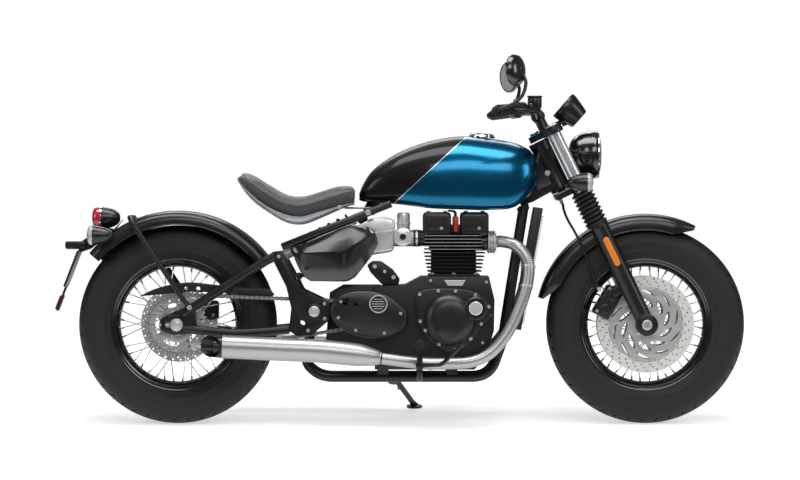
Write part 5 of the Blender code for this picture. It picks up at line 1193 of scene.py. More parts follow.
def make_mirror(side):
    """Round mirror: domed black shell, silvered glass inside a rim, and its bent arm."""
    def at(x, y, z):
        return Vector((x, side * y, z))
    tip = at(0.269, 0.395, 0.997)
    run = (tip - at(0.352, 0.262, 1.006)).normalized()
    arm = smooth([tip + run * 0.012, at(0.276, 0.4195, 1.0000), at(0.296, 0.4215, 1.0075),
                  at(0.322, 0.4205, 1.020), at(0.346, 0.412, 1.044), at(0.3565, 0.397, 1.080),
                  at(0.350, 0.392, 1.104)], 5)
    collar = rod(tip + run * 0.0028, tip + run * 0.020, 0.0120, 28, chamfer=0.0015)
    facing = Vector((-0.86, -side * 0.50, -0.05)).normalized()
    centre = at(0.322, 0.389, 1.122)
    radius = 0.051
    profile = [(radius - 0.0042, 0.0030), (radius - 0.0040, 0.0058), (radius - 0.0022, 0.0063),
               (radius, 0.0030), (radius, -0.003), (radius * 0.97, -0.007)]
    profile += [(radius * math.cos(t), -0.0260 * math.sin(t) - 0.0005)
                for t in [math.radians(a) for a in range(22, 90, 7)]]
    profile += [(0.0, -0.0262)]
    shell = lathe([(0.0, 0.0030), *profile], centre, facing, 56)
    glass = lathe([(0.0, 0.0046), (radius - 0.0050, 0.0040), (radius - 0.0044, 0.0030), (0.0, 0.0030)],
                  centre, facing, 56)
    ball = lathe([(0.0, -0.030), (0.008, -0.028), (0.011, -0.0235), (0.011, -0.018), (0.0, -0.018)],
                 centre, facing, 24)
    word = "left" if side > 0 else "right"
    piece("mirror_dressed_" + word, "steering", [
        *coated("satin_powder_coat", bar(arm, 0.0056, 5), collar),
        painted(shell, "gloss_black_enamel"), painted(glass, "silvered_glass"),
        painted(ball, "satin_powder_coat")], ("mirror_" + word,))


def make_headlamp():
    """Deep gloss shell with a bright rim, domed glass over a bowl and bulb, and its two ears."""
    z, radius = 0.862, 0.076
    shell = [(radius * t, x) for t, x in (
        (0.0, 0.504), (0.20, 0.5043), (0.40, 0.5065), (0.58, 0.5125), (0.74, 0.5225), (0.86, 0.5345),
        (0.935, 0.5485), (0.975, 0.561), (0.990, 0.5735))]
    shell += [(radius - 0.0004, 0.5740), (radius + 0.0012, 0.5770), (radius + 0.0018, 0.5860),
              (radius + 0.0005, 0.5960), (radius - 0.0015, 0.5990), (radius * 0.93, 0.5990),
              (radius * 0.915, 0.5960), (radius * 0.905, 0.5880), (0.0, 0.5880)]
    body = lathe(shell, (0.0, 0.0, z), (1, 0, 0), 72)
    rim = lathe([(radius - 0.0012, 0.5965), (radius - 0.0006, 0.6005), (radius * 0.955, 0.6020),
                 (radius * 0.915, 0.6005), (radius * 0.912, 0.5965)], (0.0, 0.0, z), (1, 0, 0), 72,
                 ring=True)
    bowl = lathe([(0.0, 0.5885), (radius * 0.25, 0.5890), (radius * 0.6, 0.5925), (radius * 0.90, 0.5982),
                  (radius * 0.90, 0.5889), (0.0, 0.5884)][::-1], (0.0, 0.0, z), (1, 0, 0), 56)
    glass = lathe([(0.0, 0.6105), (radius * 0.35, 0.6095), (radius * 0.65, 0.6062), (radius * 0.88, 0.6010),
                   (radius * 0.905, 0.5992), (radius * 0.88, 0.5990), (radius * 0.62, 0.6040),
                   (radius * 0.30, 0.6074), (0.0, 0.6083)], (0.0, 0.0, z), (1, 0, 0), 56)
    bulb = lathe([(0.0, 0.6060), (0.006, 0.6050), (0.0075, 0.6010), (0.0075, 0.5895), (0.0, 0.5895)],
                 (0.0, 0.0, z), (1, 0, 0), 20)
    members = [painted(body, "gloss_black_enamel"), painted(rim, "chromed_steel"),
               painted(bowl, "lamp_bowl"), painted(glass, "lamp_glass"), painted(bulb, "clear_lens"),
               lamp_strips(z, radius), *lamp_ears(z, radius)]
    piece("headlamp_dressed", "steering", members, ("headlamp",))


def lamp_strips(z, radius):
    """Two bright lines along each side of the shell."""
    strips = []
    for side in (-1, 1):
        for offset, length in ((0.0060, 0.046), (-0.0020, 0.038)):
            turn = offset / radius
            points = []
            for index in range(7):
                x = 0.5740 - length + length * index / 6
                r = shell_radius(x) * radius + 0.0006
                points.append(Vector((x, side * r * math.cos(turn), z + r * math.sin(turn) + 0.004)))
            strips.append(points)
    return strung(strips, 0.0011, "chromed_steel", 8)


def lamp_ears(z, radius):
    """Arm from the fork leg to the shell on each side, with its clamp and screw."""
    ears = []
    for side in (-1, 1):
        foot = STEERING @ Vector((FORK_OFFSET + 0.010, side * (LEG_SPACING - TUBE_RADIUS - 0.0055), 0.620))
        ears.append(rod((0.548, side * (radius - 0.006), z), foot, 0.0062, 20))
        ears.append(rod(foot - Vector((0, side * 0.004, 0)), foot + Vector((0, side * 0.0048, 0)), 0.0098,
                        24, chamfer=0.001))
        spot = Vector((0.552, side * (radius - 0.003), z))
        ears.append(rod(spot, spot + Vector((0, side * 0.006, 0)), 0.0085, 24, chamfer=0.0015))
    return coated("satin_powder_coat", *ears)


def shell_radius(x):
    """How wide the headlamp's shell is at this X, as a part of its full radius."""
    table = ((0.504, 0.0), (0.5065, 0.40), (0.5125, 0.58), (0.5225, 0.74), (0.5345, 0.86), (0.5485, 0.935),
             (0.561, 0.975), (0.5740, 0.992), (0.60, 1.0))
    for (x0, r0), (x1, r1) in zip(table, table[1:]):
        if x <= x1:
            return r0 + (r1 - r0) * max(0.0, (x - x0) / (x1 - x0))
    return 1.0


def make_speedometer():
    """Instrument cup with a bezel, dial with ticks, needle and glass, on its bracket."""
    facing = Vector((-0.752, 0.0, 0.658))
    centre = Vector((0.4855, 0.0, 1.023))
    cup = lathe([(0.0, -0.073), (0.030, -0.0725), (0.0345, -0.070), (0.040, -0.050), (0.0445, -0.030),
                 (0.0475, -0.017), (0.0475, -0.0045), (0.0430, -0.0045), (0.0, -0.0045)], centre, facing, 56)
    bezel = lathe([(0.0480, -0.014), (0.0480, -0.003), (0.0465, -0.0004), (0.0440, -0.0002),
                   (0.0425, -0.0030), (0.0425, -0.0044), (0.0470, -0.0050), (0.0470, -0.014)],
                  centre, facing, 56, ring=True)
    dial = lathe([(0.0, -0.0036), (0.0424, -0.0036), (0.0424, -0.0046), (0.0, -0.0046)], centre, facing, 48)
    across = Vector((0.0, 1.0, 0.0))
    up = facing.cross(across)
    ticks = []
    for index in range(25):
        angle = math.radians(-120.0 + 10.0 * index)
        out = up * math.cos(angle) + across * math.sin(angle)
        reach = 0.0055 if index % 3 == 0 else 0.0030
        ticks.append([centre + facing * -0.0034 + out * (0.0400 - reach),
                      centre + facing * -0.0034 + out * 0.0400])
    marks = strung(ticks, 0.00045, "dial_print", 6)
    needle = strung([[centre + facing * -0.0028 + up * -0.006 + across * 0.006,
                      centre + facing * -0.0028 + up * 0.022 - across * 0.024]], 0.0007, "red_plastic", 6)
    hub = rod(centre + facing * -0.0040, centre + facing * -0.0016, 0.0042, 20)
    glass = lathe([(0.0, -0.0006), (0.0420, -0.0012), (0.0424, -0.0020), (0.0, -0.0015)], centre, facing, 48)
    foot = STEERING @ Vector((0.030, 0.0, TOP_YOKE_Z + YOKE_THICKNESS / 2 - 0.0025))
    bracket = rod(foot, centre - facing * 0.060, 0.0118, 24)
    piece("speedometer_dressed", "steering", [
        *coated("satin_black_lacquer", cup, bezel), painted(dial, "dial_black"),
        marks, needle, painted(hub, "moulded_black_plastic"), painted(glass, "lamp_glass"),
        painted(bracket, "satin_powder_coat")], ("speedometer",))


def bullet_lamp(tail, nose, y, z, stations, lens_material, body_material):
    """Bullet-shaped lamp along X: stations hold (part of the way, radius); the lens closes its end."""
    length = nose - tail
    points = smooth([(radius, tail + length * part) for part, radius in stations], 4)
    split = 0.80
    body = [(max(p.x, 0.0), p.y) for p in points if abs((p.y - tail) / length) <= split]
    body[0] = (0.0, tail)
    lens = [(max(p.x, 0.0) * 0.985, p.y) for p in points if abs((p.y - tail) / length) >= split - 0.06]
    lens[-1] = (0.0, nose)
    shell = lathe([*body, (0.0, body[-1][1])], (0.0, y, z), (1, 0, 0), 40)
    front = lathe([(0.0, lens[0][1]), *lens], (0.0, y, z), (1, 0, 0), 40)
    edge = body[-1]
    ring = lathe([(edge[0] - 0.001, edge[1] - 0.0015), (edge[0] + 0.0009, edge[1] - 0.0015),
                  (edge[0] + 0.0009, edge[1] + 0.0010), (edge[0] - 0.001, edge[1] + 0.0010)],
                 (0.0, y, z), (1, 0, 0), 40, ring=True)
    return [painted(shell, body_material), painted(front, lens_material), painted(ring, body_material)]


BULLET = ((0.0, 0.0), (0.04, 0.010), (0.26, 0.022), (0.60, 0.0295), (0.80, 0.0308), (0.93, 0.0255),
          (1.0, 0.0))


def make_front_indicator(side):
    """Bullet indicator with a clear lens, on a short stalk from the lower yoke."""
    y, z = side * 0.182, 0.772
    members = bullet_lamp(0.494, 0.577, y, z, BULLET, "clear_lens", "satin_black_lacquer")
    boss = LEG_SPACING + TUBE_RADIUS + 0.011
    foot = STEERING @ Vector((FORK_OFFSET, side * (boss + 0.0003), LOWER_YOKE_Z))
    members.append(painted(rod(foot, (foot.x, side * 0.172, foot.z), 0.0072, 24), "moulded_rubber"))
    word = "left" if side > 0 else "right"
    piece("front_indicator_dressed_" + word, "steering", members, ("front_indicator_" + word,))


def make_guard(name, centre, radius, half, depth, start, end, body, nodes, tips, members=()):
    """Mudguard: a rounded section swept about the axle, with rolled edges and drawn-in tips."""
    rim = [(radius - depth * deep, half * wide) for deep, wide in (
        (1.0, 1.0), (0.62, 1.0), (0.30, 0.93), (0.08, 0.72), (0.0, 0.36))]
    section = smooth([*rim, (radius + 0.0004, 0.0), *[(r, -y) for r, y in reversed(rim)]], 3)
    steps = 64
    bm = bmesh.new()
    rows = []
    for step in range(steps + 1):
        t = step / steps
        angle = start + (end - start) * t
        ends = min(t, 1 - t) * (end - start) * radius
        drawn = 1.0 if not tips else min(1.0, 0.30 + 0.70 * math.sin(min(1.0, ends / tips) * math.pi / 2))
        row = []
        for r, y in section:
            shallow = radius - (radius - r) * drawn
            row.append(bm.verts.new((centre.x + shallow * math.cos(angle), y * (0.55 + 0.45 * drawn),
                                     centre.z + shallow * math.sin(angle))))
        rows.append(row)
    for first, second in zip(rows, rows[1:]):
        for i in range(len(section) - 1):
            bm.faces.new((first[i], first[i + 1], second[i + 1], second[i]))
    bmesh.ops.recalc_face_normals(bm, faces=bm.faces)
    shell = from_bmesh(bm)
    wall = shell.modifiers.new("Wall", "SOLIDIFY")
    wall.thickness = 0.0024
    wall.offset = 0.0
    shell = painted(evaluated(shell), "satin_black_lacquer")
    turns = [start + (end - start) * (0.10 + 0.80 * i / 60) for i in range(61)]
    edges = [[Vector((centre.x + r * math.cos(a), y, centre.z + r * math.sin(a))) for a in turns]
             for r, y in (section[0], section[-1])]
    bead = strung(edges, 0.0021, "satin_black_lacquer", 8)
    piece(name, body, [shell, bead, *members], nodes, 50.0)


# Frame


def refined(node, bevel, material, segments=3, angle=32.0):
    """A welded copy of a CAD solid with its edges rounded."""
    return painted(softened(copy_of(node), bevel, segments, angle), material)


def make_neck():
    """Headstock between the yokes with the backbone under the tank."""
    low = LOWER_YOKE_Z + YOKE_THICKNESS / 2 + 0.0003
    high = TOP_YOKE_Z - YOKE_THICKNESS / 2 - 0.0003
    head = in_steering(lathe([(0.0149, low), (0.0330, low), (0.0340, low + 0.003), (0.0340, low + 0.014),
                              (0.0325, low + 0.018), (0.0325, high - 0.018), (0.0340, high - 0.014),
                              (0.0340, high - 0.003), (0.0330, high), (0.0149, high)],
                             (0, 0, 0), (0, 0, 1), 56, ring=True))
    gusset = plate([(0.408, 0.886), (0.448, 0.880), (0.492, 0.762), (0.462, 0.750), (0.392, 0.712),
                    (0.352, 0.697), (0.334, 0.735), (0.380, 0.790)], -0.030, 0.030, bevel=0.006)
    pocket = [plate([(0.412, 0.862), (0.432, 0.858), (0.462, 0.778), (0.448, 0.768), (0.404, 0.748),
                     (0.396, 0.790)], *sorted((side * 0.0260, side * 0.040)), bevel=0.003)
                     for side in (-1, 1)]
    gusset = cut(gusset, *pocket)
    backbone = bar(rounded([(0.400, 0, 0.790), (0.300, 0, 0.738), (-0.108, 0, 0.7335),
                            (-0.139, 0, REAR_TUBE_TOP[1])], 0.06, 6), 0.020, 6)
    pins = [rod((x, -0.0417, 0.730), (x, 0.0417, 0.730), 0.011, 28) for x in (0.310, -0.040)]
    knee = plate([(0.338, 0.688), (0.372, 0.714), (0.378, 0.688), (0.346, 0.670)], -0.0447, 0.0447,
                 bevel=0.003)
    cross = rod((-0.139, -0.1057, REAR_TUBE_TOP[1]), (-0.139, 0.1057, REAR_TUBE_TOP[1]), 0.0115, 28)
    bolts = repeated(hex_bolt(0.0080, 0.0070), [
        (Vector((0.437, side * 0.0262, 0.803)), (0, side, 0), 0.3) for side in (-1, 1)], "zinc_plated_steel")
    members = coated("satin_powder_coat", head, gusset, backbone, knee, cross, *pins)
    piece("frame_neck_dressed", "chassis", [*members, bolts], ("frame_neck",))


def make_cradle(side, extras=()):
    """Down tube and lower rail of one side in one bent tube."""
    route = [(0.360, 0.060, 0.694), (0.292, 0.088, 0.266), (0.250, 0.100, 0.150), (-0.290, 0.100, 0.150),
             (-0.345, 0.056, 0.195), (PIVOT[0] - 0.002, 0.056, PIVOT[1] - 0.018)]
    tube = bar([(x, side * y, z) for x, y, z in rounded(route, 0.09, 10)], 0.0150, 6)
    word = "left" if side > 0 else "right"
    lugs = [box((x - 0.016, side * 0.100 - 0.0105, 0.160), (x + 0.016, side * 0.100 + 0.0105, 0.174), 0.002)
            for x in (0.128, -0.092)]
    members = [painted(tube, "satin_powder_coat"), *coated("satin_powder_coat", *lugs),
               *extras]
    piece("frame_cradle_dressed_" + word, "chassis", members, ("frame_cradle_" + word,))


def make_stand_lug():
    """The side stand's lug, strut and pivot bolt on the left lower rail."""
    pivot, axis = STAND_PIVOT, STAND_AXIS
    lug = rod(pivot - axis * 0.0125, pivot - axis * 0.0005, 0.017, 36, chamfer=0.0015)
    strut = rod(pivot - axis * 0.0065, (pivot.x, 0.100, 0.150), 0.0065, 20)
    pin = rod(pivot - axis * 0.006, pivot + axis * 0.022, 0.0065, 24)
    head = rod(pivot + axis * 0.0206, pivot + axis * 0.0250, 0.0110, 6)
    return [*coated("satin_powder_coat", lug, strut),
            *coated("zinc_plated_steel", pin, head)]


STAND_PIVOT = Vector((-0.060, 0.140, 0.136))
STAND_AXIS = Vector((0.094836, 0.512015, 0.853725)).normalized()


def make_side_stand():
    """Leg with its eye, welded foot pad and a return spring's hook."""
    solid = copy_of("side_stand")
    eye = cut(rod(STAND_PIVOT, STAND_PIVOT + STAND_AXIS * 0.020, 0.017, 40, chamfer=0.0012),
              rod(STAND_PIVOT - STAND_AXIS * 0.01, STAND_PIVOT + STAND_AXIS * 0.03, 0.0073, 32))
    lean_up = Vector((0.0, -math.sin(LEAN), math.cos(LEAN)))
    heights = sorted(solid.data.vertices, key=lambda v: v.co.dot(lean_up))
    low = heights[0].co.dot(lean_up)
    foot_ring = [v.co for v in heights if v.co.dot(lean_up) < low + 0.0006]
    centre = sum(foot_ring, Vector()) / len(foot_ring)
    bpy.data.objects.remove(solid, do_unlink=True)
    reach = (centre - STAND_PIVOT).normalized()
    leg = rod(STAND_PIVOT + STAND_AXIS * 0.0105 + reach * 0.012, centre + lean_up * 0.0088, 0.0092, 28)
    pad = rod(centre, centre + lean_up * 0.0078, 0.0258, 40, chamfer=0.0015)
    collar = rod(centre + lean_up * 0.006 - reach * 0.0010, centre + lean_up * 0.0085 - reach * 0.016,
                 0.0135, 28, end_radius=0.0098)
    tang = strung([[STAND_PIVOT + STAND_AXIS * 0.0105 + reach * 0.075,
                    STAND_PIVOT + STAND_AXIS * 0.0105 + reach * 0.085 + Vector((-0.016, -0.004, 0.006)),
                    STAND_PIVOT + STAND_AXIS * 0.0105 + reach * 0.100 + Vector((-0.018, -0.004, 0.006))]],
                  0.0032, "satin_powder_coat", 10)
    members = [*coated("satin_powder_coat", eye, leg, pad, collar), tang]
    piece("side_stand_dressed", "stand", members, ("side_stand",))


def outward(side, near, far):
    """The Y span between two distances from the middle, low end first, on one side."""
    return sorted((side * near, side * far))


def cross_rod(place, side, near, far, radius, sides, chamfer=0.0):
    """A rod across the machine between two distances from its middle, at an (x, z) place."""
    x, z = place
    return rod((x, side * near, z), (x, side * far, z), radius, sides, chamfer=chamfer)


def make_rear_tube(word, side):
    """Straight frame tube under the saddle with the cross tube's bolt in its side."""
    rise = (REAR_TUBE_TOP[1] - REAR_TUBE_FOOT[1]) / (REAR_TUBE_TOP[0] - REAR_TUBE_FOOT[0])
    head = Vector((-0.066, side * 0.118, REAR_TUBE_TOP[1] + rise * (-0.066 - REAR_TUBE_TOP[0])))
    foot = Vector((REAR_TUBE_FOOT[0], side * 0.118, REAR_TUBE_FOOT[1]))
    tube = rod(head, foot, 0.012, 32, chamfer=0.0015)
    bolt = repeated(socket_bolt(0.0085, 0.0060), [(Vector((-0.139, side * 0.1294, 0.676)), (0, side, 0), 0)],
                    "zinc_plated_steel")
    piece("frame_rear_dressed_" + word, "chassis", [painted(tube, "satin_powder_coat"), bolt],
          ("frame_rear_" + word,))


def make_cage(word, side):
    """Pierced cage plate with its rib, and the pivot's boss and ring."""
    outline = [(-0.447, 0.550), (-0.411, 0.554), (-0.345, 0.430), (PIVOT[0] + 0.048, PIVOT[1] + 0.030),
               (PIVOT[0] + 0.052, PIVOT[1]), (PIVOT[0] + 0.046, PIVOT[1] - 0.030), (-0.318, 0.286),
               (-0.366, 0.282), (-0.392, 0.300), (-0.384, 0.372), (-0.400, 0.440), (-0.438, 0.516)]
    openings = [circle((-0.365, 0.470), 0.012, 24), circle((-0.350, 0.322), 0.010, 24)]
    strut = plate(outline, *outward(side, 0.117, 0.131), openings, 0.003)
    rib = plate([(-0.425, 0.520), (-0.408, 0.528), (-0.352, 0.425), (-0.362, 0.400)],
                *outward(side, 0.1290, 0.1345), bevel=0.0015)
    boss = cross_rod(PIVOT, side, 0.1172, 0.134, 0.026, 48, 0.002)
    ring = cross_rod(PIVOT, side, 0.134, 0.1375, 0.0175, 40, 0.001)
    bolts = repeated(socket_bolt(0.0056, 0.0038), [
        (Vector((x, side * 0.1308, z)), (0, side, 0), 0.0)
        for x, z in ((-0.277, 0.338), (-0.330, 0.300), (-0.278, 0.386), (-0.424, 0.536))],
        "zinc_plated_steel")
    piece("cage_dressed_" + word, "chassis", [
        *coated("satin_powder_coat", strut, rib, boss), painted(ring, "machined_aluminium"), bolts],
        ("cage_" + word,))


def make_swingarm(word, side):
    """Upper and lower arm, slotted axle plate with its marks, axle nut and chain adjuster."""
    y = side * 0.124
    axle = (REAR_AXLE.x, REAR_AXLE.z)
    upper = bar(rounded([(-0.732, y, 0.352), (-0.470, y, 0.520), (-0.437, y, 0.5360)], 0.05, 6), 0.0145, 6)
    lower = bar(smooth([(-0.728, y, 0.306), (-0.640, y, 0.2975), (-0.560, y, 0.292), (-0.470, y, 0.2965),
                        (-0.3900, y, 0.3040)], 4), 0.0145, 6)
    outline = [(-0.800, 0.300), (-0.804, 0.319), (-0.800, 0.338), (-0.752, 0.362), (-0.716, 0.374),
               (-0.690, 0.352), (-0.684, 0.314), (-0.700, 0.290), (-0.760, 0.286)]
    slot = [(-0.785, 0.310), (-0.785, 0.326), (-0.771, 0.3265), (-0.771, 0.3095)]
    axle_plate = plate(outline, y - 0.006, y + 0.006, [slot], 0.002)
    washer = cross_rod(axle, side, 0.1298, 0.1330, 0.0205, 36, 0.0006)
    nut = cross_rod(axle, side, 0.1325, 0.1445, 0.0165, 6, 0.0012)
    end = cross_rod(axle, side, 0.1420, 0.1458, 0.0085, 24, 0.001)
    adjuster = rod((-0.806, y, REAR_AXLE.z), (-0.775, y, REAR_AXLE.z), 0.0045, 20)
    cap = rod((-0.8065, y, REAR_AXLE.z), (-0.7985, y, REAR_AXLE.z), 0.0080, 6)
    marks = strung([[(x, y + side * 0.0061, 0.344), (x, y + side * 0.0061, 0.350)]
                    for x in (-0.775, -0.767, -0.759, -0.751, -0.743)], 0.0004, "zinc_plated_steel", 6)
    members = coated("satin_powder_coat", upper, lower, axle_plate)
    members += coated("zinc_plated_steel", washer, nut, end, adjuster, cap)
    piece("swingarm_dressed_" + word, "chassis", [*members, marks], ("swingarm_" + word,))


def make_axle(name, body, centre, spacer_start, reach, spacer_radius):
    """Spindle through a wheel with a spacer on each side of its hub."""
    out = Vector((0, reach, 0))
    spindle = rod(centre - out, centre + out, 0.0085, 28)
    spacers = [rod(centre + Vector((0, side * spacer_start, 0)), centre + side * out, spacer_radius, 32,
                   chamfer=0.001) for side in (-1, 1)]
    members = coated("zinc_plated_steel", spindle, *spacers)
    piece(name + "_dressed", body, members, (name,))


def make_rear_frame():
    """Rear tubes, cage plates, swinging arms, pivot tube and both axles."""
    for word, side in (("right", -1), ("left", 1)):
        make_rear_tube(word, side)
        make_cage(word, side)
        make_swingarm(word, side)
    pivot = cross_rod(PIVOT, 1, -0.1167, 0.1167, 0.020, 40)
    piece("swingarm_pivot_dressed", "chassis", [painted(pivot, "satin_powder_coat")], ("swingarm_pivot",))
    make_axle("rear_axle", "chassis", REAR_AXLE, 0.096, 0.1177, 0.015)
    make_axle("front_axle", "steering", FRONT_AXLE, 0.0555, LEG_SPACING - SLIDER_RADIUS - 0.0003, 0.014)


def make_shock():
    """Coil spring round its damper, with its spring seats, eye and cross tube."""
    start = Vector((CAGE_APEX[0] + 0.004, 0.0, CAGE_APEX[1] - 0.016))
    end = Vector((REAR_TUBE_TOP[0] - 0.0196, 0.0, REAR_TUBE_TOP[1] - 0.0196))
    along = (end - start).normalized()
    length = (end - start).length
    cross = rod(start - Vector((0, 0.1167, 0)), start + Vector((0, 0.1167, 0)), 0.013, 32)
    damper = [(0.0, 0.012), (0.0155, 0.012), (0.0155, length * 0.46), (0.0125, length * 0.47)]
    damper += [(0.0065, length * 0.475), (0.0065, length - 0.020), (0.0, length - 0.020)]
    core = lathe(damper, start, along, 40)
    eye = rod(end + Vector((0, -0.016, 0)), end + Vector((0, 0.016, 0)), 0.0176, 40)
    rest = rod((-0.139, -0.05, REAR_TUBE_TOP[1]), (-0.139, 0.05, REAR_TUBE_TOP[1]), 0.0121, 32)
    eye = cut(eye, rest)
    seats = [lathe([(0.0, a), (0.0345, a), (0.0358, a + 0.0015), (0.0358, a + 0.0055), (0.0345, a + 0.007),
                    (0.0, a + 0.007)], start, along, 48) for a in (0.040, length - 0.047)]
    side = Vector((0.0, 1.0, 0.0))
    up = along.cross(side)
    turns, per_turn = 6, 28
    coil = []
    for index in range(turns * per_turn + 1):
        angle = 2 * math.pi * index / per_turn
        travel = 0.0492 + (length - 0.0984) * index / (turns * per_turn)
        coil.append(start + along * travel + (side * math.cos(angle) + up * math.sin(angle)) * 0.0300)
    spring = strung([coil], 0.0054, "gloss_black_enamel", 14)
    members = coated("satin_powder_coat", cross, eye, *seats)
    piece("rear_spring_dressed", "chassis", [*members, painted(core, "zinc_plated_steel"), spring],
          ("rear_spring",))


PANEL_EDGE_Y = 0.1290


def make_side_panel(side):
    """Moulded cover below the rear tube with its long crease and a round clip."""
    dx, dz = REAR_TUBE_TOP[0] - REAR_TUBE_FOOT[0], REAR_TUBE_TOP[1] - REAR_TUBE_FOOT[1]
    length = math.hypot(dx, dz)
    off = (dz / length * 0.0126, -dx / length * 0.0126)

    def under(x):
        t = (x - REAR_TUBE_FOOT[0]) / dx
        return (x + off[0], REAR_TUBE_FOOT[1] + dz * t + off[1])
    outline = [under(-0.382), under(-0.320), under(-0.260), under(-0.200), (-0.168, 0.634), (-0.146, 0.631),
               (-0.128, 0.627), (-0.110, 0.610), (-0.107, 0.580), (-0.125, 0.541), (-0.152, 0.505),
               (-0.180, 0.470), (-0.205, 0.456), (-0.265, 0.4565), (-0.325, 0.458), (-0.349, 0.477),
               (-0.362, 0.503), (-0.375, 0.531)]
    crease = [(-0.372, 0.5480), (-0.218, 0.5480), (-0.110, 0.6200)]

    def crease_height(x):
        if x <= crease[1][0]:
            return crease[0][1]
        (x0, z0), (x1, z1) = crease[1:]
        return z0 + (x - x0) * (z1 - z0) / (x1 - x0)
    edge_y, back_y, columns = PANEL_EDGE_Y, 0.1062, 26
    xs = [-0.374 + (0.374 - 0.108) * i / columns for i in range(columns + 1)]
    bm = bmesh.new()
    rows = []
    for x in xs:
        upper, lower = panel_span(outline, x)
        ends = min(x - xs[0], xs[-1] - x)
        flat = min(1.0, 0.25 + ends / 0.030)
        front = [bm.verts.new((x, side * (edge_y + (y - edge_y) * flat), z))
                 for z, y in panel_levels(upper, lower, crease_height(x))]
        back = [bm.verts.new((x, side * back_y, lower)), bm.verts.new((x, side * back_y, upper))]
        rows.append(front + back)
    for first, second in zip(rows, rows[1:]):
        for i in range(len(first)):
            j = (i + 1) % len(first)
            bm.faces.new((first[i], first[j], second[j], second[i]))
    bm.faces.new(rows[0])
    bm.faces.new(rows[-1])
    bmesh.ops.recalc_face_normals(bm, faces=bm.faces)
    panel = softened(from_bmesh(bm), 0.0012, 2, 40.0)
    clip = rod((-0.334, side * 0.1310, 0.500), (-0.334, side * 0.1375, 0.500), 0.0080, 24, chamfer=0.001)
    word = "left" if side > 0 else "right"
    piece("side_panel_dressed_" + word, "chassis", [painted(panel, "gloss_black_enamel"),
                                                    painted(clip, "moulded_rubber")],
          ("side_panel_" + word,), 28.0)


def panel_levels(upper, lower, crease):
    """The panel's face at one place along it, from its upper edge over the crease to its lower edge."""
    edge_y, top_y = PANEL_EDGE_Y, 0.1445
    ridge = min(max(crease, lower + 0.004), upper - 0.004)
    rise, fall = ridge - upper, lower - ridge
    return [(upper, edge_y), (upper + rise * 0.10, edge_y + 0.0040),
            (upper + rise * 0.55, edge_y + (top_y - edge_y) * 0.66), (upper + rise * 0.94, top_y - 0.0006),
            (ridge, top_y), (ridge + fall * 0.06, top_y - 0.0008),
            (ridge + fall * 0.50, edge_y + (top_y - edge_y) * 0.55), (ridge + fall * 0.92, edge_y + 0.0036),
            (lower, edge_y)]


def panel_span(outline, x):
    """Highest and lowest height of the closed outline at this X."""
    hits = []
    for (x0, z0), (x1, z1) in zip(outline, outline[1:] + outline[:1]):
        if x0 != x1 and min(x0, x1) - 1e-6 <= x <= max(x0, x1) + 1e-6:
            hits.append(z0 + (z1 - z0) * (x - x0) / (x1 - x0))
    if not hits:
        raise ValueError("the panel's outline isn't crossed at this place")
    return max(hits), min(hits)


# Engine


def make_crankcase():
    """Painted case with rounded edges, side covers, bolts and the mounting lugs."""
    case = refined("crankcase", 0.0040, "black_cast_engine", 3, 40.0)
    ribs = [box((x - 0.0022, -0.1452, 0.196), (x + 0.0022, 0.1452, 0.232), 0.001)
            for x in (-0.06, 0.02, 0.10)]
    bolts = [(Vector((x, side * 0.1450, z)), (0, side, 0), 0.0) for side in (-1, 1)
             for x, z in ((-0.096, 0.200), (-0.010, 0.192), (0.080, 0.190), (0.188, 0.196), (0.226, 0.262),
                          (0.250, 0.350), (0.238, 0.455), (0.060, 0.460))]
    alternator = lathe([(0.0, 0.1905), (0.040, 0.1905), (0.044, 0.1895), (0.0445, 0.1855), (0.0, 0.1855)],
                       (0.155, 0.0, 0.320), (0, 1, 0), 56)
    ring = [(Vector((0.155 + 0.092 * math.cos(a), 0.1460, 0.320 + 0.092 * math.sin(a))), (0, 1, 0), 0.0)
            for a in [2 * math.pi * i / 9 for i in range(9)] if 0.05 < 0.155 + 0.092 * math.cos(a) < 0.245]
    drain = repeated(hex_bolt(0.010, 0.006), [(Vector((0.06, -0.02, 0.1765)), (0, 0, -1), 0.0)],
                     "zinc_plated_steel")
    screws = repeated(socket_bolt(0.0048, 0.0045), bolts + ring, "zinc_plated_steel")
    hanger = [(-0.142, 0.508), (-0.126, 0.520), (-0.098, 0.519), (-0.060, 0.492), (-0.038, 0.462),
              (-0.044, 0.440), (-0.084, 0.436), (-0.100, 0.452), (-0.132, 0.486)]
    hangers = [plate(hanger, *sorted((side * 0.112, side * 0.120)), bevel=0.0025) for side in (-1, 1)]
    rubber = [rod((-0.086, side * 0.1195, 0.488), (-0.086, side * 0.1235, 0.488), 0.0125, 32, chamfer=0.001)
              for side in (-1, 1)]
    heads = repeated(socket_bolt(0.0068, 0.0060), [
        (Vector((x, side * 0.1195, z)), (0, side, 0), 0.0) for side in (-1, 1)
        for x, z in ((-0.118, 0.504), (-0.058, 0.470))], "machined_aluminium")
    pivots = repeated(socket_bolt(0.0052, 0.0040), [
        (Vector((-0.086, side * 0.1232, 0.488)), (0, side, 0), 0.0) for side in (-1, 1)],
        "machined_aluminium")
    piece("crankcase_dressed", "chassis", [
        *coated("satin_powder_coat", *hangers),
        *coated("moulded_rubber", *rubber), heads, pivots,
        case, *coated("black_cast_engine", *ribs),
        painted(alternator, "machined_aluminium"), screws, drain], ("crankcase",), 32.0)


def rounded_rect(x0, x1, half, corner, steps=5):
    """Outline of a rectangle with round corners."""
    points = []
    for cx, cy, first in ((x1 - corner, half - corner, 0), (x0 + corner, half - corner, 90),
                          (x0 + corner, -half + corner, 180), (x1 - corner, -half + corner, 270)):
        for step in range(steps + 1):
            angle = math.radians(first + 90 * step / steps)
            points.append((cx + corner * math.cos(angle), cy + corner * math.sin(angle)))
    return points


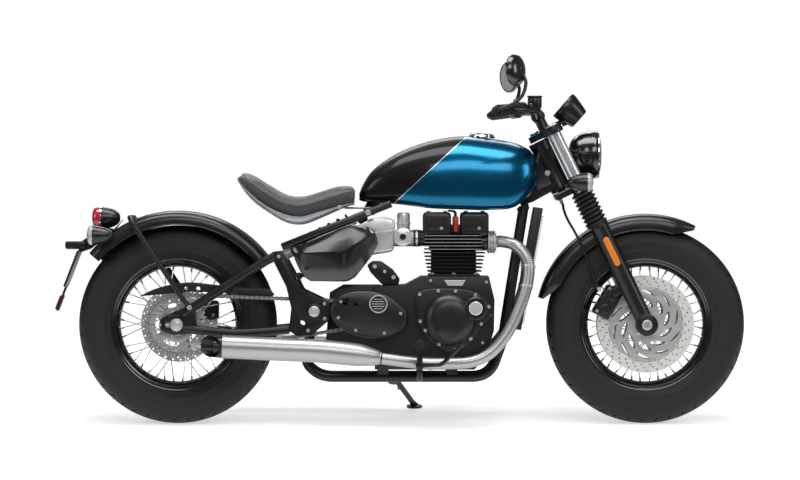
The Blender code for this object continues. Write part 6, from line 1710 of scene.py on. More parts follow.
def fin(x0, x1, half, z, thickness, corner):
    """One cooling fin with a softened rim, as a bmesh."""
    bm = bmesh.new()
    rows = []
    for inset, height in ((0.0016, -0.5), (0.0, -0.18), (0.0, 0.18), (0.0016, 0.5)):
        loop = rounded_rect(x0 + inset, x1 - inset, half - inset, corner)
        rows.append([bm.verts.new((x, y, z + thickness * height)) for x, y in loop])
    for first, second in zip(rows, rows[1:]):
        for i in range(len(first)):
            j = (i + 1) % len(first)
            bm.faces.new((first[i], first[j], second[j], second[i]))
    bm.faces.new(rows[0])
    bm.faces.new(rows[-1])
    bmesh.ops.recalc_face_normals(bm, faces=bm.faces)
    return bm


def fin_stack(rows, rim_material=None):
    """Fins from a table of (x0, x1, half, z, thickness, corner), with their rims in a second material where
    one is given.
    """
    bright = rim_material is not None
    made = []
    for row in rows:
        bm = fin(*row)
        bm.normal_update()
        for face in bm.faces:
            upright = abs(face.normal.z) < 0.3
            face.material_index = 1 if upright and bright else 0
        plate_of_two = from_bmesh(bm)
        plate_of_two.data.materials.append(MATERIALS["black_cast_engine"])
        if bright:
            plate_of_two.data.materials.append(MATERIALS[rim_material])
        made.append(plate_of_two)
    return joined(*made)


def make_cylinders():
    """Barrel block: core, six fins that grow upwards, its foot and six nuts at its base."""
    core = box((0.062, -CYLINDER_HALF + 0.018, CASE_TOP + 0.0003),
               (0.206, CYLINDER_HALF - 0.018, BARREL_TOP), 0.004)
    rows = []
    for index in range(6):
        grow = 0.0022 * index
        z = BARREL_TOP - 0.0065 - 0.0117 * (5 - index)
        rows.append((0.050 - grow, 0.224 + grow, CYLINDER_HALF + grow * 0.6, z, 0.0038, 0.020))
    fins = fin_stack(rows)
    foot = box((0.052, -CYLINDER_HALF + 0.006, CASE_TOP + 0.0003),
               (0.218, CYLINDER_HALF - 0.006, CASE_TOP + 0.007), 0.002)
    nuts = repeated(hex_bolt(0.0062, 0.0065), [
        (Vector((x, side * (CYLINDER_HALF - 0.012), CASE_TOP + 0.0068)), (0, 0, 1), 0.2)
        for x in (0.066, 0.134, 0.204) for side in (-1, 1)], "zinc_plated_steel")
    members = [*coated("black_cast_engine", core, foot), fins, nuts]
    piece("cylinders_dressed", "chassis", members, ("cylinders",), 32.0)


def rocker_cover(x0, x1):
    """Rounded rocker cover with a raised rib frame on each side."""
    low, high = HEAD_TOP - 0.004, HEAD_TOP + 0.074
    half = CYLINDER_HALF - 0.004
    cover = box((x0, -half, low), (x1, half, high), 0.013, segments=5)
    trims = []
    for side in (-1, 1):
        frame_loop = [(x0 + 0.012, low + 0.018), (x1 - 0.012, low + 0.018), (x1 - 0.018, high - 0.016),
                      (x0 + 0.018, high - 0.016)]
        inner = [(x + (0.006 if x < (x0 + x1) / 2 else -0.006),
                  z + (0.006 if z < (low + high) / 2 else -0.006))
                 for x, z in frame_loop]
        lows = sorted((side * (half - 0.0004), side * (half + 0.0020)))
        trims.append(plate(frame_loop, lows[0], lows[1], [inner], 0.0006))
    return cover, trims


def head_ports():
    """Exhaust ports at the front and inlet stubs at the rear."""
    ports = [lathe([(0.0, 0.190), (0.0275, 0.190), (0.0275, 0.2395), (0.0262, 0.243), (0.0, 0.243)],
                   (0.0, side * 0.078, 0.582), (1, 0, 0), 48) for side in (-1, 1)]
    inlets = [rod((0.070, side * 0.070, 0.594), (0.030, side * 0.070, 0.594), 0.025, 40, chamfer=0.001)
              for side in (-1, 1)]
    return coated("black_cast_engine", *ports, *inlets)


def plug_caps():
    """Red plug cap on each side with its lead."""
    caps = [rod((0.141, side * 0.108, HEAD_TOP + 0.010), (0.141, side * 0.108, HEAD_TOP + 0.060), 0.0086,
                28, chamfer=0.003) for side in (-1, 1)]
    leads = strung([smooth([(x, side * y, HEAD_TOP + z) for x, y, z in (
        (0.141, 0.108, 0.058), (0.140, 0.105, 0.071), (0.135, 0.096, 0.0765), (0.120, 0.070, 0.078))], 6)
        for side in (-1, 1)], 0.0036, "moulded_rubber", 12)
    return [*coated("red_plastic", *caps), leads]


def make_head():
    """Finned head with bright fin rims, two rocker covers, plug caps and exhaust and inlet ports."""
    core = box((0.056, -CYLINDER_HALF + 0.016, BARREL_TOP + 0.0003),
               (0.210, CYLINDER_HALF - 0.016, HEAD_TOP), 0.003)
    rows = [(0.040, 0.226, CYLINDER_HALF + 0.004, BARREL_TOP + 0.0052 + 0.0108 * i, 0.0038, 0.018)
            for i in range(5)]
    fins = fin_stack(rows, "machined_aluminium")
    members = [painted(core, "black_cast_engine"), fins]
    bolts = []
    for x0, x1 in ((0.036, 0.126), (0.156, 0.246)):
        cover, trims = rocker_cover(x0, x1)
        members.append(painted(cover, "black_cast_engine"))
        members += coated("black_cast_engine", *trims)
        for x in (x0 + 0.018, x1 - 0.018):
            for y in (-0.095, 0.0, 0.095):
                bolts.append((Vector((x, y, HEAD_TOP + 0.0738)), (0, 0, 1), 0.0))
        for side in (-1, 1):
            spot = Vector(((x0 + x1) / 2 + 0.014, side * (CYLINDER_HALF - 0.0042), HEAD_TOP + 0.022))
            bolts.append((spot, (0, side, 0), 0.0))
    bridge = box((0.110, -CYLINDER_HALF + 0.030, HEAD_TOP - 0.002),
                 (0.172, CYLINDER_HALF - 0.030, HEAD_TOP + 0.034), 0.004)
    members.append(painted(bridge, "black_cast_engine"))
    members += head_ports()
    members += plug_caps()
    members.append(repeated(socket_bolt(0.0050, 0.0042), bolts, "zinc_plated_steel"))
    blank = plate([(0.115, 0.4430), (0.160, 0.4430), (0.172, 0.4610), (0.103, 0.4610)], -0.1478, -0.1456,
                  bevel=0.0008)
    members.append(painted(blank, "machined_aluminium"))
    piece("cylinder_head_dressed", "chassis", members, ("cylinder_head",), 32.0)


CLUTCH_OUTLINE = [(0.010, 0.403), (0.040, 0.430), (0.127, 0.434), (0.198, 0.424), (0.245, 0.392),
                  (0.253, 0.352), (0.222, 0.314), (0.186, 0.262), (0.146, 0.236), (0.108, 0.236),
                  (0.058, 0.272), (0.020, 0.330)]


def make_clutch_cover():
    """Clutch cover: bolt flange, domed drum, inspection ring with its rim, oil cap and screws."""
    y = -CASE_HALF - 0.0003
    closed = [Vector(p) for p in CLUTCH_OUTLINE]
    curve = smooth([closed[-1], *closed, closed[0], closed[1]], 6)[6:-12]
    outline = [(p.x, p.y) for p in curve]
    flange = plate(outline, y - 0.0215, y, bevel=0.003)
    drum = lathe([(0.0, 0.0540), (0.030, 0.0536), (0.046, 0.0522), (0.058, 0.0490), (0.068, 0.0438),
                  (0.0755, 0.0370), (0.0805, 0.0295), (0.0830, 0.0210), (0.0, 0.0210)],
                 (0.122, y, 0.336), (0, -1, 0), 80)
    ring = lathe([(0.0, 0.0465), (0.0245, 0.0465), (0.0265, 0.0500), (0.0330, 0.0500), (0.0370, 0.0470),
                  (0.0380, 0.0420), (0.0385, 0.0200), (0.0, 0.0200)], (0.203, y, 0.372), (0, -1, 0), 64)
    rim = lathe([(0.0262, 0.0492), (0.0270, 0.0508), (0.0325, 0.0508), (0.0338, 0.0494)],
                (0.203, y, 0.372), (0, -1, 0), 64, ring=True)
    cap = lathe([(0.0, 0.0520), (0.0190, 0.0520), (0.0218, 0.0502), (0.0223, 0.0460), (0.0, 0.0460)],
                (0.203, y, 0.372), (0, -1, 0), 48)
    bolts = []
    count = 11
    lengths = [0.0]
    for a, b in zip(outline, outline[1:] + outline[:1]):
        lengths.append(lengths[-1] + math.dist(a, b))
    middle = Vector((0.132, 0.340))
    for index in range(count):
        target = lengths[-1] * (index + 0.35) / count
        spot = next(i for i in range(len(outline)) if lengths[i + 1] >= target)
        point = Vector(outline[spot])
        point += (middle - point).normalized() * 0.0075
        bolts.append((Vector((point.x, y - 0.0212, point.y)), (0, -1, 0), 0.0))
    screws = repeated(socket_bolt(0.0056, 0.0060), bolts, "machined_aluminium")
    members = coated("black_cast_engine", flange, drum, ring, rim)
    members += [painted(cap, "machined_aluminium"), screws]
    piece("clutch_cover_dressed", "chassis", members, ("clutch_cover",), 32.0)


COVER_MIDDLE = (-0.136, 0.352)
COVER_FACE = -0.176
COVER_WINDOWS = [[(-0.236, 0.386), (-0.222, 0.402), (-0.200, 0.404), (-0.206, 0.382)],
                 [(-0.186, 0.382), (-0.180, 0.392), (-0.164, 0.380)]]
COVER_INLET = (-0.106, 0.386)


def cover_point(angle, wide, high):
    """A point (x, z) on an oval round the cover's middle that sinks a little towards its front."""
    return (COVER_MIDDLE[0] + wide * math.cos(angle),
            COVER_MIDDLE[1] + high * math.sin(angle) - 0.012 * math.cos(angle))


def cover_dome():
    """Base and crowned face of the cover, both cut through by its windows."""
    outline = [cover_point(2 * math.pi * index / 48, 0.124, 0.076) for index in range(48)]
    base = plate(outline, COVER_FACE + 0.018, CHAIN_Y - 0.0085 - 0.006, COVER_WINDOWS)
    base = cut(base, box((-0.1184, -CASE_HALF - 0.0003, 0.20), (0.05, 0.0, 0.50)))
    x0, z0 = COVER_MIDDLE
    dome = loft([[(x0 + (x - x0) * scale, COVER_FACE + depth, z0 + (z - z0) * scale) for x, z in outline]
                 for depth, scale in ((0.0183, 1.0), (0.0110, 0.995), (0.0060, 0.975), (0.0025, 0.935),
                                      (0.0, 0.870))])
    dome = cut(dome, *[plate(loop, COVER_FACE - 0.01, COVER_FACE + 0.03) for loop in COVER_WINDOWS])
    return coated("black_cast_engine", base, dome)


def cover_inlet():
    """Round inlet with a bright rim and five ribs across it."""
    x, z = COVER_INLET
    centre = (x, COVER_FACE, z)
    inlet = lathe([(0.0, 0.0045), (0.0200, 0.0045), (0.0215, 0.0060), (0.0240, 0.0065), (0.0245, 0.0105),
                   (0.0295, 0.0108), (0.0308, 0.0090), (0.0312, -0.004), (0.0, -0.004)],
                  centre, (0, -1, 0), 56)
    rim = lathe([(0.0248, 0.0100), (0.0252, 0.0118), (0.0290, 0.0118), (0.0296, 0.0104)], centre,
                (0, -1, 0), 56, ring=True)
    y = COVER_FACE - 0.0048
    ribs = strung([[(x - reach, y, z + up), (x + reach, y, z + up)] for up, reach in (
        (-0.015, 0.0150), (-0.0075, 0.0200), (0.0, 0.0215), (0.0075, 0.0200), (0.015, 0.0150))],
        0.0008, "machined_aluminium", 8)
    return [painted(inlet, "moulded_black_plastic"), painted(rim, "machined_aluminium"), ribs]


def make_sprocket_cover():
    """Domed cover over the front sprocket: two windows, ribs and a ribbed round inlet."""
    y = COVER_FACE - 0.0006
    line = strung([smooth([(x, y, z) for x, z in (
        (-0.236, 0.338), (-0.196, 0.318), (-0.136, 0.303), (-0.070, 0.304), (-0.036, 0.322))], 6)],
        0.0016, "black_cast_engine", 8)
    spots = [cover_point(a, 0.104, 0.060) for a in (0.25, 1.15, 2.6, 3.5, 4.3, 5.2)]
    screws = repeated(socket_bolt(0.0050, 0.0042), [
        (Vector((x, COVER_FACE + 0.0004, z)), (0, -1, 0), 0.0) for x, z in spots], "zinc_plated_steel")
    piece("sprocket_cover_dressed", "chassis", [*cover_dome(), *cover_inlet(), line, screws],
          ("sprocket_cover",), 32.0)


def make_intake():
    """Two throttle bodies with bright end discs and caps, rubber joints and the cast air box."""
    chamber = plate([(-0.184, 0.556), (-0.130, 0.540), (-0.058, 0.552), (-0.053, 0.600), (-0.053, 0.652),
                     (-0.090, 0.662), (-0.134, 0.656), (-0.184, 0.628)], -0.094, 0.094, bevel=0.010)
    seam = plate([(-0.186, 0.600), (-0.051, 0.616), (-0.051, 0.621), (-0.186, 0.605)], -0.0955, 0.0955,
                 bevel=0.001)
    members = [*coated("machined_aluminium", chamber, seam)]
    screws = []
    for side in (-1, 1):
        y = side * 0.070
        barrel = rod((-0.056, y, 0.594), (0.012, y, 0.594), 0.0262, 40, chamfer=0.001)
        joint = lathe([(0.0, -0.010), (0.0245, -0.010), (0.0265, -0.006), (0.0265, 0.0172), (0.0, 0.0172)],
                      (0.0122, y, 0.594), (1, 0, 0), 40)
        band = lathe([(0.0262, 0.0005), (0.0275, 0.0005), (0.0275, 0.0070), (0.0262, 0.0070)],
                     (0.0122, y, 0.594), (1, 0, 0), 40, ring=True)
        disc = lathe([(0.0, 0.1120), (0.0255, 0.1120), (0.0285, 0.1105), (0.0290, 0.1080), (0.0290, 0.1000),
                      (0.0250, 0.0960), (0.0250, 0.0700), (0.0, 0.0700)],
                     (-0.028, 0.0, 0.599), (0, side, 0), 48)
        dial = lathe([(0.0, 0.1150), (0.0085, 0.1150), (0.0100, 0.1138), (0.0100, 0.1115), (0.0, 0.1115)],
                     (-0.028, 0.0, 0.599), (0, side, 0), 24)
        top = lathe([(0.0, 0.676), (0.0150, 0.676), (0.0190, 0.6735), (0.0203, 0.6690), (0.0203, 0.6450),
                     (0.0222, 0.6440), (0.0222, 0.6390), (0.0203, 0.6380), (0.0203, 0.605), (0.0, 0.605)],
                    (-0.026, y, 0.0), (0, 0, 1), 40)
        members += [painted(barrel, "cast_aluminium"), painted(joint, "moulded_rubber"),
                    painted(band, "zinc_plated_steel"), painted(disc, "machined_aluminium"),
                    painted(dial, "satin_powder_coat"), painted(top, "machined_aluminium")]
        screws += [(Vector((-0.028 + 0.0210 * math.cos(a), side * 0.1118, 0.599 + 0.0210 * math.sin(a))),
                    (0, side, 0), 0.0) for a in (0.8, 2.4, 3.9, 5.5)]
    members.append(repeated(socket_bolt(0.0030, 0.0022), screws, "zinc_plated_steel"))
    piece("intake_dressed", "chassis", members, ("intake",), 32.0)


def make_radiator():
    """Cooling core with its louvre fins between two end tanks."""
    solid = refined("radiator", 0.0015, "moulded_black_plastic")
    lean = Vector((0.0706, 0.0, 0.390)).normalized()
    front = Vector((lean.z, 0.0, -lean.x))
    start = Vector((0.3560, 0.0, 0.312)) + front * 0.0009
    bars = []
    for index in range(52):
        spot = start + lean * (0.010 + 0.0068 * index)
        bars.append([spot + Vector((0, -0.080, 0)), spot + Vector((0, 0.080, 0))])
    louvres = strung(bars, 0.0014, "satin_powder_coat", 6)
    piece("radiator_dressed", "chassis", [solid, louvres], ("radiator",), 32.0)


# Silencer's line: place, radius, height
SILENCER_Y = 0.220
SILENCER_RADIUS = 0.037
SILENCER_STATIONS = [
    (-0.098, 0.0192, 0.2150), (-0.112, 0.0245, 0.2170), (-0.150, 0.0330, 0.2220),
    (-0.178, 0.0363, 0.2260), (-0.230, 0.0370, 0.2315), (-0.300, 0.0370, 0.2380),
    (-0.390, 0.0370, 0.2415), (-0.480, 0.0370, 0.2460), (-0.600, 0.0370, 0.2510)]
HEADER_ROUTE = [
    (0.2436, 0.078, 0.582), (0.262, 0.078, 0.582), (0.290, 0.094, 0.583), (0.330, 0.120, 0.572),
    (0.360, 0.130, 0.542), (0.373, 0.136, 0.500), (0.366, 0.144, 0.440), (0.344, 0.152, 0.376),
    (0.306, 0.162, 0.296), (0.252, 0.172, 0.232), (0.192, 0.180, 0.203), (0.110, 0.190, 0.197),
    (0.020, 0.202, 0.199), (-0.096, 0.216, 0.214)]
EXHAUST_PORT = Vector((0.2436, 0.078, 0.582))


def silencer_tip(y):
    """Black end of the silencer, cut off at 45 degrees, and the pipe inside it."""
    tip = bar([Vector((-0.5990, y, 0.2508)), Vector((-0.6280, y, 0.2522)), Vector((-0.700, y, 0.2560))],
              0.0345, 10)
    slash = box((-0.16, -0.14, -0.10), (0.0, 0.14, 0.10))
    slash.data.transform(Matrix.Translation((-0.637, y, 0.252))
                         @ Matrix.Rotation(math.copysign(math.radians(45.0), -y), 4, "Z"))
    mouth = rod((-0.585, y, 0.2490), (-0.720, y, 0.2570), 0.0318, 56)
    tip = cut(tip, slash, mouth)
    inner = lathe([(0.0215, 0.0), (0.0230, 0.0), (0.0230, 0.030), (0.0215, 0.030)], (-0.598, y, 0.2497),
                  (-1, 0, 0.06), 40, ring=True)
    return coated("satin_powder_coat", tip, inner)


def silencer_bands(stations, y):
    """A narrow raised band round each end of the silencer."""
    bands = []
    for a, b in ((0, 1), (-1, -2)):
        spot, ahead = stations[a], stations[b]
        centre = Vector((spot.x, y, spot.z))
        away = (Vector((ahead.x, y, ahead.z)) - centre).normalized()
        bands.append(lathe([(spot.y - 0.0012, 0.0), (spot.y + 0.0011, 0.0005), (spot.y + 0.0011, 0.0070),
                            (spot.y - 0.0012, 0.0075)], centre, away, 56, ring=True))
    return coated("brushed_stainless", *bands)


def exhaust_flange(port):
    """Finned flange at the head."""
    rings = [(0.0190, 0.0008)]
    for index in range(3):
        start = 0.0008 + 0.0086 * index
        rings += [(radius, start + along) for radius, along in (
            (0.0355, 0.0), (0.0362, 0.0010), (0.0362, 0.0034), (0.0355, 0.0044), (0.0285, 0.0046),
            (0.0285, 0.0084))]
    rings.append((0.0190, 0.0264))
    return painted(lathe(rings, port, (1, 0, 0), 48, ring=True), "cast_aluminium")


def make_exhaust(side):
    """Header, heat shield clamp, long silencer with bands and a slash-cut black tip."""
    y = side * SILENCER_Y
    port = Vector((EXHAUST_PORT.x, side * EXHAUST_PORT.y, EXHAUST_PORT.z))
    route = [Vector((x, side * across, z)) for x, across, z in HEADER_ROUTE]
    pipe = bar(smooth(route, 8), 0.0187, 8)
    stations = smooth(SILENCER_STATIONS, 6)
    muffler = bar([Vector((p.x, y, p.z)) for p in stations], SILENCER_RADIUS, 10,
                  [p.y / SILENCER_RADIUS for p in stations])
    members = coated("brushed_stainless", pipe, muffler)
    members += silencer_tip(y)
    members += silencer_bands(stations, y)
    members.append(exhaust_flange(port))
    wide = Vector((0.3705, side * 0.1390, 0.4760))
    along = (route[6] - route[5]).normalized()
    members += coated("zinc_plated_steel", *[
        lathe([(0.0185, -0.004), (0.0203, -0.004), (0.0203, 0.004), (0.0185, 0.004)],
              wide + along * offset, along, 40, ring=True) for offset in (-0.030, 0.034)])
    nuts = [(port + Vector((0.0254, 0.0225 * s, 0.012 * s)), (1, 0, 0), 0.0) for s in (-1, 1)]
    members.append(repeated(socket_bolt(0.0040, 0.0030), nuts, "zinc_plated_steel"))
    word = "left" if side > 0 else "right"
    piece("exhaust_dressed_" + word, "chassis", members, ("exhaust_" + word,), 40.0)


# Tank and seat

# Stations of the tank, front first: place, bottom, top, half width
TANK_STATIONS = [
    (0.402, 0.782, 0.836, 0.060), (0.392, 0.752, 0.863, 0.086), (0.366, 0.722, 0.885, 0.112),
    (0.318, 0.690, 0.903, 0.132), (0.240, 0.684, 0.915, 0.142), (0.155, 0.686, 0.921, 0.141),
    (0.060, 0.690, 0.906, 0.133), (-0.024, 0.701, 0.877, 0.116), (-0.085, 0.706, 0.843, 0.098),
    (-0.130, 0.7085, 0.806, 0.078), (-0.156, 0.712, 0.766, 0.058), (-0.168, 0.716, 0.738, 0.036)]


def make_tank():
    """Teardrop tank with its seam flange, lofted finely through its stations."""
    sections = []
    fine = smooth(TANK_STATIONS_VECTORS, 6)
    for x, low, high, half in fine:
        flange = low + 0.010
        height = high - flange
        belly = 0.36
        section = []
        for turn in range(-18, 19):
            angle = math.radians(90.0 * turn / 18)
            reach = abs(math.sin(angle)) ** 0.80
            rise = max(math.cos(angle), 0.0) ** 0.78
            section.append((x, math.copysign(reach, turn) * half if turn else 0.0,
                            flange + height * (belly + (1 - belly) * rise)))
        lower = [(0.992, 0.80), (0.975, 0.45), (0.945, 0.20), (0.900, 0.055), (0.872, 0.0)]
        under = [(x, half * w, flange + height * belly * h) for w, h in lower]
        rim = [(x, half * 0.900, flange - 0.0030), (x, half * 0.900, flange - 0.0058),
               (x, half * 0.850, low + 0.0010), (x, half * 0.800, low)]
        section += under + rim
        section += [(x, -y, z) for _, y, z in reversed(under + rim)]
        sections.append(section)
    tank = loft(sections)
    tunnel = box((-0.145, -0.042, 0.60), (0.50, 0.042, 0.760))
    nose = box((0.300, -0.042, 0.60), (0.50, 0.042, 0.822))
    notch = box((0.384, -0.042, 0.60), (0.50, 0.042, 0.95))
    tank = painted(cut(tank, tunnel, nose, notch), "two_tone_tank_lacquer")
    piece("tank_dressed", "chassis", [tank], ("tank",), 40.0)


TANK_STATIONS_VECTORS = [Vector(row) for row in TANK_STATIONS]


def make_tank_cap():
    """Chromed screw cap with a stepped edge."""
    place, up = (0.226, 0.0, 0.9160), (0.0706, 0, 1)
    cap = lathe([(0.0, 0.0168), (0.020, 0.0165), (0.029, 0.0156), (0.0345, 0.0138), (0.0375, 0.0112),
                 (0.0380, 0.0085), (0.0402, 0.0078), (0.0413, 0.0062), (0.0413, 0.0008), (0.0, 0.0008)],
                place, up, 72)
    lock = lathe([(0.0, 0.0160), (0.0, 0.0172), (0.0060, 0.0172), (0.0075, 0.0164)], place, up, 32)
    bpy.data.objects.remove(lock, do_unlink=True)
    piece("tank_cap_dressed", "chassis", [painted(cap, "chromed_steel")], ("tank_cap",))


# Saddle from its tail to its nose: place, pan's underside, line between pan and pad, pad's top, half width
SEAT_STATIONS = [
    (-0.556, 0.778, 0.786, 0.794, 0.118), (-0.532, 0.742, 0.756, 0.802, 0.140),
    (-0.500, 0.708, 0.726, 0.787, 0.152), (-0.455, 0.676, 0.694, 0.757, 0.158),
    (-0.400, 0.645, 0.670, 0.727, 0.154), (-0.350, 0.638, 0.664, 0.722, 0.142),
    (-0.300, 0.655, 0.678, 0.735, 0.124), (-0.250, 0.677, 0.692, 0.752, 0.106),
    (-0.205, 0.696, 0.704, 0.766, 0.092), (-0.184, 0.701, 0.706, 0.757, 0.084)]


def seat_rows(per_span):
    """Stations of the pad along its length: place, bottom, seam and top."""
    return smooth([Vector((x, low, middle, top))
                   for x, low, middle, top, _ in SEAT_STATIONS], per_span)


def seat_half(x):
    """Half width of the pad at a place along it."""
    places = [(row[0], row[4]) for row in SEAT_STATIONS]
    for (x0, h0), (x1, h1) in zip(places, places[1:]):
        if x <= x1:
            t = max(0.0, (x - x0) / (x1 - x0))
            t = t * t * (3 - 2 * t) * 0.35 + t * 0.65
            return h0 + (h1 - h0) * t
    return places[-1][1]


def pad_form(inset):
    """The pad's closed form, a little inside its full size, crowned across its width."""
    sections = []
    for x, _, middle, top in seat_rows(4):
        half = seat_half(x) - inset
        bottom, high = middle + 0.0005, top - inset
        height = max(high - bottom, 0.006)
        section = []
        for turn in range(-10, 11):
            t = turn / 10
            across = math.sin(t * math.pi / 2)
            drop = abs(t) ** 3.4
            section.append((x, across * half * (0.985 if abs(t) == 1 else 1.0),
                            bottom + height * (1.0 - 0.52 * drop) + 0.004 * (1 - t * t)))
        section += [(x, half * share, bottom + height * rise) for share, rise in (
            (0.965, 0.18), (0.90, 0.0), (0.45, 0.0), (0.0, 0.0), (-0.45, 0.0), (-0.90, 0.0), (-0.965, 0.18))]
        sections.append(section)
    return loft(sections)


def inflate(source, voxel, limit):
    """Blows the pad up as cloth under pressure, with every point held near where it began."""
    remesh = source.modifiers.new("Even mesh", "REMESH")
    remesh.mode = "VOXEL"
    remesh.voxel_size = voxel
    remesh.use_smooth_shade = True
    made = evaluated(source)
    start = [vertex.co.copy() for vertex in made.data.vertices]
    scene = bpy.context.scene
    cloth = made.modifiers.new("Padding", "CLOTH")
    cloth.settings.quality = 6
    cloth.settings.mass = 0.25
    cloth.settings.tension_stiffness = 25.0
    cloth.settings.compression_stiffness = 25.0
    cloth.settings.bending_stiffness = 1.5
    cloth.settings.use_pressure = True
    cloth.settings.uniform_pressure_force = 4.0
    cloth.settings.effector_weights.gravity = 0.0
    cloth.point_cache.frame_start = 1
    cloth.point_cache.frame_end = 20
    for step in range(1, 21):
        scene.frame_set(step)
    blown = evaluated(made)
    scene.frame_set(1)
    for vertex, first in zip(blown.data.vertices, start):
        move = vertex.co - first
        if move.length > limit:
            vertex.co = first + move.normalized() * limit
    calm = blown.modifiers.new("Calm", "SMOOTH")
    calm.factor = 0.5
    calm.iterations = 4
    return subdivided(blown, 1)


def laid(surface, points, lift):
    """The points moved to the surface nearest to them and a little above it."""
    fitted = []
    for point in points:
        place, normal, _, _ = surface.find_nearest(point)
        fitted.append(place + normal * lift)
    return fitted


def seat_sewing(surface):
    """Piping along both sides and across the tail, and the double stitches above it."""
    rows = seat_rows(6)[3:-3]
    seams = [laid(surface, [Vector((x, side * seat_half(x) * 0.935, middle + (top - middle) * 0.60))
                            for x, _, middle, top in rows], 0.0006) for side in (-1, 1)]
    turns = [-1 + 2 * index / 14 for index in range(15)]
    tail = laid(surface, [Vector((-0.529 - 0.012 * (1 - t * t), 0.125 * t, 0.800)) for t in turns], 0.0006)
    piping = strung([*seams, tail], 0.0019, "grained_vinyl", 10)
    above = Vector((0, 0, 0.0042))
    sewn = []
    for seam in seams:
        for a, b in zip(seam, seam[1:]):
            a, b = a + above, b + above
            sewn += [laid(surface, (a.lerp(b, part), a.lerp(b, part + 0.25)), 0.0003)
                     for part in (0.15, 0.65)]
    return [piping, strung(sewn, 0.00045, "seat_thread", 5)]


def seat_pan():
    """Pressed pan with a rolled rim under the pad."""
    sections = []
    for x, low, middle, _ in seat_rows(6):
        half = seat_half(x)
        rim = half + 0.0008
        right = [(half * 0.88, low), (half * 0.97, low + (middle - low) * 0.30),
                 (rim, low + (middle - low) * 0.62), (rim, middle - 0.0010), (rim - 0.0016, middle - 0.0002)]
        sections.append([*[(x, -y, z) for y, z in right], (x, 0.0, middle - 0.0002),
                         *[(x, y, z) for y, z in reversed(right)]])
    return painted(loft(sections), "satin_aluminium")


def make_seat():
    """Padded solo seat: inflated cover with piped seams on its pressed aluminium pan."""
    pad = painted(inflate(pad_form(0.004), 0.0055, 0.006), "grained_vinyl")
    sewing = seat_sewing(bvh_of(pad))
    made = piece("seat_pad_dressed", "chassis", [pad, *sewing], ("seat_pad",), 60.0)
    foot = REAR_TUBE_TOP[1] + 0.0118
    tongues = []
    for side in (-1, 1):
        near, far = outward(side, 0.026, 0.054)
        tongues.append(box((-0.215, near, foot), (-0.124, far, foot + 0.0065), 0.0015))
    bolts = repeated(socket_bolt(0.0065, 0.0030), [
        (Vector((-0.230, side * (seat_half(-0.230) + 0.0006), 0.6935)), (0, side, 0), 0.0)
        for side in (-1, 1)], "zinc_plated_steel")
    piece("seat_pan_dressed", "chassis", [seat_pan(), *coated("satin_aluminium", *tongues), bolts],
          ("seat_pan",), 35.0)


def bvh_of(source):
    """A search tree over the object's faces."""
    bm = bmesh.new()
    bm.from_mesh(source.data)
    tree = BVHTree.FromBMesh(bm)
    bm.free()
    return tree


# Rear end and foot controls


def make_mudguard_stay():
    """Hoop over the mudguard with a bolt at each foot."""
    half = 0.124 + 0.0145 + 0.0085 + 0.0003
    angle = math.radians(113.5)
    top = REAR_AXLE + Vector((math.cos(angle), 0, math.sin(angle))) * (GUARD_OUTSIDE + 0.0085 + 0.0003)
    left = [(-0.704, half, 0.370), (-0.726, half, 0.396), (top.x + 0.006, half, top.z - 0.012),
            (top.x, half - 0.030, top.z)]
    stay = bar(rounded(left + [(x, -y, z) for x, y, z in reversed(left)], 0.022, 8), 0.0083, 6)
    bolts = repeated(socket_bolt(0.0075, 0.0045), [
        (Vector((-0.7075, side * (half + 0.0078), 0.3735)), (0, side, 0), 0.0) for side in (-1, 1)],
        "zinc_plated_steel")
    piece("mudguard_stay_dressed", "chassis", [painted(stay, "satin_powder_coat"), bolts],
          ("mudguard_stay",))


def make_tail_lamp():
    """Round lamp: black shell, bright ring, red lens with three moulded rings."""
    z = 0.659
    centre = (0.0, 0.0, z)
    shell = lathe([(0.0, -0.936), (0.008, -0.9366), (0.015, -0.9395), (0.0225, -0.947), (0.0285, -0.958),
                   (0.0325, -0.972), (0.0345, -0.988), (0.0345, -0.9975), (0.0, -0.9975)], centre,
                  (1, 0, 0), 48)
    ring = lathe([(0.0335, -0.9960), (0.0355, -0.9965), (0.0355, -1.0010), (0.0335, -1.0015)], centre,
                 (1, 0, 0), 48, ring=True)
    lens = lathe([(0.0, -0.9970), (0.0338, -0.9970), (0.0338, -1.0110), (0.0310, -1.0190), (0.0250, -1.0235),
                  (0.0130, -1.0262), (0.0, -1.0268)], centre, (1, 0, 0), 48)
    turns = [2 * math.pi * i / 36 for i in range(37)]
    rings = strung([[Vector((-1.0212 - 0.0035 * (1 - r / 0.0270), r * math.cos(a), z + r * math.sin(a)))
                     for a in turns] for r in (0.0270, 0.0200, 0.0120)], 0.0006, "red_lens", 6)
    piece("tail_lamp_dressed", "chassis", [
        painted(shell, "satin_black_lacquer"), painted(ring, "chromed_steel"), painted(lens, "red_lens"),
        rings], ("tail_lamp",))


def make_chain_guard():
    """Long plate over the chain with three holes and a rolled lip."""
    outline = [Vector(p) for p in ((-0.866, 0.409), (-0.830, 0.4265), (-0.790, 0.440), (-0.745, 0.4485),
                                   (-0.700, 0.452), (-0.630, 0.4445), (-0.560, 0.4365), (-0.500, 0.4335),
                                   (-0.450, 0.4315), (-0.436, 0.412), (-0.560, 0.418), (-0.700, 0.424),
                                   (-0.780, 0.4165))]
    y = CHAIN_Y - 0.0085
    holes = [circle((x, 0.4345 if x < -0.70 else 0.4340), 0.0062, 20) for x in (-0.752, -0.720, -0.681)]
    guard = plate([(p.x, p.y) for p in outline], y - 0.0105, y - 0.0078, holes, 0.0008)
    lip = strung([[Vector((p.x, y - 0.0095, p.y)) for p in smooth(outline[:9], 4)]], 0.0016,
                 "moulded_black_plastic", 8)
    piece("chain_guard_dressed", "chassis", [painted(guard, "moulded_black_plastic"), lip], ("chain_guard",))


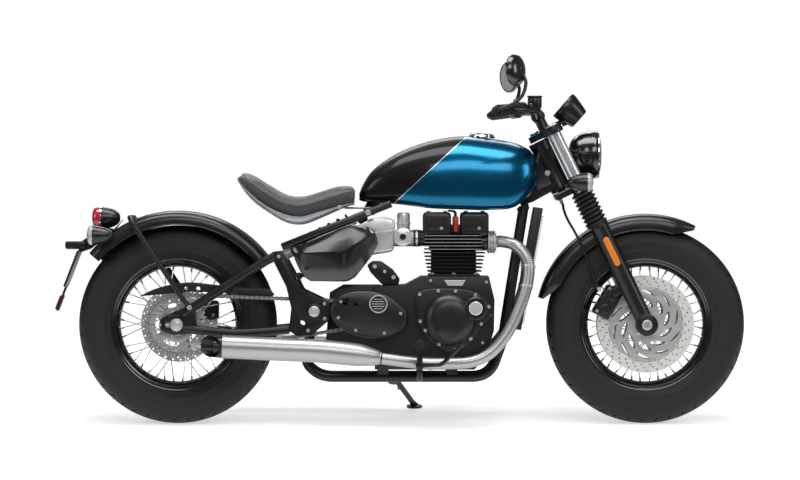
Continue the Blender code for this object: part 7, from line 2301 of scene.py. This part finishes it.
def make_rear_caliper():
    """Rear caliper with its two pins."""
    caliper = refined("rear_caliper", 0.003, "black_cast_engine")
    pins = repeated(socket_bolt(0.0050, 0.0035), [
        (Vector((x, 0.0545, z)), (0, -1, 0), 0.0) for x, z in ((-0.674, 0.376), (-0.640, 0.346))],
        "zinc_plated_steel")
    piece("rear_caliper_dressed", "chassis", [caliper, pins], ("rear_caliper",))


def make_rear_end():
    """Stay hoop, tail lamp, plate carrier, chain guard and caliper."""
    make_mudguard_stay()
    make_tail_lamp()
    make_plate_carrier()
    make_chain_guard()
    make_rear_caliper()


def make_plate_carrier():
    """Arm, blank plate on its board, plate light, red reflector and the two rear indicators."""
    arm = carrier_arm()
    slope = Vector((-0.045, 0.0, -0.116)).normalized()
    turn = (Matrix.Translation((-1.0835, 0.0, 0.510))
            @ Vector((0.0, 0.0, -1.0)).rotation_difference(slope).to_matrix().to_4x4())
    board = box((-0.0022, -0.085, -0.076), (0.0033, 0.085, 0.047), 0.0010, turn)
    blank = box((-0.0036, -0.0840, -0.0748), (-0.0024, 0.0840, 0.0458), 0.0004, turn)
    screws = repeated(socket_bolt(0.0042, 0.0014), [
        (turn @ Vector((-0.0035, y, 0.036)), turn.to_3x3() @ Vector((-1, 0, 0)), 0.0)
        for y in (-0.060, 0.060)], "zinc_plated_steel")
    light = box((-1.112, -0.028, 0.560), (-1.046, 0.028, 0.584), 0.006, segments=4)
    window = box((-1.108, -0.022, 0.5585), (-1.074, 0.022, 0.5625), 0.001)
    hanger = bar([turn @ Vector((0.0010, 0.0, -0.070)), turn @ Vector((0.0010, 0.0, -0.100)),
                  turn @ Vector((0.0040, 0.0, -0.128))], 0.0040, 4)
    holder = box((-0.0015, -0.0230, -0.158), (0.0075, 0.0230, -0.106), 0.0015, turn)
    reflector = box((-0.0065, -0.0200, -0.155), (-0.0016, 0.0200, -0.109), 0.0012, turn)
    members = [painted(arm, "satin_powder_coat"), painted(board, "moulded_black_plastic"),
               painted(blank, "satin_powder_coat"), screws, painted(light, "moulded_black_plastic"),
               painted(window, "clear_lens"), painted(reflector, "red_reflector"),
               painted(hanger, "satin_powder_coat"), painted(holder, "moulded_black_plastic"),
               painted(rod((-0.994, -0.120, 0.612), (-0.994, 0.120, 0.612), 0.0078, 24),
                       "satin_powder_coat")]
    for side in (-1, 1):
        members += bullet_lamp(-0.950, -1.036, side * 0.134, 0.604, BULLET, "clear_lens",
                               "satin_black_lacquer")
    piece("plate_carrier_dressed", "chassis", members, ("plate_carrier",))


def carrier_arm():
    """The CAD carrier's middle, between the two lamps, cut free of its board."""
    start, end, steps = math.radians(34.0), math.radians(141.0), 12
    seat = GUARD_OUTSIDE + 0.0006
    step = (end - start) / steps
    under = [(REAR_AXLE.x + seat * math.cos(end - step * k / 3),
              REAR_AXLE.z + seat * math.sin(end - step * k / 3))
             for k in (6, 5, 4, 3)]
    return plate([*under, (-1.030, 0.560), (-1.0685, 0.546), (-1.072, 0.575), (-1.030, 0.605),
                  (-1.000, 0.6235), (-0.955, 0.6235), (-0.925, 0.656)], -0.022, 0.022, bevel=0.0025)


def make_footrest(side):
    """Bent arm under the exhaust, ribbed rubber peg and the foot lever with its pad."""
    x, z, inner = 0.025, 0.259, 0.250
    start_y = 0.1153
    arm = bar([(p.x, side * p.y, p.z) for p in rounded([
        (x, start_y, 0.150), (x, inner, 0.150), (x, inner, z + 0.008)], 0.022, 8)], 0.0094, 6)
    profile = [(0.0, inner - 0.012), (0.0110, inner - 0.012), (0.0110, inner + 0.010),
               (0.0160, inner + 0.010)]
    for index in range(14):
        along = inner + 0.0125 + 0.0086 * index
        profile += [(0.0164, along), (0.0164, along + 0.0055), (0.0148, along + 0.0062),
                    (0.0148, along + 0.0080)]
    profile += [(0.0160, 0.3845), (0.0, 0.3845)]
    peg = lathe(profile, (x, 0.0, z), (0, side, 0), 32)
    lever = bar([(p.x, side * p.y, p.z) for p in rounded([
        (x, inner, 0.192), (0.095, inner + 0.012, 0.196), (0.168, inner + 0.020, 0.270)], 0.03, 8)],
        0.0068, 5)
    pad_profile = [(0.0, inner + 0.012), (0.0100, inner + 0.012), (0.0108, inner + 0.014)]
    for index in range(8):
        along = inner + 0.018 + 0.0062 * index
        pad_profile += [(0.0108, along), (0.0108, along + 0.0038), (0.0096, along + 0.0043),
                        (0.0096, along + 0.0058)]
    pad_profile += [(0.0100, inner + 0.0715), (0.0, inner + 0.0715)]
    pad = lathe(pad_profile, (0.168, 0.0, 0.270), (0, side, 0), 28)
    pivot = rod((x, side * (inner - 0.013), 0.192), (x, side * (inner + 0.014), 0.192), 0.0125, 28,
                chamfer=0.001)
    word = "left" if side > 0 else "right"
    piece("footrest_dressed_" + word, "chassis", [
        painted(arm, "satin_powder_coat"), painted(peg, "moulded_rubber"),
        painted(lever, "satin_powder_coat"),
        painted(pad, "moulded_rubber"), painted(pivot, "satin_powder_coat")], ("footrest_" + word,))


# Stage, settings, operators and panel


def make_brake_hose():
    """Rubber hose from the lower yoke to the right front caliper."""
    route = [(-0.018, -0.050, 0.4784), (-0.018, -0.050, 0.4610), (-0.0225, -0.0530, 0.445),
             (-0.0255, -0.0700, 0.412),
             (-0.022, -0.083, 0.350), (-0.024, -0.083, 0.270), (-0.030, -0.076, 0.205),
             (-0.032, -0.068, 0.1606)]
    points = [STEERING @ Vector(place) for place in route]
    hose = bar(smooth(points, 6), 0.0040, 4)
    ends = [rod(points[0], points[0] + (points[1] - points[0]).normalized() * 0.012, 0.0060, 6),
            rod(points[-1], points[-1] + (points[-2] - points[-1]).normalized() * 0.014, 0.0058, 6)]
    piece("brake_hose_dressed", "steering", [painted(hose, "moulded_rubber"),
                                             *coated("zinc_plated_steel", *ends)],
          ("brake_hose",))


def make_yokes():
    """Both fork yokes with rounded edges, pinch bolts, stem nut and clamp bolts."""
    lower = refined("lower_yoke", 0.0022, "satin_powder_coat")
    upper = refined("top_yoke", 0.0022, "satin_powder_coat")
    high = TOP_YOKE_Z + YOKE_THICKNESS / 2
    up = STEERING.to_3x3() @ Vector((0, 0, 1))
    ahead = STEERING.to_3x3() @ Vector((1, 0, 0))
    nut = repeated(hex_bolt(0.0150, 0.0090), [(STEERING @ Vector((0.0, 0.0, high - 0.0032)), up, 0.0)],
                   "chromed_steel")
    pinches = [(STEERING @ Vector((FORK_OFFSET + 0.0300, side * LEG_SPACING, z)), ahead, 0.0)
               for side in (-1, 1) for z in (TOP_YOKE_Z,)]
    clamps = [(Vector((0.406, side * 0.040 + dy, 0.985 + 0.0195)), (0, 0, 1), 0.0)
              for side in (-1, 1) for dy in (-0.008, 0.008)]
    upper_bolts = repeated(socket_bolt(0.0042, 0.0038), pinches + clamps, "zinc_plated_steel")
    lower_bolts = repeated(socket_bolt(0.0042, 0.0038), [
        (STEERING @ Vector((FORK_OFFSET + 0.0300, side * LEG_SPACING, LOWER_YOKE_Z)), ahead, 0.0)
        for side in (-1, 1)], "zinc_plated_steel")
    piece("top_yoke_dressed", "steering", [upper, nut, upper_bolts], ("top_yoke",))
    piece("lower_yoke_dressed", "steering", [lower, lower_bolts], ("lower_yoke",))


def make_electrics_box():
    """Plain box behind the side panels."""
    piece("electrics_box_dressed", "chassis", [refined("electrics_box", 0.004, "moulded_black_plastic")],
          ("electrics_box",))


def make_camera():
    """The photograph's side view, from the machine's right, level with its middle."""
    data = bpy.data.cameras.new("Camera")
    data.lens = bpy.context.scene.bobber_stage.focal_length
    data.clip_end = 60.0
    camera = bpy.data.objects.new("Camera", data)
    bpy.context.scene.collection.objects.link(camera)
    eye, target = Vector((-0.0373, -15.0, 0.681)), Vector((-0.0373, 0.0, 0.588))
    forward = (target - eye).normalized()
    right = Vector((1.0, 0.0, 0.0))
    up = right.cross(forward)
    turn = Matrix((right, up, -forward)).transposed().to_4x4()
    camera.matrix_world = PLACE @ Matrix.Translation(eye) @ turn
    bpy.context.scene.camera = camera


FLOOR_FADE_START = 1.7
FLOOR_FADE_END = 3.4
FLOOR_GLOW = 0.56
SURROUND_GLOW = 0.13


def make_floor():
    """A plain pale floor that keeps the machine's shadow and fades out into the white surround."""
    bm = bmesh.new()
    bmesh.ops.create_grid(bm, x_segments=1, y_segments=1, size=FLOOR_FADE_END)
    floor = from_bmesh(bm)
    floor.name = "studio_floor"
    made = bpy.data.materials.new("pale_studio_floor")
    made.use_nodes = True
    tree = made.node_tree
    shader = tree.nodes["Principled BSDF"]
    shader.inputs["Base Color"].default_value = linear("#dcdcdc")
    shader.inputs["Roughness"].default_value = 1.0
    shader.inputs["Specular IOR Level"].default_value = 0.0
    shader.inputs["Emission Color"].default_value = (1.0, 1.0, 1.0, 1.0)
    shader.inputs["Emission Strength"].default_value = FLOOR_GLOW
    place = add(tree, "ShaderNodeTexCoord")
    reach = add(tree, "ShaderNodeVectorMath", {"operation": "LENGTH"})
    tree.links.new(place.outputs["Object"], reach.inputs[0])
    fade = add(tree, "ShaderNodeMapRange")
    fade.inputs["From Min"].default_value = FLOOR_FADE_START
    fade.inputs["From Max"].default_value = FLOOR_FADE_END
    fade.inputs["To Min"].default_value = 1.0
    fade.inputs["To Max"].default_value = 0.0
    tree.links.new(reach.outputs["Value"], fade.inputs["Value"])
    tree.links.new(fade.outputs["Result"], shader.inputs["Alpha"])
    floor.data.materials.append(made)


def make_lights():
    """Soft panels above, beside and behind, and a white surround that only the camera sees as bright."""
    table = (
        # name, place, target, width, height, watts
        ("key panel", (0.5, -3.4, 3.0), (0.0, 0.0, 0.45), 3.4, 1.4, 66.0),
        ("top panel", (-0.2, -0.3, 3.4), (-0.1, 0.0, 0.40), 3.6, 1.5, 115.0),
        ("tail panel", (-3.6, -1.6, 1.9), (-0.4, 0.0, 0.45), 1.2, 1.8, 26.0),
        ("nose panel", (3.8, -1.4, 1.9), (0.5, 0.0, 0.50), 1.2, 1.8, 30.0),
        ("far panel", (0.0, 3.6, 2.6), (0.0, 0.0, 0.50), 3.0, 1.4, 40.0))
    for name, place, target, width, height, watts in table:
        data = bpy.data.lights.new(name, "AREA")
        data.shape = "RECTANGLE"
        data.size = width
        data.size_y = height
        data.energy = watts * bpy.context.scene.bobber_stage.light_level
        lamp = bpy.data.objects.new(name, data)
        bpy.context.scene.collection.objects.link(lamp)
        aim = (Vector(target) - Vector(place)).to_track_quat("-Z", "Y")
        lamp.matrix_world = Matrix.Translation(Vector(place)) @ aim.to_matrix().to_4x4()
    world = bpy.data.worlds.new("studio")
    bpy.context.scene.world = world
    world.use_nodes = True
    tree = world.node_tree
    tree.nodes.clear()
    path = add(tree, "ShaderNodeLightPath")
    seen = add(tree, "ShaderNodeMath", {"operation": "MAXIMUM"})
    tree.links.new(path.outputs["Is Camera Ray"], seen.inputs[0])
    tree.links.new(path.outputs["Is Transmission Ray"], seen.inputs[1])
    bright = add(tree, "ShaderNodeBackground")
    bright.inputs["Color"].default_value = (1.0, 1.0, 1.0, 1.0)
    soft = add(tree, "ShaderNodeBackground", (), Strength=SURROUND_GLOW)
    soft.inputs["Color"].default_value = (1.0, 1.0, 1.0, 1.0)
    mix = add(tree, "ShaderNodeMixShader")
    tree.links.new(seen.outputs["Value"], mix.inputs[0])
    tree.links.new(soft.outputs["Background"], mix.inputs[1])
    tree.links.new(bright.outputs["Background"], mix.inputs[2])
    out = add(tree, "ShaderNodeOutputWorld")
    tree.links.new(mix.outputs["Shader"], out.inputs["Surface"])


STEPS = ("materials", "wheels", "chain", "fork", "controls", "frame", "engine", "body", "tail", "stage")


class BobberStage(bpy.types.PropertyGroup):
    """Light and lens of the studio."""
    light_level: FloatProperty(name="Light level", description="How bright the studio's panels are",
                               default=1.0, min=0.1, max=4.0)
    focal_length: FloatProperty(name="Focal length",
                                description="Lens of the side view camera in millimetres",
                                default=210.0, min=50.0, max=400.0)


class BobberPaint(bpy.types.PropertyGroup):
    """Sizes and colours that a user would change."""
    spokes: IntProperty(name="Spokes", description="Spokes in each wheel", default=40, min=16, max=60)
    tank_blue: FloatVectorProperty(name="Tank blue", description="Brighter flakes of the tank's front",
                                   subtype="COLOR", size=3, default=linear("#007098")[:3], min=0.0, max=1.0)
    reflector_amber: FloatVectorProperty(name="Reflector amber",
                                         description="Colour of the fork's reflectors",
                                         subtype="COLOR", size=3, default=linear("#d9771e")[:3], min=0.0,
                                         max=1.0)
    spoke_radius: FloatProperty(name="Spoke radius", description="Radius of a spoke's wire", default=0.00175,
                                unit="LENGTH", min=0.001, max=0.004)


class OBJECT_OT_bobber_materials(bpy.types.Operator):
    """Makes the materials and the two node trees that the other steps use"""
    bl_idname = "object.bobber_materials"
    bl_label = "Make materials"

    def execute(self, context):
        build_repeat_group()
        build_bars_group()
        make_materials()
        return {"FINISHED"}


class OBJECT_OT_bobber_wheels(bpy.types.Operator):
    """Builds the tyres, wire wheels, discs and the rear sprocket"""
    bl_idname = "object.bobber_wheels"
    bl_label = "Build wheels"

    def execute(self, context):
        make_tyre("front_tyre", FRONT_AXLE, 0.065, "front_wheel", (-0.013, 0.0, 0.013))
        make_tyre("rear_tyre", REAR_AXLE, 0.075, "rear_wheel", (-0.015, 0.0, 0.015))
        make_wire_wheel("front_wheel", FRONT_AXLE, FRONT_HUB_HALF, 0.040, "front_wheel")
        make_wire_wheel("rear_wheel", REAR_AXLE, REAR_HUB_HALF, 0.046, "rear_wheel")
        for word, side in (("right", -1), ("left", 1)):
            make_disc("front_disc_" + word, FRONT_AXLE, side * (FRONT_HUB_HALF + 0.003), 0.155, 0.034, 10,
                      "front_wheel", side)
        make_disc("rear_disc", REAR_AXLE, REAR_HUB_HALF + 0.003, 0.124, 0.030, 5, "rear_wheel", 1)
        make_rear_sprocket()
        return {"FINISHED"}


class OBJECT_OT_bobber_chain(bpy.types.Operator):
    """Builds the roller chain round both sprockets"""
    bl_idname = "object.bobber_chain"
    bl_label = "Build chain"

    def execute(self, context):
        make_chain()
        return {"FINISHED"}


class OBJECT_OT_bobber_fork(bpy.types.Operator):
    """Builds the fork legs, both yokes and the brake hose"""
    bl_idname = "object.bobber_fork"
    bl_label = "Build fork"

    def execute(self, context):
        for side in (-1, 1):
            make_fork_leg(side)
        make_yokes()
        make_brake_hose()
        return {"FINISHED"}


class OBJECT_OT_bobber_controls(bpy.types.Operator):
    """Builds the handlebar, mirrors, headlamp, instrument and front indicators"""
    bl_idname = "object.bobber_controls"
    bl_label = "Build bar and lamps"

    def execute(self, context):
        make_handlebar()
        make_headlamp()
        make_speedometer()
        for side in (-1, 1):
            make_mirror(side)
            make_front_indicator(side)
        return {"FINISHED"}


class OBJECT_OT_bobber_frame(bpy.types.Operator):
    """Builds the neck, cradles, rear tubes, cage, swinging arms, spring and axles"""
    bl_idname = "object.bobber_frame"
    bl_label = "Build frame"

    def execute(self, context):
        make_neck()
        make_cradle(-1)
        make_cradle(1, make_stand_lug())
        make_rear_frame()
        make_shock()
        make_electrics_box()
        return {"FINISHED"}


class OBJECT_OT_bobber_engine(bpy.types.Operator):
    """Builds the crankcase, cylinders, head, covers, intake, radiator and exhausts"""
    bl_idname = "object.bobber_engine"
    bl_label = "Build engine"

    def execute(self, context):
        make_crankcase()
        make_cylinders()
        make_head()
        make_clutch_cover()
        make_sprocket_cover()
        make_intake()
        make_radiator()
        for side in (-1, 1):
            make_exhaust(side)
        return {"FINISHED"}


class OBJECT_OT_bobber_body(bpy.types.Operator):
    """Builds the tank, cap, seat, side panels and mudguards"""
    bl_idname = "object.bobber_body"
    bl_label = "Build body"

    def execute(self, context):
        make_tank()
        make_tank_cap()
        make_seat()
        for side in (-1, 1):
            make_side_panel(side)
        make_guard("front_mudguard_dressed", FRONT_AXLE, 0.353, 0.0734, 0.050, math.radians(63.0),
                   math.radians(166.0), "steering", ("front_mudguard",), 0.075)
        make_guard("rear_mudguard_dressed", REAR_AXLE, 0.363, 0.095, 0.042, math.radians(34.0),
                   math.radians(141.0), "chassis", ("rear_mudguard",), 0.0)
        return {"FINISHED"}


class OBJECT_OT_bobber_tail(bpy.types.Operator):
    """Builds the stay, tail lamps, plate carrier, chain guard, rear caliper, pegs and side stand"""
    bl_idname = "object.bobber_tail"
    bl_label = "Build tail"

    def execute(self, context):
        make_rear_end()
        for side in (-1, 1):
            make_footrest(side)
        make_side_stand()
        return {"FINISHED"}


class OBJECT_OT_bobber_stage(bpy.types.Operator):
    """Builds the floor, the lights and the camera"""
    bl_idname = "object.bobber_stage"
    bl_label = "Build stage"

    def execute(self, context):
        make_camera()
        make_floor()
        make_lights()
        context.scene.view_settings.view_transform = "Standard"
        return {"FINISHED"}


class VIEW3D_PT_bobber(bpy.types.Panel):
    """Lists the steps that build the motorcycle"""
    bl_label = "Bobber motorcycle"
    bl_idname = "VIEW3D_PT_bobber"
    bl_space_type = "VIEW_3D"
    bl_region_type = "UI"
    bl_category = "Bobber"

    def draw(self, context):
        column = self.layout.column()
        column.prop(context.scene.bobber_stage, "light_level")
        column.prop(context.scene.bobber_stage, "focal_length")
        column.prop(context.scene.bobber_paint, "spokes")
        column.prop(context.scene.bobber_paint, "spoke_radius")
        column.prop(context.scene.bobber_paint, "tank_blue")
        column.prop(context.scene.bobber_paint, "reflector_amber")
        for step in STEPS:
            column.operator("object.bobber_" + step)


CLASSES = (
    BobberStage, BobberPaint, OBJECT_OT_bobber_materials, OBJECT_OT_bobber_wheels, OBJECT_OT_bobber_chain,
    OBJECT_OT_bobber_fork, OBJECT_OT_bobber_controls, OBJECT_OT_bobber_frame, OBJECT_OT_bobber_engine,
    OBJECT_OT_bobber_body, OBJECT_OT_bobber_tail, OBJECT_OT_bobber_stage, VIEW3D_PT_bobber)


def register():
    """Adds the add-on's classes and its two groups of settings."""
    for entry in CLASSES:
        bpy.utils.register_class(entry)
    bpy.types.Scene.bobber_stage = PointerProperty(type=BobberStage)
    bpy.types.Scene.bobber_paint = PointerProperty(type=BobberPaint)


def unregister():
    """Takes them away again."""
    del bpy.types.Scene.bobber_paint
    del bpy.types.Scene.bobber_stage
    for entry in reversed(CLASSES):
        bpy.utils.unregister_class(entry)


def main():
    """Builds every part in turn."""
    register()
    bpy.ops.object.bobber_materials()
    bpy.ops.object.bobber_wheels()
    bpy.ops.object.bobber_chain()
    bpy.ops.object.bobber_fork()
    bpy.ops.object.bobber_controls()
    bpy.ops.object.bobber_frame()
    bpy.ops.object.bobber_engine()
    bpy.ops.object.bobber_body()
    bpy.ops.object.bobber_tail()
    bpy.ops.object.bobber_stage()


if __name__ == "__main__":
    main()
